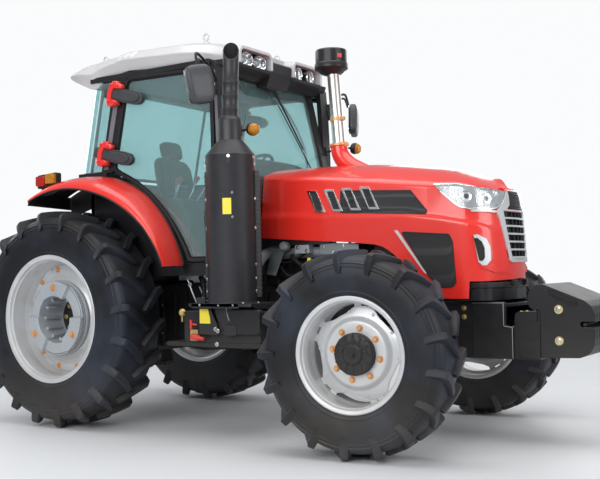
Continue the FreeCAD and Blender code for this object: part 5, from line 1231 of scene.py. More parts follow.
def quarterGrid(out=0.0, low=2.049, high=2.786):
    z = np.linspace(low, high, 9)[:, None]
    share = (z - low) / (high - low)
    x = quarterPlan[None, :, 0] * (1 - 0.14 * share) + (0.004 + 0.158 * share)
    y = quarterPlan[None, :, 1] + out
    return np.stack(np.broadcast_arrays(x, y, z), -1)


panes = [leaningPane((1.575, 1.752), (1.338, 2.768), 0.629, True)]
panes.append(bothSides(shell(quarterGrid(), 0.006)))
makePiece("fixedPanes", pile(*panes), "chassis", materials["cabGlass"], ("fixed_glass",))
makePiece("rearPane", leaningPane((0.022, 2.047), (0.176, 2.768), 0.689, True), "chassis", materials["cabGlass"], ("rear_window",))
quarterEdge = quarterGrid(0.001)
seals = [bothSides(tube(quarterEdge[row], 0.007, 8)) for row in (0, -1)]
for low, high, half, out in (((1.575, 1.752), (1.338, 2.768), 0.629, 0.006), ((0.022, 2.047), (0.176, 2.768), 0.689, -0.006)):
    low, high = np.array(low), np.array(high)
    for y in (-half + 0.012, half - 0.012):
        seals.append(tube([(low[0] + out, y, low[1]), (high[0] + out, y, high[1])], 0.013, 8, (0, 1, 0)))
    for end in (low, high):
        seals.append(tube([(end[0] + out, -half, end[1]), (end[0] + out, half, end[1])], 0.014, 8))
makePiece("paneSeals", pile(*seals), "chassis", materials["sealRubber"])
visorCloth = slab(roundCorners([(-0.50, 0.0), (-0.06, 0.0), (-0.06, 0.17), (-0.50, 0.17)], 0.025), "yz", 0.0, 0.008)
visorTilt = turnAbout((0, 1, 0), -22)
makePiece("sunVisor", moved(visorCloth, (1.315, 0, 2.565), visorTilt), "chassis", materials["hingeGrey"], bevel=0.003)
headliner = block((0.20, -0.70, 2.775), (1.36, 0.70, 2.790))
makePiece("headliner", headliner, "chassis", materials["interiorGrey"], bevel=0.004)


def onScreen(points, out=0.014):
    # places on the windscreen from (y, height), a little in front of it
    points = np.asarray(points, float)
    x = np.interp(points[:, 1], (1.752, 2.768), (1.575, 1.338)) + out
    return np.stack([x, points[:, 0], points[:, 1]], 1)


wiper = [tube(onScreen([(0.06, 2.745), (0.20, 2.50), (0.34, 2.235)], 0.030), (0.010, 0.008, 0.006), 8, (0, 1, 0)),
         tube(onScreen([(0.12, 2.60), (0.30, 2.30), (0.47, 2.00)], 0.014), 0.006, 6, (0, 1, 0)),
         lathe([(0, 0), (0, 0.024), (0.035, 0.020), (0.040, 0)], (1.345, 0.06, 2.745), (1, 0, 0.25), 18)]
makePiece("wiper", pile(*wiper), "chassis", materials["satinBlack"])
print("glass built")
# Fenders: a folded profile of (distance from the middle, radius) carried round the wheel's arc

fender = dict(centre=(0.170, 0.860), start=23.0, end=114.0, wall=0.010, steps=60)
# inner edge and lip by the angle; the panel narrows towards its front end
fenderArc = np.array([(22, 1.046, 1.030, 1.060), (30, 1.066, 1.036, 1.058), (43, 1.102, 1.038, 1.060), (58, 1.143, 1.040, 1.085), (76, 1.158, 1.042, 1.118),
                      (90, 1.152, 1.044, 1.131), (114, 1.128, 1.048, 1.131)])
# share of the way across and share of the drop from the inner edge to the lip
fenderProfile = np.array([(0.0, 0.10), (0.01, 0.03), (0.04, 0.0), (0.14, 0.0), (0.32, 0.05), (0.52, 0.15), (0.70, 0.28), (0.84, 0.42), (0.93, 0.56), (0.98, 0.72),
                          (1.0, 0.88), (1.0, 1.0)])


def sweptRound(profile, start, end, steps, out=0.0, fixed=False):
    # centre + radius (cos a, sin a) in x and z; across: 0.832 + share (outer - 0.832), radius: inner - drop (inner - lip)
    a = np.linspace(start, end, steps)[:, None]
    inner, lip, outer = (np.interp(a, fenderArc[:, 0], fenderArc[:, n]) for n in (1, 2, 3))
    y = np.broadcast_to(profile[None, :, 0], (steps, len(profile))) if fixed else 0.832 + profile[None, :, 0] * (outer - 0.832)
    r = inner - profile[None, :, 1] * (inner - lip) + out
    x = fender["centre"][0] + r * np.cos(np.radians(a))
    z = fender["centre"][1] + r * np.sin(np.radians(a))
    return np.stack([x, y, z], -1)


fenderGrid = sweptRound(fenderProfile, fender["start"], fender["end"], fender["steps"])
makePiece("fenderPanels", bothSides(shell(fenderGrid[::-1], fender["wall"])), "chassis", materials["redPaint"],
          ("fenders",), bevel=0.003, sharp=60)
liner = sweptRound(np.array([(0.682, 0.02), (0.76, 0.0), (0.834, 0.0)]), 20, 114, 40, -0.014, True)
inner = sweptRound(fenderProfile[2:-1], 24, 113, 40, -0.013)
makePiece("fenderLiners", bothSides(pile(shell(liner[::-1], 0.006), shell(inner[::-1], 0.004))), "chassis",
          materials["blackPlastic"])
# down-turned rear end and inner wall of the wheel arch
endRows = np.linspace(0.655, 1.118, 24)
endTop = np.interp(endRows, fenderGrid[-1, :, 1], np.hypot(fenderGrid[-1, :, 0] - fender["centre"][0], fenderGrid[-1, :, 2] - fender["centre"][1])) - 0.010
endLow = np.minimum(np.interp(endRows, (0.655, 1.118), (1.008, 1.030)), endTop - 0.006)
endRadius = endTop[:, None] + (endLow - endTop)[:, None] * np.linspace(0, 1, 5)[None]
endAngle = np.radians(113.4 + 2.2 * np.linspace(0, 1, 5))[None]
endGrid = np.stack([fender["centre"][0] + endRadius * np.cos(endAngle), endRows[:, None] + 0 * endRadius, fender["centre"][1] + endRadius * np.sin(endAngle)], -1)
wallAngle = np.radians(np.linspace(24, 115.5, 44))[:, None]
wallLow = np.interp(np.degrees(wallAngle), (24, 50, 70, 115.5), (1.020, 1.000, 0.930, 0.925))
wallHigh = np.interp(np.degrees(wallAngle), fenderArc[:, 0], fenderArc[:, 1]) - 0.02
wallRadius = wallLow + (wallHigh - wallLow) * np.array([[0, 0.35, 0.7, 1.0]])
wallGrid = np.stack([fender["centre"][0] + wallRadius * np.cos(wallAngle), 0.650 + 0 * wallRadius, fender["centre"][1] + wallRadius * np.sin(wallAngle)], -1)
makePiece("fenderEnds", bothSides(pile(shell(endGrid, 0.006), shell(wallGrid, 0.006))), "chassis", materials["blackPlastic"])
lipLine = sweptRound(np.array([(1.004, 1.06)]), 23.3, 113.7, 60)[:, 0]
seamLine = sweptRound(np.array([(-0.02, 0.06)]), 23.3, 113.7, 60)[:, 0]
makePiece("fenderEdges", bothSides(pile(tube(lipLine, 0.0075, 8, (0, 1, 0)), tube(seamLine, 0.012, 8, (0, 1, 0)))), "chassis",
          materials["sealRubber"])
tail = []
for x, z, name, half in ((-0.165, 1.985, "redGlass", 0.050), (-0.055, 2.000, "amberGlass", 0.048)):
    tail.append((name, slab(roundCorners([(x - half, z - 0.040), (x + half, z - 0.040), (x + half, z + 0.040), (x - half, z + 0.040)], 0.012),
                            "xz", 1.050, 1.085)))
lampBase = slab(roundCorners([(-0.225, 1.925), (0.0, 1.945), (0.0, 2.052), (-0.225, 2.037)], 0.018), "xz", 1.000, 1.055)
stay = slab(roundCorners([(-0.20, 1.86), (-0.02, 1.90), (-0.04, 1.96), (-0.19, 1.94)], 0.01), "xz", 1.010, 1.040)
makePiece("tailLampBases", bothSides(pile(lampBase, stay)), "chassis", materials["blackPlastic"], bevel=0.004)
for name, part in tail:
    makePiece("tailLens_" + name, bothSides(part), "chassis", materials[name], bevel=0.004)
print("fenders built")

# Exhaust: drum, cone and neck turned as one, a banded pipe cut on the slant, ladder strips and small bolts
exhaust = dict(x=1.665, y=-0.915, radius=0.180, low=0.990, top=2.060)
can = (exhaust["x"], exhaust["y"], 0.0)
drum = [(0.990, 0), (0.990, 0.176), (0.996, 0.180), (1.010, 0.1805), (2.040, 0.1805), (2.050, 0.1835), (2.060, 0.1835),
        (2.064, 0.179), (2.072, 0.176), (2.158, 0.102), (2.168, 0.0935), (2.180, 0.092), (2.312, 0.092), (2.320, 0.090), (2.345, 0.066), (2.345, 0)]
makePiece("exhaustDrum", lathe(drum, can, (0, 0, 1), 72), "chassis", materials["charcoal"], ("exhaust_canister",), sharp=30)


pipe = dict(foot=2.335, lean=0.022, mouth=2.828, slope=1.28, sides=48)


def pipeRing(radius, z=None, drop=0.0):
    # one ring of the pipe, which leans a little; without a height it lies in the plane of the slanted mouth
    t = np.linspace(0, 2 * np.pi, pipe["sides"], endpoint=False)
    if z is None:
        z = pipe["mouth"] - (0.62 * np.cos(t) - 0.785 * np.sin(t)) * radius * pipe["slope"] - drop
    z = np.broadcast_to(z, t.shape)
    shift = pipe["lean"] * (z - pipe["foot"]) / (pipe["mouth"] - pipe["foot"])
    return np.stack([can[0] + shift + radius * np.cos(t), can[1] + radius * np.sin(t), z], 1)


bands = [(0.0580, 2.336), (0.0600, 2.336), (0.0600, 2.392), (0.0628, 2.396), (0.0628, 2.402), (0.0600, 2.406), (0.0600, 2.488), (0.0628, 2.492), (0.0628, 2.500),
         (0.0600, 2.504), (0.0600, 2.584), (0.0628, 2.588), (0.0628, 2.596), (0.0598, 2.600), (0.0592, 2.700)]
pipeRows = [pipeRing(radius, z) for radius, z in bands] + [pipeRing(0.0592, None, 0.004), pipeRing(0.0582), pipeRing(0.0560), pipeRing(0.0556, 2.345)]
makePiece("exhaustPipe", (np.stack(pipeRows).reshape(-1, 3), gridFaces(len(pipeRows), pipe["sides"], True, True)), "chassis",
          materials["charcoal"], sharp=40)
# black lining inside the mouth is soot; the black disc that closes it a little way down is painted shade for the depth
# of the pipe
liningAndShadeRows = [pipeRing(0.0558, None, 0.0015), pipeRing(0.0520, None, 0.004), pipeRing(0.0520, 2.60), pipeRing(0.0, 2.60), pipeRing(0.0, 2.59), pipeRing(0.0556, 2.59)]
makePiece("exhaustSootAndShade", (np.stack(liningAndShadeRows).reshape(-1, 3), gridFaces(len(liningAndShadeRows), pipe["sides"], True, True)), "chassis", materials["sootAndShade"])
ladderParts, rivets, pins = [], [], []
def drumBasis(angle):
    # outward direction at the drum's side and the matrix (across, outward, up)
    a = math.radians(angle)
    outward = np.array([math.cos(a), math.sin(a), 0])
    return outward, np.stack([np.cross((0, 0, 1), outward), outward, (0, 0, 1)], 1)


for angle in (28.0, 208.0):
    outward, basis = drumBasis(angle)
    foot = np.array(can) + outward * exhaust["radius"]
    plate = slab([(-0.022, 1.030), (0.022, 1.030), (0.022, 1.945), (-0.022, 1.945)], "xz", -0.010, 0.034 if angle < 90 else 0.010)
    rungs = [slab([(-0.026, z), (0.026, z), (0.026, z + 0.016), (-0.026, z + 0.016)], "xz", 0.0, 0.037 if angle < 90 else 0.013) for z in np.arange(1.05, 1.93, 0.034)]
    ladderParts.append(moved(pile(plate, *rungs), foot, basis))
    for z in (1.075, 1.165, 1.265, 1.530, 1.740, 1.990, 2.030):
        across = basis[:, 0] * (-0.034 if angle < 90 else 0.030)
        pins.append(foot + across - outward * 0.003 + (0, 0, z))
    rivets.append(boltsAt(pins[-7:], outward + basis[:, 0] * (-0.9 if angle < 90 else 0.9), 0.0085))
for angle in (-58.0, 10.0, 70.0, 140.0, 222.0):
    outward, basis = drumBasis(angle)
    rivets.append(boltsAt([np.array(can) + outward * (exhaust["radius"] + 0.003) + (0, 0, 2.040)], outward, 0.0080))
    ladderParts.append(moved(slab([(-0.010, 1.99), (0.010, 1.99), (0.010, 2.06), (-0.010, 2.06)], "xz", -0.002, 0.004), np.array(can) + outward * exhaust["radius"], basis))
for angle, z in ((-50.7, 1.778), (-50.7, 1.604)):
    outward, basis = drumBasis(angle)
    rivets.append(boltsAt([np.array(can) + outward * exhaust["radius"] + (0, 0, z)], outward, 0.0065))
makePiece("exhaustLadders", pile(*ladderParts), "chassis", materials["charcoal"], bevel=0.0015)
makePiece("exhaustRivets", pile(*rivets), "chassis", materials["brightSteel"])
t = np.radians(np.linspace(-73, -53, 6))
label = np.stack([np.stack([can[0] + (exhaust["radius"] + 0.0012) * np.cos(t), can[1] + (exhaust["radius"] + 0.0012) * np.sin(t), z + 0 * t], 1)
                  for z in (1.625, 1.740)])
makePiece("exhaustLabel", shell(label[::-1], 0.001), "chassis", materials["labelYellow"])
foot = [lathe([(0.9895, 0), (0.9895, 0.192), (0.997, 0.192), (0.999, 0.184), (0.999, 0)], can, (0, 0, 1), 60)]
makePiece("exhaustFoot", pile(*foot), "chassis", materials["charcoal"], bevel=0.003)
print("exhaust built")

# Intake: red elbow on the hood, bright tube that leans back a little, black bowl
stack = np.array([2.047, 0, 2.180])
stackTop = np.array([2.006, 0, 2.754])
tubeAxis = (stackTop - stack) / np.linalg.norm(stackTop - stack)
reach = np.linalg.norm(stackTop - stack)
elbowPath = smoothPath([stack + tubeAxis * 0.004, (2.056, 0, 2.130), (2.086, 0, 2.076), (2.140, 0, 2.026), (2.220, 0, 1.978), (2.320, 0, 1.925)], 8)
elbowRadius = np.interp(np.linspace(0, 1, len(elbowPath)), (0, 0.2, 0.7, 1), (0.068, 0.069, 0.074, 0.080))
elbow = [tube(elbowPath, elbowRadius, 36, (0, 1, 0))]
elbow.append(lathe([(0, 0.050), (0, 0.074), (0.020, 0.076), (0.026, 0.070), (0.026, 0.050)], stack, tubeAxis, 36))
collar = roundCorners([(2.150, -0.112), (2.400, -0.112), (2.400, 0.112), (2.150, 0.112)], 0.05)
elbow.append(slab(collar, "xy", 1.955, 1.990))
makePiece("intakeElbow", pile(*elbow), "hood", materials["redPaint"], ("intake_elbow",), bevel=0.004)
tubeSkin = [(0, 0), (0, 0.0495), (0.205, 0.0495), (0.208, 0.053), (0.232, 0.053), (0.235, 0.0485), (reach, 0.0485), (reach, 0)]
makePiece("intakeTube", lathe(tubeSkin, stack, tubeAxis, 40), "hood", materials["stackSteel"])
clampParts = [lathe([(0.206, 0.050), (0.206, 0.0545), (0.234, 0.0545), (0.234, 0.050)], stack, tubeAxis, 36),
              moved(block((-0.014, -0.012, -0.012), (0.030, 0.012, 0.012)), stack + tubeAxis * 0.220 + (0.052, -0.020, 0)),
              lathe([(0.006, 0.074), (0.006, 0.0785), (0.020, 0.0785), (0.020, 0.074)], stack, tubeAxis, 36)]
makePiece("intakeClamps", pile(*clampParts), "hood", materials["nutOrange"], bevel=0.001)
makePiece("intakeClampBolt", boltsAt([stack + (0.074, -0.022, 0.014)], (0.6, -0.8, 0), 0.014), "hood", materials["nutOrange"])
bowlFoot = np.array([1.990, 0, 2.755])
bowl = [(0, 0), (0, 0.055), (0.010, 0.084), (0.035, 0.110), (0.045, 0.129), (0.051, 0.133), (0.082, 0.133), (0.088, 0.130), (0.094, 0.1255), (0.188, 0.125),
        (0.198, 0.119), (0.204, 0.08), (0.205, 0)]
makePiece("precleanerBowl", lathe(bowl, bowlFoot, (0, 0, 1), 64), "hood", materials["satinBlack"],
          ("precleaner",), sharp=30)
badgePlate = slab(roundCorners([(-0.020, -0.016), (0.020, -0.016), (0.020, 0.016), (-0.020, 0.016)], 0.006), "yz", 0.124, 0.128)
makePiece("precleanerClip", moved(badgePlate, bowlFoot + (0, 0, 0.135), turnAbout((0, 0, 1), -28)), "hood", materials["signalRed"], bevel=0.001)
print("intake built")

# Mirrors and turn lamps
mirrorTurn = turnAbout((0, 0, 1), 24) @ turnAbout((1, 0, 0), -11)
housing = pillow((0, 0, 0), (0.036, 0.104, 0.143), (5.0, 4.2), None, 26, 44)
shape = housing[0].copy()
shape[:, 1] *= 1 - 0.10 * np.clip(-shape[:, 2] / 0.143, 0, 1)   # narrower towards the bottom
shape[:, 0] *= 1 + 0.25 * (shape[:, 0] > 0) * (1 - (shape[:, 2] / 0.143) ** 2)
mirrorAt = np.array([1.550, 1.108, 2.570])
mirrorParts = moved((shape, housing[1]), mirrorAt, mirrorTurn)
makePiece("mirrorHousings", bothSides(mirrorParts), "chassis", materials["hingeGrey"], ("mirrors",))
glassFace = slab(roundCorners([(-0.092, -0.128), (0.092, -0.128), (0.092, 0.128), (-0.092, 0.128)], 0.03), "yz", -0.038, -0.0345)
makePiece("mirrorGlass", bothSides(moved(glassFace, mirrorAt, mirrorTurn)), "chassis", materials["chrome"])
arms = [tube(smoothPath([(1.456, 0.790, 2.615), (1.462, 0.812, 2.665), (1.475, 0.875, 2.724), (1.480, 1.000, 2.795), (1.484, 1.058, 2.812), (1.492, 1.082, 2.792),
                         (1.515, 1.090, 2.690)], 6), 0.0105, 12),
        tube(smoothPath([(1.456, 0.792, 2.585), (1.466, 0.850, 2.660), (1.474, 0.900, 2.708), (1.482, 1.020, 2.768), (1.495, 1.056, 2.760), (1.515, 1.066, 2.690)], 6),
             0.009, 12)]
brackets = [slab(roundCorners([(1.428, 2.545), (1.478, 2.545), (1.478, 2.690), (1.428, 2.690)], 0.012), "xz", 0.800, 0.815),
            slab(roundCorners([(1.440, 2.575), (1.476, 2.575), (1.476, 2.640), (1.440, 2.640)], 0.008), "xz", 0.780, 0.834)]
makePiece("mirrorBolts", bothSides(boltsAt([(1.452, 0.834, 2.590), (1.464, 0.834, 2.625), (1.452, 0.815, 2.672)], (0, 1, 0), 0.008)), "chassis",
          materials["brightSteel"])
makePiece("mirrorArms", bothSides(pile(*arms, *brackets)), "chassis", materials["satinBlack"], bevel=0.002)
lampAt = (1.722, 0.745, 2.270)
cup = [(0, 0), (0, 0.030), (0.012, 0.044), (0.030, 0.049), (0.046, 0.050), (0.048, 0.046), (0.044, 0.040), (0.044, 0)]
lens = [(0.044, 0), (0.044, 0.0455), (0.058, 0.0455), (0.078, 0.038), (0.090, 0.022), (0.093, 0)]
makePiece("turnLampCups", bothSides(pile(lathe(cup, lampAt, (0.92, 0.36, -0.15), 32), tube([(1.486, 0.735, 2.258), (1.60, 0.740, 2.262), (1.722, 0.745, 2.272)], 0.010, 10),
                                         slab(roundCorners([(1.482, 2.225), (1.497, 2.225), (1.489, 2.300), (1.474, 2.300)], 0.004), "xz", 0.712, 0.757))),
          "chassis", materials["blackPlastic"], ("turn_lamps",), bevel=0.002)
makePiece("turnLampLenses", bothSides(lathe(lens, lampAt, (0.92, 0.36, -0.15), 32)), "chassis", materials["amberGlass"])
print("mirrors built")
# Front support: a casting with side plates, a stepped nose and a well for the axle, and thin pale lines along the plate
# edges as painted highlights
support = dict(half=0.300, low=0.590, top=0.980, nose=3.550)
outerSide = roundCorners([(2.400, 0.650), (2.520, 0.650), (2.520, 0.860), (3.130, 0.860), (3.130, 0.590), (3.548, 0.590), (3.548, 0.806), (3.492, 0.812),
                          (3.492, 0.975), (2.400, 0.980)], [0.02, 0.01, 0.05, 0.05, 0.012, 0.014, 0.016, 0.012, 0.016, 0.01], 5)
plates = bothSides(slab(outerSide, "xz", 0.262, support["half"]))
nose = [block((3.13, -0.262, 0.592), (3.165, 0.262, 0.972)), block((3.13, -0.262, 0.938), (3.49, 0.262, 0.962)),
        block((3.505, -0.262, 0.592), (3.546, 0.262, 0.800)), block((2.400, -0.262, 0.655), (2.445, 0.262, 0.975))]
ribs = [slab([(3.165, 0.62), (3.505, 0.62), (3.505, 0.78), (3.165, 0.93)], "xz", y, y + 0.022) for y in (-0.12, 0.10)]
makePiece("supportCasting", pile(plates, *nose, *ribs), "chassis", materials["castBlack"], ("front_support",), bevel=0.004)
bossOutline = roundCorners([(3.135, 0.835), (3.262, 0.835), (3.262, 0.975), (3.135, 0.975)], 0.010)
sidePlate = slab(roundCorners([(3.262, 0.594), (3.545, 0.594), (3.545, 0.802), (3.486, 0.808), (3.486, 0.968), (3.262, 0.968)], 0.012), "xz", 0.3005, 0.308)
makePiece("supportPlates", bothSides(pile(sidePlate, slab(bossOutline, "xz", 0.296, 0.304))), "chassis", materials["satinBlack"], bevel=0.003)
# painted highlights: thin pale tubes along the side plate's edges where they catch the light
edgeHighlightLine = np.array([(3.486, 0.3085, 0.970), (3.486, 0.3085, 0.822), (3.490, 0.3085, 0.812), (3.543, 0.3085, 0.806), (3.546, 0.3085, 0.800), (3.546, 0.3085, 0.60)])
topHighlightLine = np.array([(3.262, 0.3085, 0.969), (3.480, 0.3085, 0.969), (3.486, 0.3085, 0.972)])
makePiece("supportEdgeHighlights", bothSides(pile(tube(edgeHighlightLine, 0.0022, 6, (0, 1, 0)), tube(topHighlightLine, 0.0022, 6, (0, 1, 0)))), "chassis",
          materials["galvanised"])
supportBolts = [boltsAt([(3.200, side * 0.304, z) for z in (0.935, 0.873)], (0, side, 0), 0.013) for _, side in sides]
supportBolts += [boltsAt([(x, side * 0.300, z) for x, z in ((2.46, 0.93), (2.46, 0.70), (2.62, 0.93), (2.80, 0.93), (2.98, 0.93))], (0, side, 0), 0.012)
                 for _, side in sides]
supportBolts.append(boltsAt([(3.52, y, 0.800) for y in (-0.20, 0.20)], (0, 0, 1), 0.010))
makePiece("supportBolts", pile(*supportBolts), "chassis", materials["zincYellow"])
print("support built")

# Weight carrier: rounded block with a raised rail and a lower hook, then the row of suitcase weights
carrier = roundCorners([(3.551, 0.594), (3.600, 0.590), (3.733, 0.590), (3.733, 0.918), (3.716, 0.918), (3.716, 0.842), (3.640, 0.838), (3.560, 0.826), (3.551, 0.815)],
                       [0.004, 0.03, 0.012, 0.006, 0.008, 0.010, 0.04, 0.02, 0.004], 5)
lipOutline = roundCorners([(3.555, 0.826), (3.640, 0.838), (3.714, 0.842), (3.714, 0.912), (3.590, 0.912), (3.560, 0.895)], [0.004, 0.01, 0.004, 0.02, 0.03, 0.02], 5)
lower = roundCorners([(3.592, 0.600), (3.733, 0.600), (3.733, 0.712), (3.605, 0.712), (3.592, 0.690)], [0.03, 0.006, 0.006, 0.016, 0.01], 5)
carrierParts = [slab(carrier, "xz", -0.292, 0.292)]
carrierParts += [slab(lipOutline, "xz", side * 0.232, side * 0.292) for side in (-1, 1)]
carrierParts += [slab(lower, "xz", side * 0.292, side * 0.300) for side in (-1, 1)]
makePiece("weightCarrier", pile(*carrierParts), "chassis", materials["castBlack"], ("weight_bracket",), bevel=0.004)
carrierBolts = [boltsAt([(3.600, side * 0.262, 0.9), (3.640, side * 0.262, 0.902)], (0, 0, 1), 0.014) for _, side in sides]
makePiece("carrierBolts", pile(*carrierBolts), "chassis", materials["zincYellow"])
weightOutline = np.array([(3.735, 0.606), (3.993, 0.612), (4.058, 0.640), (4.088, 0.690), (4.096, 0.740), (4.096, 0.812), (4.002, 0.812), (4.002, 0.848),
                          (4.098, 0.848), (4.100, 0.900), (4.078, 0.948), (4.034, 0.985), (3.760, 1.094), (3.708, 1.092), (3.672, 1.060), (3.652, 1.010),
                          (3.650, 0.965), (3.672, 0.930), (3.716, 0.923), (3.735, 0.920)])
weightRound = [0.006, 0.06, 0.05, 0.05, 0.04, 0.008, 0.014, 0.014, 0.008, 0.05, 0.05, 0.08, 0.05, 0.04, 0.05, 0.05, 0.04, 0.03, 0.012, 0.006]
weight = dict(count=12, pitch=0.0500, half=0.0232)
facePlate = roundCorners(weightOutline, weightRound, 5)
handle = roundCorners([(3.800, 1.052), (3.812, 1.012), (3.955, 0.945), (3.968, 0.975), (3.960, 0.990)], 0.008)
weightParts, handleParts = [], []
for n in range(weight["count"]):
    y = (n - (weight["count"] - 1) / 2) * weight["pitch"]
    weightParts.append(slab(facePlate, "xz", y - weight["half"], y + weight["half"]))
makePiece("suitcaseWeights", pile(*weightParts), "chassis", materials["castBlack"], ("front_weights",), bevel=0.006)
endY = (weight["count"] - 1) / 2 * weight["pitch"] + weight["half"]
recess = hoop(roundCorners([(3.795, 1.062), (3.800, 1.020), (3.960, 0.945), (3.992, 0.958), (3.985, 0.985), (3.840, 1.055)], 0.012),
              roundCorners([(3.803, 1.054), (3.807, 1.026), (3.960, 0.954), (3.982, 0.962), (3.977, 0.980), (3.838, 1.046)], 0.009), "xz", endY - 0.001, endY + 0.003)
grip = slab(roundCorners([(3.815, 1.036), (3.815, 1.026), (3.972, 0.960), (3.974, 0.970)], 0.004), "xz", endY - 0.001, endY + 0.006)
makePiece("weightHandles", bothSides(pile(recess, grip)), "chassis", materials["sealRubber"], bevel=0.002)
washers, nuts = [], []
for x, z in ((3.863, 0.927), (3.862, 0.721)):
    for _, side in sides:
        washers.append(lathe([(0, 0), (0, 0.029), (0.003, 0.030), (0.0055, 0.0285), (0.0055, 0)], (x, side * endY, z), (0, side, 0), 28))
        nuts.append(boltsAt([(x, side * (endY + 0.005), z)], (0, side, 0), 0.0135))
makePiece("weightWashers", pile(*washers), "chassis", materials["zincYellow"])
makePiece("weightNuts", pile(*nuts), "chassis", materials["brightSteel"])
pinRod = lathe([(-endY + 0.01, 0), (-endY + 0.01, 0.012), (endY - 0.01, 0.012), (endY - 0.01, 0)], (4.030, 0, 0.830), (0, 1, 0), 20)
hitch = [tube([(4.012, 0.0, 0.830), (4.106, 0.0, 0.830)], 0.0135, 16), block((4.000, endY - 0.012, 0.806), (4.014, endY + 0.004, 0.855))]
makePiece("weightPin", pile(pinRod, hitch[0]), "chassis", materials["castBlack"])
print("weights built")

# Valance: two stepped black bands under the nose, and the hinge pins of the hood
band = lambda reach, half: roundCorners([(3.190, -half), (3.395, -half), (reach, -half + 0.15), (reach + 0.012, 0), (reach, half - 0.15), (3.395, half), (3.190, half)],
                                        [0.01, 0.10, 0.12, 0.2, 0.12, 0.10, 0.01], 8)
valance = pile(slab(band(3.478, 0.378), "xy", 1.070, 1.108), slab(band(3.462, 0.366), "xy", 0.984, 1.071))
makePiece("valanceBands", valance, "chassis", materials["satinBlack"], ("nose_valance",), bevel=0.006)
hingeEars = [slab(roundCorners([(3.462, 1.060), (3.508, 1.090), (3.508, 1.122), (3.480, 1.122), (3.450, 1.090)], 0.008), "xz", y - 0.010, y + 0.010)
             for y in (-0.11, 0.11)]
makePiece("hoodHinges", pile(*hingeEars, boltsAt([(3.496, side * 0.121, 1.108) for side in (1, -1)], (0, 1, 0), 0.008)), "chassis",
          materials["satinBlack"], bevel=0.002)
print("valance built")

# Front axle: beam with a gear case, trunnion, and forks; knuckles with ribbed drums and tie bolts
axleX = wheelBase
beamProfile = [(-0.695, 0), (-0.695, 0.078), (-0.62, 0.084), (-0.50, 0.072), (-0.34, 0.070), (-0.22, 0.092), (-0.17, 0.150), (-0.11, 0.166), (0.05, 0.168),
               (0.12, 0.152), (0.20, 0.100), (0.32, 0.070), (0.50, 0.072), (0.62, 0.084), (0.695, 0.078), (0.695, 0)]
axleParts = [lathe(beamProfile, (axleX, 0, frontZ), (0, 1, 0), 48)]
axleParts.append(lathe([(-0.250, 0), (-0.250, 0.060), (-0.225, 0.062), (-0.225, 0.095), (-0.10, 0.118), (0.02, 0.13), (0.02, 0)], (axleX, 0.02, frontZ), (1, 0, 0), 40))
axleParts.append(lathe([(2.520, 0), (2.520, 0.058), (3.130, 0.058), (3.130, 0)], (0, 0, 0.713), (1, 0, 0), 32))
for x in (2.560, 3.075):
    axleParts.append(lathe([(0, 0), (0, 0.086), (0.012, 0.092), (0.040, 0.092), (0.048, 0.084), (0.048, 0)], (x, 0, 0.713), (1, 0, 0), 40))
fork = roundCorners([(-0.052, -0.148), (0.052, -0.148), (0.060, -0.05), (0.060, 0.05), (0.052, 0.148), (-0.052, 0.148), (-0.060, 0.05), (-0.060, -0.05)], 0.03)
for _, side in sides:
    y0, y1 = sorted((side * 0.64, side * 0.70))
    axleParts.append(slab(fork + (axleX, frontZ), "xz", y0, y1))
    for z in (-1, 1):
        axleParts.append(lathe([(0, 0), (0, 0.060), (0.012, 0.064), (0.034, 0.064), (0.042, 0.054), (0.042, 0)], (axleX, side * kingpinY, frontZ + z * 0.108), (0, 0, z), 36))
        arm = slab(roundCorners([(axleX - 0.050, side * 0.64), (axleX + 0.050, side * 0.64), (axleX + 0.045, side * kingpinY), (axleX - 0.045, side * kingpinY)], 0.012),
                   "xy", frontZ + z * 0.110 - 0.008, frontZ + z * 0.110 + 0.022)
        axleParts.append(arm)
makePiece("axleBeam", pile(*axleParts), "chassis", materials["castBlack"], ("front_axle_beam",), bevel=0.003)
axleBolts = [boltsAt(circlePoints((axleX, -0.170, frontZ), 0.138, 10, (0, -1, 0)), (0, -1, 0), 0.010),
             boltsAt(circlePoints((axleX - 0.228, 0.02, frontZ), 0.078, 8, (-1, 0, 0)), (-1, 0, 0), 0.009)]
for _, side in sides:
    for z in (-1, 1):
        axleBolts.append(boltsAt(circlePoints((axleX, side * kingpinY, frontZ + z * 0.150), 0.044, 4, (0, 0, z), 45), (0, 0, z), 0.009))
makePiece("axleBolts", pile(*axleBolts), "chassis", materials["zincYellow"])


def knuckleParts(side):
    # swivel barrel, drum towards the wheel with raised rings, steering arm with a ball
    centre = (wheelBase, side * kingpinY, frontZ)
    barrel = lathe([(-0.100, 0), (-0.100, 0.078), (-0.092, 0.090), (-0.05, 0.095), (0.05, 0.095), (0.092, 0.090), (0.100, 0.078), (0.100, 0)], centre, (0, 0, 1), 40)
    drumShape = [(0.060, 0), (0.060, 0.110), (0.072, 0.126), (0.110, 0.128), (0.116, 0.121), (0.140, 0.121), (0.146, 0.128), (0.168, 0.128), (0.170, 0.120), (0.170, 0)]
    drumPart = lathe(drumShape, centre, (0, side, 0), 48)
    armOutline = roundCorners([(wheelBase - 0.200, side * kingpinY - 0.026), (wheelBase - 0.02, side * kingpinY - 0.045), (wheelBase - 0.02, side * kingpinY + 0.045),
                               (wheelBase - 0.200, side * kingpinY + 0.026)], 0.02)
    arm = slab(armOutline, "xy", frontZ - 0.016, frontZ + 0.024)
    return steered(pile(barrel, drumPart, arm), side)


for name, side in sides:
    makePiece("knuckleCasting_" + name, knuckleParts(side), "knuckle_" + name, materials["castBlack"], ("knuckle_" + name,), bevel=0.003)
    studs = circlePoints((wheelBase, side * (kingpinY + 0.168), frontZ), 0.112, 12, (0, side, 0))
    makePiece("knuckleBolts_" + name, steered(boltsAt(studs, (0, side, 0), 0.0075), side), "knuckle_" + name, materials["zincYellow"])
print("front axle built")
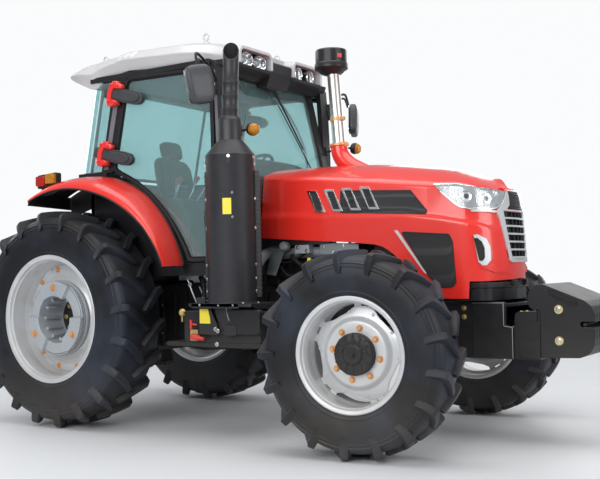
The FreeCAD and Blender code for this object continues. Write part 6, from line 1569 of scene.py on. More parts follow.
# Right side under the cab: bracket for the exhaust, grey plate with a yellow panel, tank, shut-off with a red handle
sideBox = [slab(roundCorners([(1.235, 0.700), (1.935, 0.700), (1.935, 0.930), (1.235, 0.930)], 0.02), "xz", -0.955, -0.700),
           slab(roundCorners([(1.235, 0.645), (1.925, 0.645), (1.925, 0.940), (1.235, 0.940)], 0.02), "xz", -0.755, -0.325),
           slab(roundCorners([(1.655, 0.705), (1.795, 0.705), (1.795, 0.795), (1.655, 0.795)], 0.01), "xz", -0.42, -0.25),
           slab(roundCorners([(1.690, 0.765), (1.960, 0.772), (1.960, 0.945), (1.690, 0.945)], 0.03), "xz", -1.000, -0.950),
           lathe([(-0.96, 0), (-0.96, 0.020), (-0.95, 0.115), (-0.72, 0.120), (-0.70, 0)], (1.600, 0, 0.925), (0, 1, 0), 40)]
makePiece("sideBoxes", pile(*sideBox), "chassis", materials["satinBlack"], ("battery_box",), bevel=0.006)
greyPlatesAndShadeFill = [slab([(1.412, 0.762), (1.583, 0.762), (1.583, 0.826), (1.548, 0.890), (1.519, 0.950), (1.412, 0.950)], "xz", -0.998, -0.990),
              slab(roundCorners([(1.650, 0.760), (1.758, 0.760), (1.758, 0.832), (1.650, 0.832)], 0.006), "xz", -1.004, -0.955),
              slab(roundCorners([(1.360, -1.058), (1.930, -1.058), (1.930, -0.720), (1.360, -0.720)], 0.015), "xy", 0.966, 0.9895),
              slab([(1.392, -1.058), (1.820, -1.058), (1.820, -1.048), (1.392, -1.048)], "xy", 0.955, 0.989),
              slab([(1.430, 0.988), (1.512, 0.988), (1.512, 1.032), (1.430, 1.032)], "xz", -1.046, -1.036)]
# painted shade: a dark slab that fills the gap between the plates and the box, standing for the shadow there
greyPlatesAndShadeFill.append(slab([(1.575, 0.765), (1.700, 0.765), (1.700, 0.958), (1.530, 0.958), (1.575, 0.845)], "xz", -0.975, -0.960))
makePiece("sidePlatesAndShadeFill", pile(*greyPlatesAndShadeFill), "chassis", materials["charcoal"], bevel=0.002)
yellow = slab([(1.424, 0.842), (1.522, 0.842), (1.518, 0.885), (1.500, 0.948), (1.424, 0.948)], "xz", -1.0025, -0.998)
makePiece("yellowPanel", yellow, "chassis", materials["labelYellow"], bevel=0.0008)
handle = [tube([(1.348, -1.010, 0.868), (1.350, -1.012, 0.800)], 0.011, 10, (0, 1, 0)), tube([(1.350, -1.012, 0.835), (1.392, -0.995, 0.833)], 0.007, 8),
          moved(lathe([(0, 0), (0, 0.022), (0.060, 0.022), (0.085, 0.013), (0.115, 0.013), (0.120, 0)], (0, 0, 0), (1, 0, 0), 20), (1.345, -1.000, 0.745),
                turnAbout((0, 1, 0), 8))]
makePiece("shutOffHandle", pile(*handle), "chassis", materials["signalRed"], bevel=0.001)
brass = [slab(roundCorners([(1.322, 0.714), (1.392, 0.714), (1.392, 0.795), (1.322, 0.795)], 0.008), "xz", -0.990, -0.966),
         boltsAt([(1.142, -0.86, 0.913)], (0.3, -1, 0), 0.020), lathe([(0, 0), (0, 0.012), (0.05, 0.012), (0.05, 0)], (1.142, -0.86, 0.893), (0, 0, -1), 12)]
makePiece("brassFittings", pile(*brass), "chassis", materials["zincYellow"], bevel=0.001)
sideBolts = [boltsAt([(1.565, -1.000, 0.803), (1.588, -1.000, 0.790)], (0, -1, 0), 0.012), boltsAt([(1.547, -0.960, 0.690)], (0, -1, 0), 0.013),
             boltsAt([(1.470, -1.058, 0.978), (1.640, -1.058, 0.978), (1.770, -1.058, 0.978)], (0, -1, 0), 0.006),
             boltsAt([(1.70, -1.03, 0.990), (1.84, -1.03, 0.990), (1.88, -0.90, 0.990)], (0, 0, 1), 0.008)]
makePiece("sideBolts", pile(*sideBolts), "chassis", materials["brightSteel"])
step = [slab(roundCorners([(1.060, 0.668), (1.950, 0.668), (1.950, 0.700), (1.060, 0.700)], 0.01), "xz", -0.955, -0.60),
        slab(roundCorners([(1.060, 0.690), (1.240, 0.690), (1.240, 0.860), (1.120, 0.900), (1.060, 0.860)], 0.02), "xz", -0.70, -0.45)]
makePiece("lowerTray", pile(*step), "chassis", materials["satinBlack"], bevel=0.004)
hoses = []
for x, y, low, high, bow in ((1.16, -0.66, 0.74, 1.24, 0.06), (1.22, -0.62, 0.72, 1.22, -0.05), (1.30, -0.60, 0.76, 1.22, 0.07), (1.10, -0.58, 0.80, 1.20, 0.10),
                             (1.38, -0.66, 0.80, 1.22, -0.04), (1.02, -0.50, 0.76, 1.18, 0.08)):
    z = np.linspace(high, low, 5)
    path = np.stack([x + bow * np.sin(np.linspace(0, 3.6, 5)), y - 0.03 * np.sin(np.linspace(0, 3.1, 5)), z], 1)
    hoses.append(tube(smoothPath(path, 6), 0.011, 10, (0, 1, 0)))
makePiece("sideHoses", pile(*hoses), "chassis", materials["sealRubber"])
tubes = [tube(smoothPath([(1.00, -0.62, 1.16), (1.08, -0.64, 1.02), (1.14, -0.66, 0.96), (1.26, -0.66, 0.93), (1.34, -0.62, 0.90)], 6), 0.006, 8, (0, 1, 0)),
         tube(smoothPath([(1.06, -0.55, 1.10), (1.16, -0.60, 1.00), (1.24, -0.64, 1.00), (1.32, -0.64, 0.98)], 6), 0.006, 8, (0, 1, 0)),
         boltsAt([(1.193, -0.66, 1.012), (1.246, -0.67, 0.947), (1.02, -0.62, 1.12)], (0, -1, 0), 0.013)]
arc = smoothPath([(1.652, -0.978, 0.958), (1.660, -0.978, 0.905), (1.678, -0.978, 0.862), (1.702, -0.978, 0.832)], 6)
tubes.append(tube(arc, 0.0028, 6, (0, 1, 0)))
makePiece("sidePipes", pile(*tubes), "chassis", materials["galvanised"])
print("right side built")

# Left side: fuel tank with a filler cap and straps, two-tread step
tankOutline = roundCorners([(0.362, 0.562), (0.978, 0.562), (0.978, 0.900), (0.900, 0.986), (0.362, 0.986)], [0.06, 0.07, 0.06, 0.05, 0.04], 6)
makePiece("tankBody", pile(slab(tankOutline, "yz", 0.904, 1.926), slab([(1.655, 0.705), (1.795, 0.705), (1.795, 0.795), (1.655, 0.795)], "xz", 0.25, 0.37)),
          "chassis", materials["blackPlastic"], ("fuel_tank",), bevel=0.018)
strapLine = roundCorners([(0.358, 0.558), (0.982, 0.558), (0.982, 0.903), (0.903, 0.990), (0.358, 0.990)], [0.06, 0.07, 0.06, 0.05, 0.04], 6)
strapInner = roundCorners([(0.364, 0.564), (0.976, 0.564), (0.976, 0.898), (0.898, 0.984), (0.364, 0.984)], [0.06, 0.07, 0.06, 0.05, 0.04], 6)
straps = [hoop(strapLine, strapInner, "yz", x, x + 0.045) for x in (1.08, 1.70)]
makePiece("tankStraps", pile(*straps), "chassis", materials["galvanised"])
cap = [(0, 0), (0, 0.052), (0.018, 0.054), (0.022, 0.062), (0.048, 0.062), (0.056, 0.052), (0.058, 0)]
makePiece("tankCap", lathe(cap, (1.05, 0.86, 0.955), (0, 0.45, 1), 36), "chassis", materials["sealRubber"])
treads = []
for z, reach_ in ((0.420, 1.098), (0.700, 1.060)):
    treads += [hoop([(1.332, 0.984), (1.828, 0.984), (1.828, reach_), (1.332, reach_)], [(1.350, 0.996), (1.810, 0.996), (1.810, reach_ - 0.014), (1.350, reach_ - 0.014)],
                    "xy", z, z + 0.030)]
    treads += [slab([(x, 0.990), (x + 0.010, 0.990), (x + 0.010, reach_ - 0.006), (x, reach_ - 0.006)], "xy", z + 0.006, z + 0.026)
               for x in np.linspace(1.39, 1.76, 8)]
for x in (1.332, 1.802):
    treads.append(slab(roundCorners([(0.984, 0.420), (1.098, 0.420), (1.098, 0.450), (1.062, 0.730), (0.984, 0.900)], 0.012), "yz", x, x + 0.026))
makePiece("stepTreads", pile(*treads), "chassis", materials["satinBlack"], bevel=0.003)
railPath = smoothPath([(1.60, 0.80, 1.30), (1.62, 0.86, 1.36), (1.62, 0.87, 1.70), (1.60, 0.80, 1.80)], 8)
makePiece("grabRails", bothSides(tube(railPath, 0.014, 12, (1, 0, 0))), "chassis", materials["satinBlack"])
print("left side built")

# Engine: crankcase, head, covers and what shows between the exhaust and the front wheel
engineParts = [slab(roundCorners([(1.604, 0.70), (1.70, 0.615), (2.30, 0.615), (2.396, 0.70), (2.396, 1.10), (1.604, 1.10)], 0.03), "xz", -0.20, 0.20),
               slab(roundCorners([(1.610, 1.09), (2.390, 1.09), (2.390, 1.30), (1.610, 1.30)], 0.02), "xz", -0.235, 0.235),
               slab(roundCorners([(1.64, 1.29), (2.34, 1.29), (2.34, 1.415), (1.64, 1.415)], 0.035), "xz", -0.17, 0.17)]
for x in np.linspace(1.70, 2.30, 6):
    engineParts.append(slab(roundCorners([(x - 0.040, 1.105), (x + 0.040, 1.105), (x + 0.040, 1.29), (x - 0.040, 1.29)], 0.012), "xz", -0.248, 0.248))
    engineParts.append(lathe([(0, 0), (0, 0.030), (0.020, 0.034), (0.032, 0.026), (0.034, 0)], (x, -0.20, 0.93), (0, -1, 0), 20))
for _, side in sides:
    engineParts.append(slab(roundCorners([(1.66, 0.86), (2.34, 0.86), (2.34, 1.03), (1.66, 1.03)], 0.03), "xz", *sorted((side * 0.20, side * 0.235))))
makePiece("engineCasting", pile(*engineParts), "chassis", materials["castBlack"], ("engine_block",), bevel=0.004)
manifold = [tube(smoothPath([(1.66, -0.245, 1.34), (1.72, -0.29, 1.345), (2.00, -0.30, 1.35), (2.30, -0.29, 1.345)], 6), 0.042, 18)]
manifold += [tube([(x, -0.15, 1.345), (x, -0.295, 1.348)], 0.026, 14, (1, 0, 0)) for x in (1.76, 1.88, 2.00, 2.12, 2.24)]
manifold.append(tube(smoothPath([(1.70, -0.29, 1.36), (1.60, -0.33, 1.36), (1.575, -0.42, 1.32), (1.58, -0.52, 1.22), (1.62, -0.62, 1.10), (1.655, -0.72, 1.03)], 6), 0.044, 18))
manifold.append(slab(roundCorners([(-0.42, 0.640), (-0.26, 0.640), (-0.26, 0.78), (-0.42, 0.78)], 0.04), "yz", 2.02, 2.24))
makePiece("engineManifold", pile(*manifold), "chassis", materials["castGrey"], bevel=0.003)
shieldGrid = np.array([[(1.561, -0.345, 1.190), (1.637, -0.360, 1.392)], [(1.600, -0.368, 1.186), (1.690, -0.382, 1.384)], [(1.671, -0.370, 1.178), (1.768, -0.384, 1.372)]])
makePiece("heatShield", shell(shieldGrid, 0.004), "chassis", materials["galvanised"], bevel=0.001)
silver = [lathe([(0, 0), (0, 0.030), (0.015, 0.036), (0.060, 0.036), (0.075, 0.028), (0.076, 0)], (1.770, -0.345, 1.398), (0, -1, 0.1), 24),
          slab(roundCorners([(1.872, 1.342), (2.002, 1.342), (1.996, 1.408), (1.872, 1.406)], 0.010), "xz", -0.40, -0.32)]
makePiece("engineSensors", pile(*silver), "chassis", materials["hubPaint"], bevel=0.003)
plates_ = [slab(roundCorners([(2.098, 1.330), (2.098, 1.405), (2.236, 1.413), (2.428, 1.402), (2.428, 1.312), (2.233, 1.303), (2.160, 1.330)], 0.008), "xz", -0.402, -0.392)]
plates_ += [slab(roundCorners([(2.10, 1.20), (2.42, 1.20), (2.42, 1.30), (2.10, 1.30)], 0.01), "xz", -0.36, -0.352)]
makePiece("enginePlates", pile(*plates_), "chassis", materials["castGrey"], bevel=0.002)
makePiece("enginePlateBolts", boltsAt([(x, -0.402, z) for x, z in ((2.13, 1.385), (2.21, 1.345), (2.30, 1.39), (2.40, 1.335), (1.90, 1.39), (1.98, 1.36))], (0, -1, 0), 0.010),
          "chassis", materials["brightSteel"])
makePiece("dipstickTag", slab(roundCorners([(1.978, 1.252), (2.004, 1.252), (2.014, 1.308), (1.984, 1.308)], 0.004), "xz", -0.402, -0.392), "chassis",
          materials["labelYellow"], bevel=0.001)
lines = []
for n, (x0, x1, z0, z1, y) in enumerate(((1.62, 1.98, 1.30, 1.36, -0.34), (1.68, 1.90, 1.24, 1.20, -0.33), (1.80, 2.10, 1.32, 1.26, -0.36), (1.95, 2.30, 1.22, 1.30, -0.33),
                                         (2.05, 2.36, 1.14, 1.20, -0.30), (1.62, 1.80, 1.14, 1.05, -0.30), (1.85, 2.20, 1.06, 1.12, -0.28))):
    path = [(x0, y + 0.09, z0 + 0.02), (x0 + 0.02, y, z0), ((x0 + x1) / 2, y - 0.03, (z0 + z1) / 2 - 0.05), (x1 - 0.02, y, z1), (x1, y + 0.09, z1 + 0.03)]
    lines.append(tube(smoothPath(path, 6), 0.010 + 0.003 * (n % 3), 10))
makePiece("engineHoses", pile(*lines), "chassis", materials["sealRubber"])
fan = [lathe([(0, 0), (0, 0.030), (0.040, 0.030), (0.040, 0)], (2.400, 0, 1.12), (1, 0, 0), 20),
       lathe([(0, 0.22), (0, 0.30), (0.05, 0.30), (0.05, 0.22)], (2.44, 0, 1.14), (1, 0, 0), 40)]
radiator = [slab(roundCorners([(-0.33, 0.985), (0.33, 0.985), (0.33, 1.62), (-0.33, 1.62)], 0.02), "yz", 2.52, 2.66)]
radiator += [slab([(-0.34, z), (0.34, z), (0.34, z + 0.03), (-0.34, z + 0.03)], "yz", 2.51, 2.67) for z in (0.985, 1.60)]
makePiece("coolingPack", pile(*fan, *radiator), "chassis", materials["castBlack"], bevel=0.003)
print("engine built")

# Transmission and rear axle: stepped housings with flanges, ribs and bolt rows
gearParts = [slab(roundCorners([(0.352, 0.62), (0.80, 0.562), (1.40, 0.600), (1.598, 0.66), (1.598, 1.08), (1.30, 1.128), (0.60, 1.128), (0.352, 1.10)], 0.03), "xz", -0.19, 0.19)]
for x in (0.356, 0.80, 1.20, 1.560):
    gearParts.append(slab(roundCorners([(-0.218, 0.575), (0.218, 0.575), (0.218, 1.120), (-0.218, 1.120)], 0.06), "yz", x, x + 0.034))
gearParts += [slab([(x, 0.70), (x + 0.016, 0.70), (x + 0.016, 1.05), (x, 1.05)], "xz", -0.208, 0.208) for x in (0.50, 0.62, 0.95, 1.07, 1.34, 1.46)]
gearParts.append(slab([(1.384, 1.10), (1.476, 1.10), (1.476, 1.1895), (1.384, 1.1895)], "xz", -0.21, 0.21))
makePiece("gearCasting", pile(*gearParts), "chassis", materials["castBlack"], ("transmission_housing",), bevel=0.004)
gearBolts = [boltsAt([(x, side * 0.21, z) for x in (0.373, 0.817, 1.217, 1.577) for z in (0.70, 0.82, 0.94, 1.06)], (0, side, 0), 0.011) for _, side in sides]
makePiece("gearBolts", pile(*gearBolts), "chassis", materials["zincYellow"])
axleShape = [(-0.823, 0), (-0.823, 0.150), (-0.800, 0.158), (-0.780, 0.158), (-0.760, 0.128), (-0.55, 0.112), (-0.36, 0.135), (-0.30, 0.19), (-0.28, 0.21), (-0.262, 0.21),
             (-0.262, 0)]
rearParts = [moved(lathe(axleShape, (0, 0, rearZ), (0, 1, 0), 48), scale=(1, s, 1)) for s in (1, -1)]
rearParts.append(slab(roundCorners([(-0.326, 0.62), (-0.25, 0.545), (0.346, 0.545), (0.346, 1.146), (-0.22, 1.146), (-0.326, 1.05)], 0.05), "xz", -0.262, 0.262))
rearParts.append(slab([(0.064, 1.13), (0.176, 1.13), (0.176, 1.1895), (0.064, 1.1895)], "xz", -0.25, 0.25))
rearParts.append(slab(roundCorners([(-0.336, 0.70), (-0.30, 0.70), (-0.30, 1.02), (-0.336, 1.02)], 0.006), "xz", -0.20, 0.20))
rearParts.append(slab(roundCorners([(-0.618, -0.043), (0.248, -0.043), (0.248, 0.043), (-0.618, 0.043)], 0.02), "xy", 0.402, 0.443))
rearParts.append(slab(roundCorners([(-0.28, 0.405), (0.24, 0.405), (0.20, 0.56), (-0.24, 0.56)], 0.02), "xz", -0.09, 0.09))
rearParts.append(lathe([(-0.324, 0), (-0.324, 0.085), (-0.350, 0.080), (-0.356, 0.050), (-0.356, 0)], (0, 0, 0.640), (1, 0, 0), 32))
rearParts += [slab([(x, 0.58), (x + 0.02, 0.58), (x + 0.02, 1.12), (x, 1.12)], "xz", -0.276, 0.276) for x in (-0.20, -0.06, 0.08, 0.22)]
makePiece("rearCasting", pile(*rearParts), "chassis", materials["castBlack"], ("rear_axle_housing",), bevel=0.004)
bright = [lathe([(-0.415, 0), (-0.415, 0.014), (-0.410, 0.0174), (-0.340, 0.0174), (-0.340, 0)], (0, 0, 0.640), (1, 0, 0), 12),
          lathe([(0.39, 0), (0.39, 0.018), (0.452, 0.018), (0.452, 0)], (-0.580, 0, 0), (0, 0, 1), 20),
          lathe([(-0.33, 0), (-0.33, 0.020), (0.33, 0.020), (0.33, 0)], (-0.080, 0, 0.560), (0, 1, 0), 20)]
makePiece("rearShafts", pile(*bright), "chassis", materials["brightSteel"])
rearBolts = [boltsAt(circlePoints((0, side * 0.262, rearZ), 0.192, 12, (0, side, 0)), (0, side, 0), 0.012) for _, side in sides]
rearBolts.append(boltsAt([(-0.336, y, z) for y in (-0.17, -0.06, 0.06, 0.17) for z in (0.73, 0.99)], (-1, 0, 0), 0.012))
makePiece("rearBolts", pile(*rearBolts), "chassis", materials["zincYellow"])
linkParts, rods = [], []
for _, side in sides:
    lowerLine = roundCorners([(-0.040, 0.535), (-0.040, 0.590), (-0.40, 0.572), (-0.95, 0.530), (-1.040, 0.528), (-1.040, 0.472), (-0.95, 0.474), (-0.40, 0.518)], 0.02)
    linkParts.append(slab(lowerLine, "xz", *sorted((side * 0.288, side * 0.312))))
    for x, z in ((-0.080, 0.560), (-1.000, 0.500)):
        linkParts.append(lathe([(-0.028, 0), (-0.028, 0.036), (-0.020, 0.042), (0.020, 0.042), (0.028, 0.036), (0.028, 0)], (x, side * 0.300, z), (0, 1, 0), 28))
makePiece("lowerLinkBars", pile(*linkParts), "chassis", materials["castBlack"], ("lower_links",), bevel=0.003)
linkage = []
for _, side in sides:
    armLine = roundCorners([(-0.150, 1.060), (-0.150, 1.140), (-0.230, 1.145), (-0.560, 1.215), (-0.590, 1.180), (-0.560, 1.150), (-0.230, 1.055)], 0.02)
    linkage.append(slab(armLine, "xz", *sorted((side * 0.292, side * 0.330))))
    linkage.append(lathe([(-0.04, 0), (-0.04, 0.062), (0.04, 0.062), (0.04, 0)], (-0.180, side * 0.312, 1.100), (0, 1, 0), 32))
    linkage.append(tube([(-0.560, side * 0.340, 1.170), (-0.560, side * 0.340, 0.88)], 0.015, 12, (0, 1, 0)))
    linkage.append(tube([(-0.560, side * 0.340, 0.90), (-0.560, side * 0.340, 0.68)], 0.024, 14, (0, 1, 0)))
    linkage.append(tube([(-0.560, side * 0.330, 0.69), (-0.560, side * 0.318, 0.545)], 0.014, 12, (0, 1, 0)))
    for z in (0.548, 1.180):
        linkage.append(lathe([(-0.022, 0), (-0.022, 0.030), (0.022, 0.030), (0.022, 0)], (-0.560, side * 0.330, z), (0, 1, 0), 24))
    rods.append(tube([(-0.30, side * 0.20, 0.62), (-0.56, side * 0.30, 0.54)], 0.010, 10))
linkage.append(lathe([(-0.292, 0), (-0.292, 0.045), (0.292, 0.045), (0.292, 0)], (-0.180, 0, 1.100), (0, 1, 0), 28))
makePiece("liftArms", pile(*linkage), "chassis", materials["castBlack"], ("lift_linkage",), bevel=0.003)
makePiece("checkChains", pile(*rods), "chassis", materials["galvanised"])
print("rear built")
# Dash shelf behind the windscreen, sun shade and a pale grab rail at the left door
dash = pillow((1.285, 0, 2.020), (0.135, 0.600, 0.112), (6, 3), None, 40, 60)
makePiece("dashShelf", dash, "chassis", materials["sealRubber"])
shade = moved(slab(roundCorners([(-0.178, -0.052), (0.178, -0.052), (0.178, 0.052), (-0.178, 0.052)], 0.012), "yz", -0.004, 0.004), (1.300, -0.046, 2.697), turnAbout((0, 1, 0), -8))
makePiece("sunShade", shade, "chassis", materials["shadeGreen"], bevel=0.002)
railPoints = smoothPath([(0.900, 0.640, 2.800), (1.016, 0.632, 2.767), (1.175, 0.628, 2.570), (1.288, 0.625, 2.360), (1.330, 0.625, 2.220), (1.338, 0.630, 2.10)], 8)
makePiece("doorRail", tube(railPoints, 0.011, 12, (0, 1, 0)), "chassis", materials["rimPaint"])

# Seat: bolstered pads that swell by cloth, on a suspension with a pleated skirt
seat = dict(x=0.620, low=1.640, voxel=0.006, pressure=4.0, cap=0.024, frames=20)


def padForm(half, power=(4.5, 3.0), crown=0.0, rows=22, columns=34):
    points, faces = pillow((0, 0, 0), half, power, None, rows, columns)
    bulge = 1 - (points[:, 0] / half[0]) ** 2
    points[:, 2] += crown * bulge * (1 - (points[:, 1] / half[1]) ** 2) * (points[:, 2] > 0)
    return points, faces


backTilt = turnAbout((0, 1, 0), -12)
seatPads = [
    ("seatCushion", padForm((0.215, 0.205, 0.048), crown=0.016), (0.615, 0, 1.722), turnAbout((0, 1, 0), -4)),
    ("seatBack", padForm((0.045, 0.200, 0.235), (3.2, 4.2)), (0.392, 0, 1.985), backTilt),
    ("seatHead", padForm((0.038, 0.135, 0.078), (3.0, 4.0)), (0.318, 0, 2.290), backTilt)]


def swell(piece):
    # cloth pressure on a remeshed copy, then each point's travel is capped: rest + move * min(1, cap / length)
    remesh = piece.modifiers.new("remesh", "REMESH")
    remesh.mode = "VOXEL"
    remesh.voxel_size = seat["voxel"]
    bpy.context.view_layer.objects.active = piece
    piece.select_set(True)
    bpy.ops.object.modifier_apply(modifier="remesh")
    rest = np.empty(len(piece.data.vertices) * 3)
    piece.data.vertices.foreach_get("co", rest)
    rest = rest.reshape(-1, 3)
    cloth = piece.modifiers.new("cloth", "CLOTH")
    cloth.settings.use_pressure = True
    cloth.settings.uniform_pressure_force = seat["pressure"]
    cloth.settings.effector_weights.gravity = 0
    cloth.point_cache.frame_start = 1
    cloth.point_cache.frame_end = seat["frames"]
    for step in range(1, seat["frames"] + 1):
        bpy.context.scene.frame_set(step)
    bpy.ops.object.modifier_apply(modifier="cloth")
    piece.select_set(False)
    bpy.context.scene.frame_set(1)
    swollen = np.empty(len(piece.data.vertices) * 3)
    piece.data.vertices.foreach_get("co", swollen)
    move = swollen.reshape(-1, 3) - rest
    length = np.maximum(np.linalg.norm(move, axis=1), 1e-9)
    move *= np.minimum(1, seat["cap"] / length)[:, None]
    piece.data.vertices.foreach_set("co", (rest + move).reshape(-1))
    piece.data.update()
    piece.data.shade_smooth()


for name, part, offset, matrix in seatPads:
    pad = makePiece(name, moved(part, offset, matrix), "chassis", materials["seatCloth"], ("seat",) if name == "seatCushion" else ())
    swell(pad)
    smoother = pad.modifiers.new("smoother", "SUBSURF")
    smoother.levels = smoother.render_levels = 1
piping, seatParts = [], []
ring = smoothPath([(0.83, -0.19, 1.725), (0.84, 0, 1.728), (0.83, 0.19, 1.725), (0.62, 0.215, 1.715), (0.42, 0.19, 1.70), (0.40, 0, 1.695), (0.42, -0.19, 1.70),
                   (0.62, -0.215, 1.715)], 8, True)
piping.append(tube(np.concatenate([ring, ring[:1]]), 0.006, 8))
makePiece("seatPiping", pile(*piping), "chassis", materials["sealRubber"])
seatParts.append(moved(pillow((0, 0, 0), (0.235, 0.225, 0.022), (5, 5)), (0.615, 0, 1.662)))
seatParts.append(moved(pillow((0, 0, 0), (0.020, 0.205, 0.250), (5, 5)), (0.335, 0, 1.985), backTilt))
for n in range(7):
    seatParts.append(moved(pillow((0, 0, 0), (0.165 - 0.004 * (n % 2), 0.165 - 0.004 * (n % 2), 0.020), (6, 3)), (0.620, 0, 1.500 + 0.024 * n)))
seatParts.append(slab(roundCorners([(0.42, -0.20), (0.82, -0.20), (0.82, 0.20), (0.42, 0.20)], 0.04), "xy", 1.2505, 1.490))
for _, side in sides:
    rest = pillow((0, 0, 0), (0.150, 0.030, 0.024), (4, 4))
    seatParts.append(moved(rest, (0.600, side * 0.275, 1.915), turnAbout((0, 1, 0), -4)))
    seatParts.append(tube([(0.43, side * 0.275, 1.74), (0.47, side * 0.275, 1.905)], 0.016, 10, (1, 0, 0)))
seatParts.append(tube([(0.375, -0.05, 2.16), (0.335, -0.05, 2.26)], 0.009, 8, (0, 1, 0)))
seatParts.append(tube([(0.375, 0.05, 2.16), (0.335, 0.05, 2.26)], 0.009, 8, (0, 1, 0)))
makePiece("seatShells", pile(*seatParts), "chassis", materials["blackPlastic"], bevel=0.003)
print("seat built")

# Steering wheel with spokes on a dash, side console with levers, floor mat and pedals
wheelHub = np.array([1.180, 0, 2.070])
wheelAxis = np.array([-0.5, 0, 0.866])
across = axesFrom(wheelAxis)
t = np.linspace(0, 2 * np.pi, 49)
rim = wheelHub + 0.197 * (np.outer(np.cos(t), across[:, 0]) + np.outer(np.sin(t), across[:, 1]))
steering = [tube(rim, 0.0145, 12, tuple(wheelAxis))]
for angle in (90, 210, 330):
    a = math.radians(angle)
    direction = math.cos(a) * across[:, 0] + math.sin(a) * across[:, 1]
    steering.append(tube([wheelHub - wheelAxis * 0.02 + direction * 0.03, wheelHub - wheelAxis * 0.008 + direction * 0.12, wheelHub + direction * 0.190], (0.016, 0.012, 0.010), 8,
                         tuple(wheelAxis)))
steering.append(lathe([(-0.045, 0), (-0.045, 0.040), (-0.010, 0.052), (0.006, 0.050), (0.012, 0.034), (0.014, 0)], wheelHub, wheelAxis, 28))
steering.append(lathe([(0, 0), (0, 0.036), (0.28, 0.045), (0.28, 0)], wheelHub - wheelAxis * 0.04, -wheelAxis, 20))
dash = roundCorners([(1.285, 1.252), (1.528, 1.252), (1.528, 1.905), (1.470, 1.965), (1.330, 1.930), (1.240, 1.845), (1.300, 1.780)], 0.03)
steering.append(slab(dash, "xz", -0.175, 0.175))
steering.append(slab(roundCorners([(1.39, 1.90), (1.47, 1.975), (1.52, 1.955), (1.525, 1.80)], 0.02), "xz", -0.42, 0.42))
makePiece("steeringGroup", pile(*steering), "chassis", materials["interiorGrey"], ("steering_column",), bevel=0.004)
console = [slab(roundCorners([(0.30, 1.255), (1.02, 1.255), (1.04, 1.62), (0.95, 1.80), (0.60, 1.84), (0.30, 1.80)], 0.05), "xz", -0.62, -0.36),
           slab(roundCorners([(0.30, 1.255), (0.80, 1.255), (0.78, 1.72), (0.30, 1.78)], 0.05), "xz", 0.40, 0.62),
           slab(roundCorners([(0.10, -0.60), (1.50, -0.60), (1.50, 0.60), (0.10, 0.60)], 0.05), "xy", 1.2505, 1.258)]
makePiece("sideConsoles", pile(*console), "chassis", materials["interiorGrey"], bevel=0.012)
levers, grips = [], []
for x, y, lean, finish in ((0.94, -0.42, 0.12, 0), (0.90, -0.49, 0.10, 0), (0.80, -0.55, 0.08, 0), (0.72, -0.46, 0.05, 0), (1.12, 0.30, 0.20, 0)):
    foot = np.array([x, y, 1.78])
    head = foot + (lean, 0, 0.17)
    levers.append(tube([foot, (foot + head) / 2 + (0.01, 0, 0), head], 0.0065, 8, (0, 1, 0)))
    grips.append(lathe([(-0.02, 0), (-0.02, 0.011), (0.0, 0.016), (0.022, 0.018), (0.036, 0.012), (0.040, 0)], head, head - foot, 16))
makePiece("leverRods", pile(*levers), "chassis", materials["brightSteel"])
makePiece("leverGrips", pile(*grips), "chassis", materials["signalRed"])
pedals = [slab(roundCorners([(1.22, y), (1.30, y), (1.30, y + 0.07), (1.22, y + 0.07)], 0.01), "xy", 1.395, 1.408) for y in (-0.28, -0.19, 0.16)]
pedals += [tube([(1.26, y + 0.035, 1.400), (1.34, y + 0.035, 1.33), (1.44, y + 0.035, 1.31)], 0.008, 8, (0, 1, 0)) for y in (-0.28, -0.19, 0.16)]
makePiece("pedals", pile(*pedals), "chassis", materials["satinBlack"], bevel=0.002)
print("cab inside built")


# Finish of the nodes that stay as they came

carried = {"steering_rod": "brightSteel", "cab_floor": "interiorGrey"}

for node, finish in carried.items():
    carriedPiece = bpy.data.objects.get(node)
    if carriedPiece is None:
        continue
    if not carriedPiece.material_slots:
        carriedPiece.data.materials.append(materials[finish])
    for materialSlot in carriedPiece.material_slots:
        materialSlot.material = materials[finish]

# Camera, lights and floor

camera = dict(place=(5.875, -6.475, 1.224), yaw=0.577, pitch=-0.031, roll=-0.020, focal=957.0, imageWidth=600)


def setCamera():
    # forward from yaw and pitch, then a roll of the two axes across it
    sy, cy = math.sin(camera["yaw"]), math.cos(camera["yaw"])
    sp, cp = math.sin(camera["pitch"]), math.cos(camera["pitch"])
    forward = np.array([-sy * cp, cy * cp, -sp])
    right = np.cross(forward, (0, 0, 1))
    right /= np.linalg.norm(right)
    up = np.cross(right, forward)
    c, s = math.cos(camera["roll"]), math.sin(camera["roll"])
    matrix = np.eye(4)
    matrix[:3, :3] = np.stack([c * right + s * up, -s * right + c * up, -forward], 1)
    matrix[:3, 3] = np.array(camera["place"]) + (rearX, 0, 0)
    lens = bpy.data.cameras.new("photoCamera")
    lens.sensor_width = 36.0
    lens.lens = camera["focal"] / camera["imageWidth"] * 36.0
    lens.clip_end = 200
    holder = bpy.data.objects.new("photoCamera", lens)
    bpy.context.scene.collection.objects.link(holder)
    holder.matrix_world = Matrix(matrix.tolist())
    bpy.context.scene.camera = holder


lights = [
    dict(name="overhead", place=(0.5, -1.0, 7.5), aim=(0.3, 0, 1.0), width=8.0, height=6.0, power=350),
    dict(name="rightSoft", place=(1.0, -8.5, 4.2), aim=(0.5, 0, 1.2), width=7.0, height=4.0, power=400),
    dict(name="frontSoft", place=(9.0, -1.0, 3.4), aim=(1.0, 0, 1.1), width=5.0, height=4.0, power=230),
    dict(name="leftFill", place=(0.0, 8.0, 4.0), aim=(0.3, 0, 1.2), width=6.0, height=4.0, power=160),
    dict(name="rearFill", place=(-8.5, 0.5, 4.2), aim=(-1.0, 0, 1.2), width=6.0, height=4.0, power=170)]


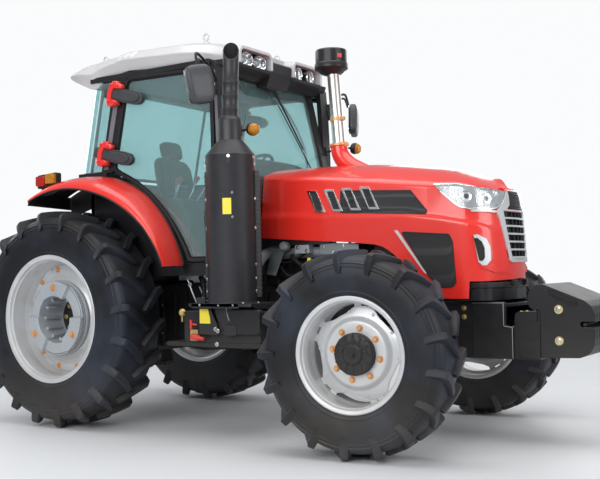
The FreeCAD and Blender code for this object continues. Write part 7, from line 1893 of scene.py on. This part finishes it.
def addLight(light):
    data = bpy.data.lights.new(light["name"], "AREA")
    data.shape = "RECTANGLE"
    data.size = light["width"]
    data.size_y = light["height"]
    data.energy = light["power"]
    lamp = bpy.data.objects.new(light["name"], data)
    bpy.context.scene.collection.objects.link(lamp)
    lamp.location = light["place"]
    direction = Vector(light["aim"]) - Vector(light["place"])
    lamp.rotation_euler = direction.to_track_quat("-Z", "Y").to_euler()


def setWorld():
    # camera and glass rays see white, and everything else gets plain grey light
    world = bpy.data.worlds.new("studio")
    bpy.context.scene.world = world
    world.use_nodes = True
    tree = world.node_tree
    tree.nodes.clear()
    out = tree.nodes.new("ShaderNodeOutputWorld")
    mix = tree.nodes.new("ShaderNodeMixShader")
    soft = tree.nodes.new("ShaderNodeBackground")
    pale = tree.nodes.new("ShaderNodeBackground")
    rays = tree.nodes.new("ShaderNodeLightPath")
    soft.inputs["Color"].default_value = (0.80, 0.83, 0.88, 1)
    soft.inputs["Strength"].default_value = 0.42
    pale.inputs["Color"].default_value = (0.96, 0.97, 0.98, 1)
    pale.inputs["Strength"].default_value = 1.0
    either = mathNode(tree, "MAXIMUM", rays.outputs["Is Camera Ray"], rays.outputs["Is Transmission Ray"])
    tree.links.new(either, mix.inputs["Fac"])
    tree.links.new(soft.outputs[0], mix.inputs[1])
    tree.links.new(pale.outputs[0], mix.inputs[2])
    tree.links.new(mix.outputs[0], out.inputs[0])


def floorMaterial():
    material = bpy.data.materials.new("paleFloor")
    material.use_nodes = True
    tree = material.node_tree
    shader = tree.nodes["Principled BSDF"]
    place = tree.nodes.new("ShaderNodeTexCoord")
    noise = tree.nodes.new("ShaderNodeTexNoise")
    noise.inputs["Scale"].default_value = 0.8
    noise.inputs["Detail"].default_value = 5.0
    ramp = tree.nodes.new("ShaderNodeValToRGB")
    ramp.color_ramp.elements[0].color = (0.66, 0.67, 0.68, 1)
    ramp.color_ramp.elements[1].color = (0.72, 0.73, 0.74, 1)
    tree.links.new(place.outputs["Object"], noise.inputs["Vector"])
    tree.links.new(noise.outputs["Fac"], ramp.inputs["Fac"])
    tree.links.new(ramp.outputs["Color"], shader.inputs["Base Color"])
    shader.inputs["Roughness"].default_value = 0.55
    return material


def makeFloor():
    # a level sheet sixty metres across, just under the ground
    t = np.linspace(-1, 1, 41)
    x, y = np.meshgrid(30 * t, 30 * t, indexing="ij")
    grid = np.stack([x, y, np.zeros_like(x) - 0.0005], -1)
    mesh = bpy.data.meshes.new("floor")
    mesh.from_pydata(grid.reshape(-1, 3).tolist(), [], gridFaces(41, 41))
    mesh.materials.append(floorMaterial())
    floor = bpy.data.objects.new("floor", mesh)
    bpy.context.scene.collection.objects.link(floor)


setCamera()
for light in lights:
    addLight(light)
setWorld()
makeFloor()
bpy.context.scene.view_settings.view_transform = "Standard"
print("scene finished")
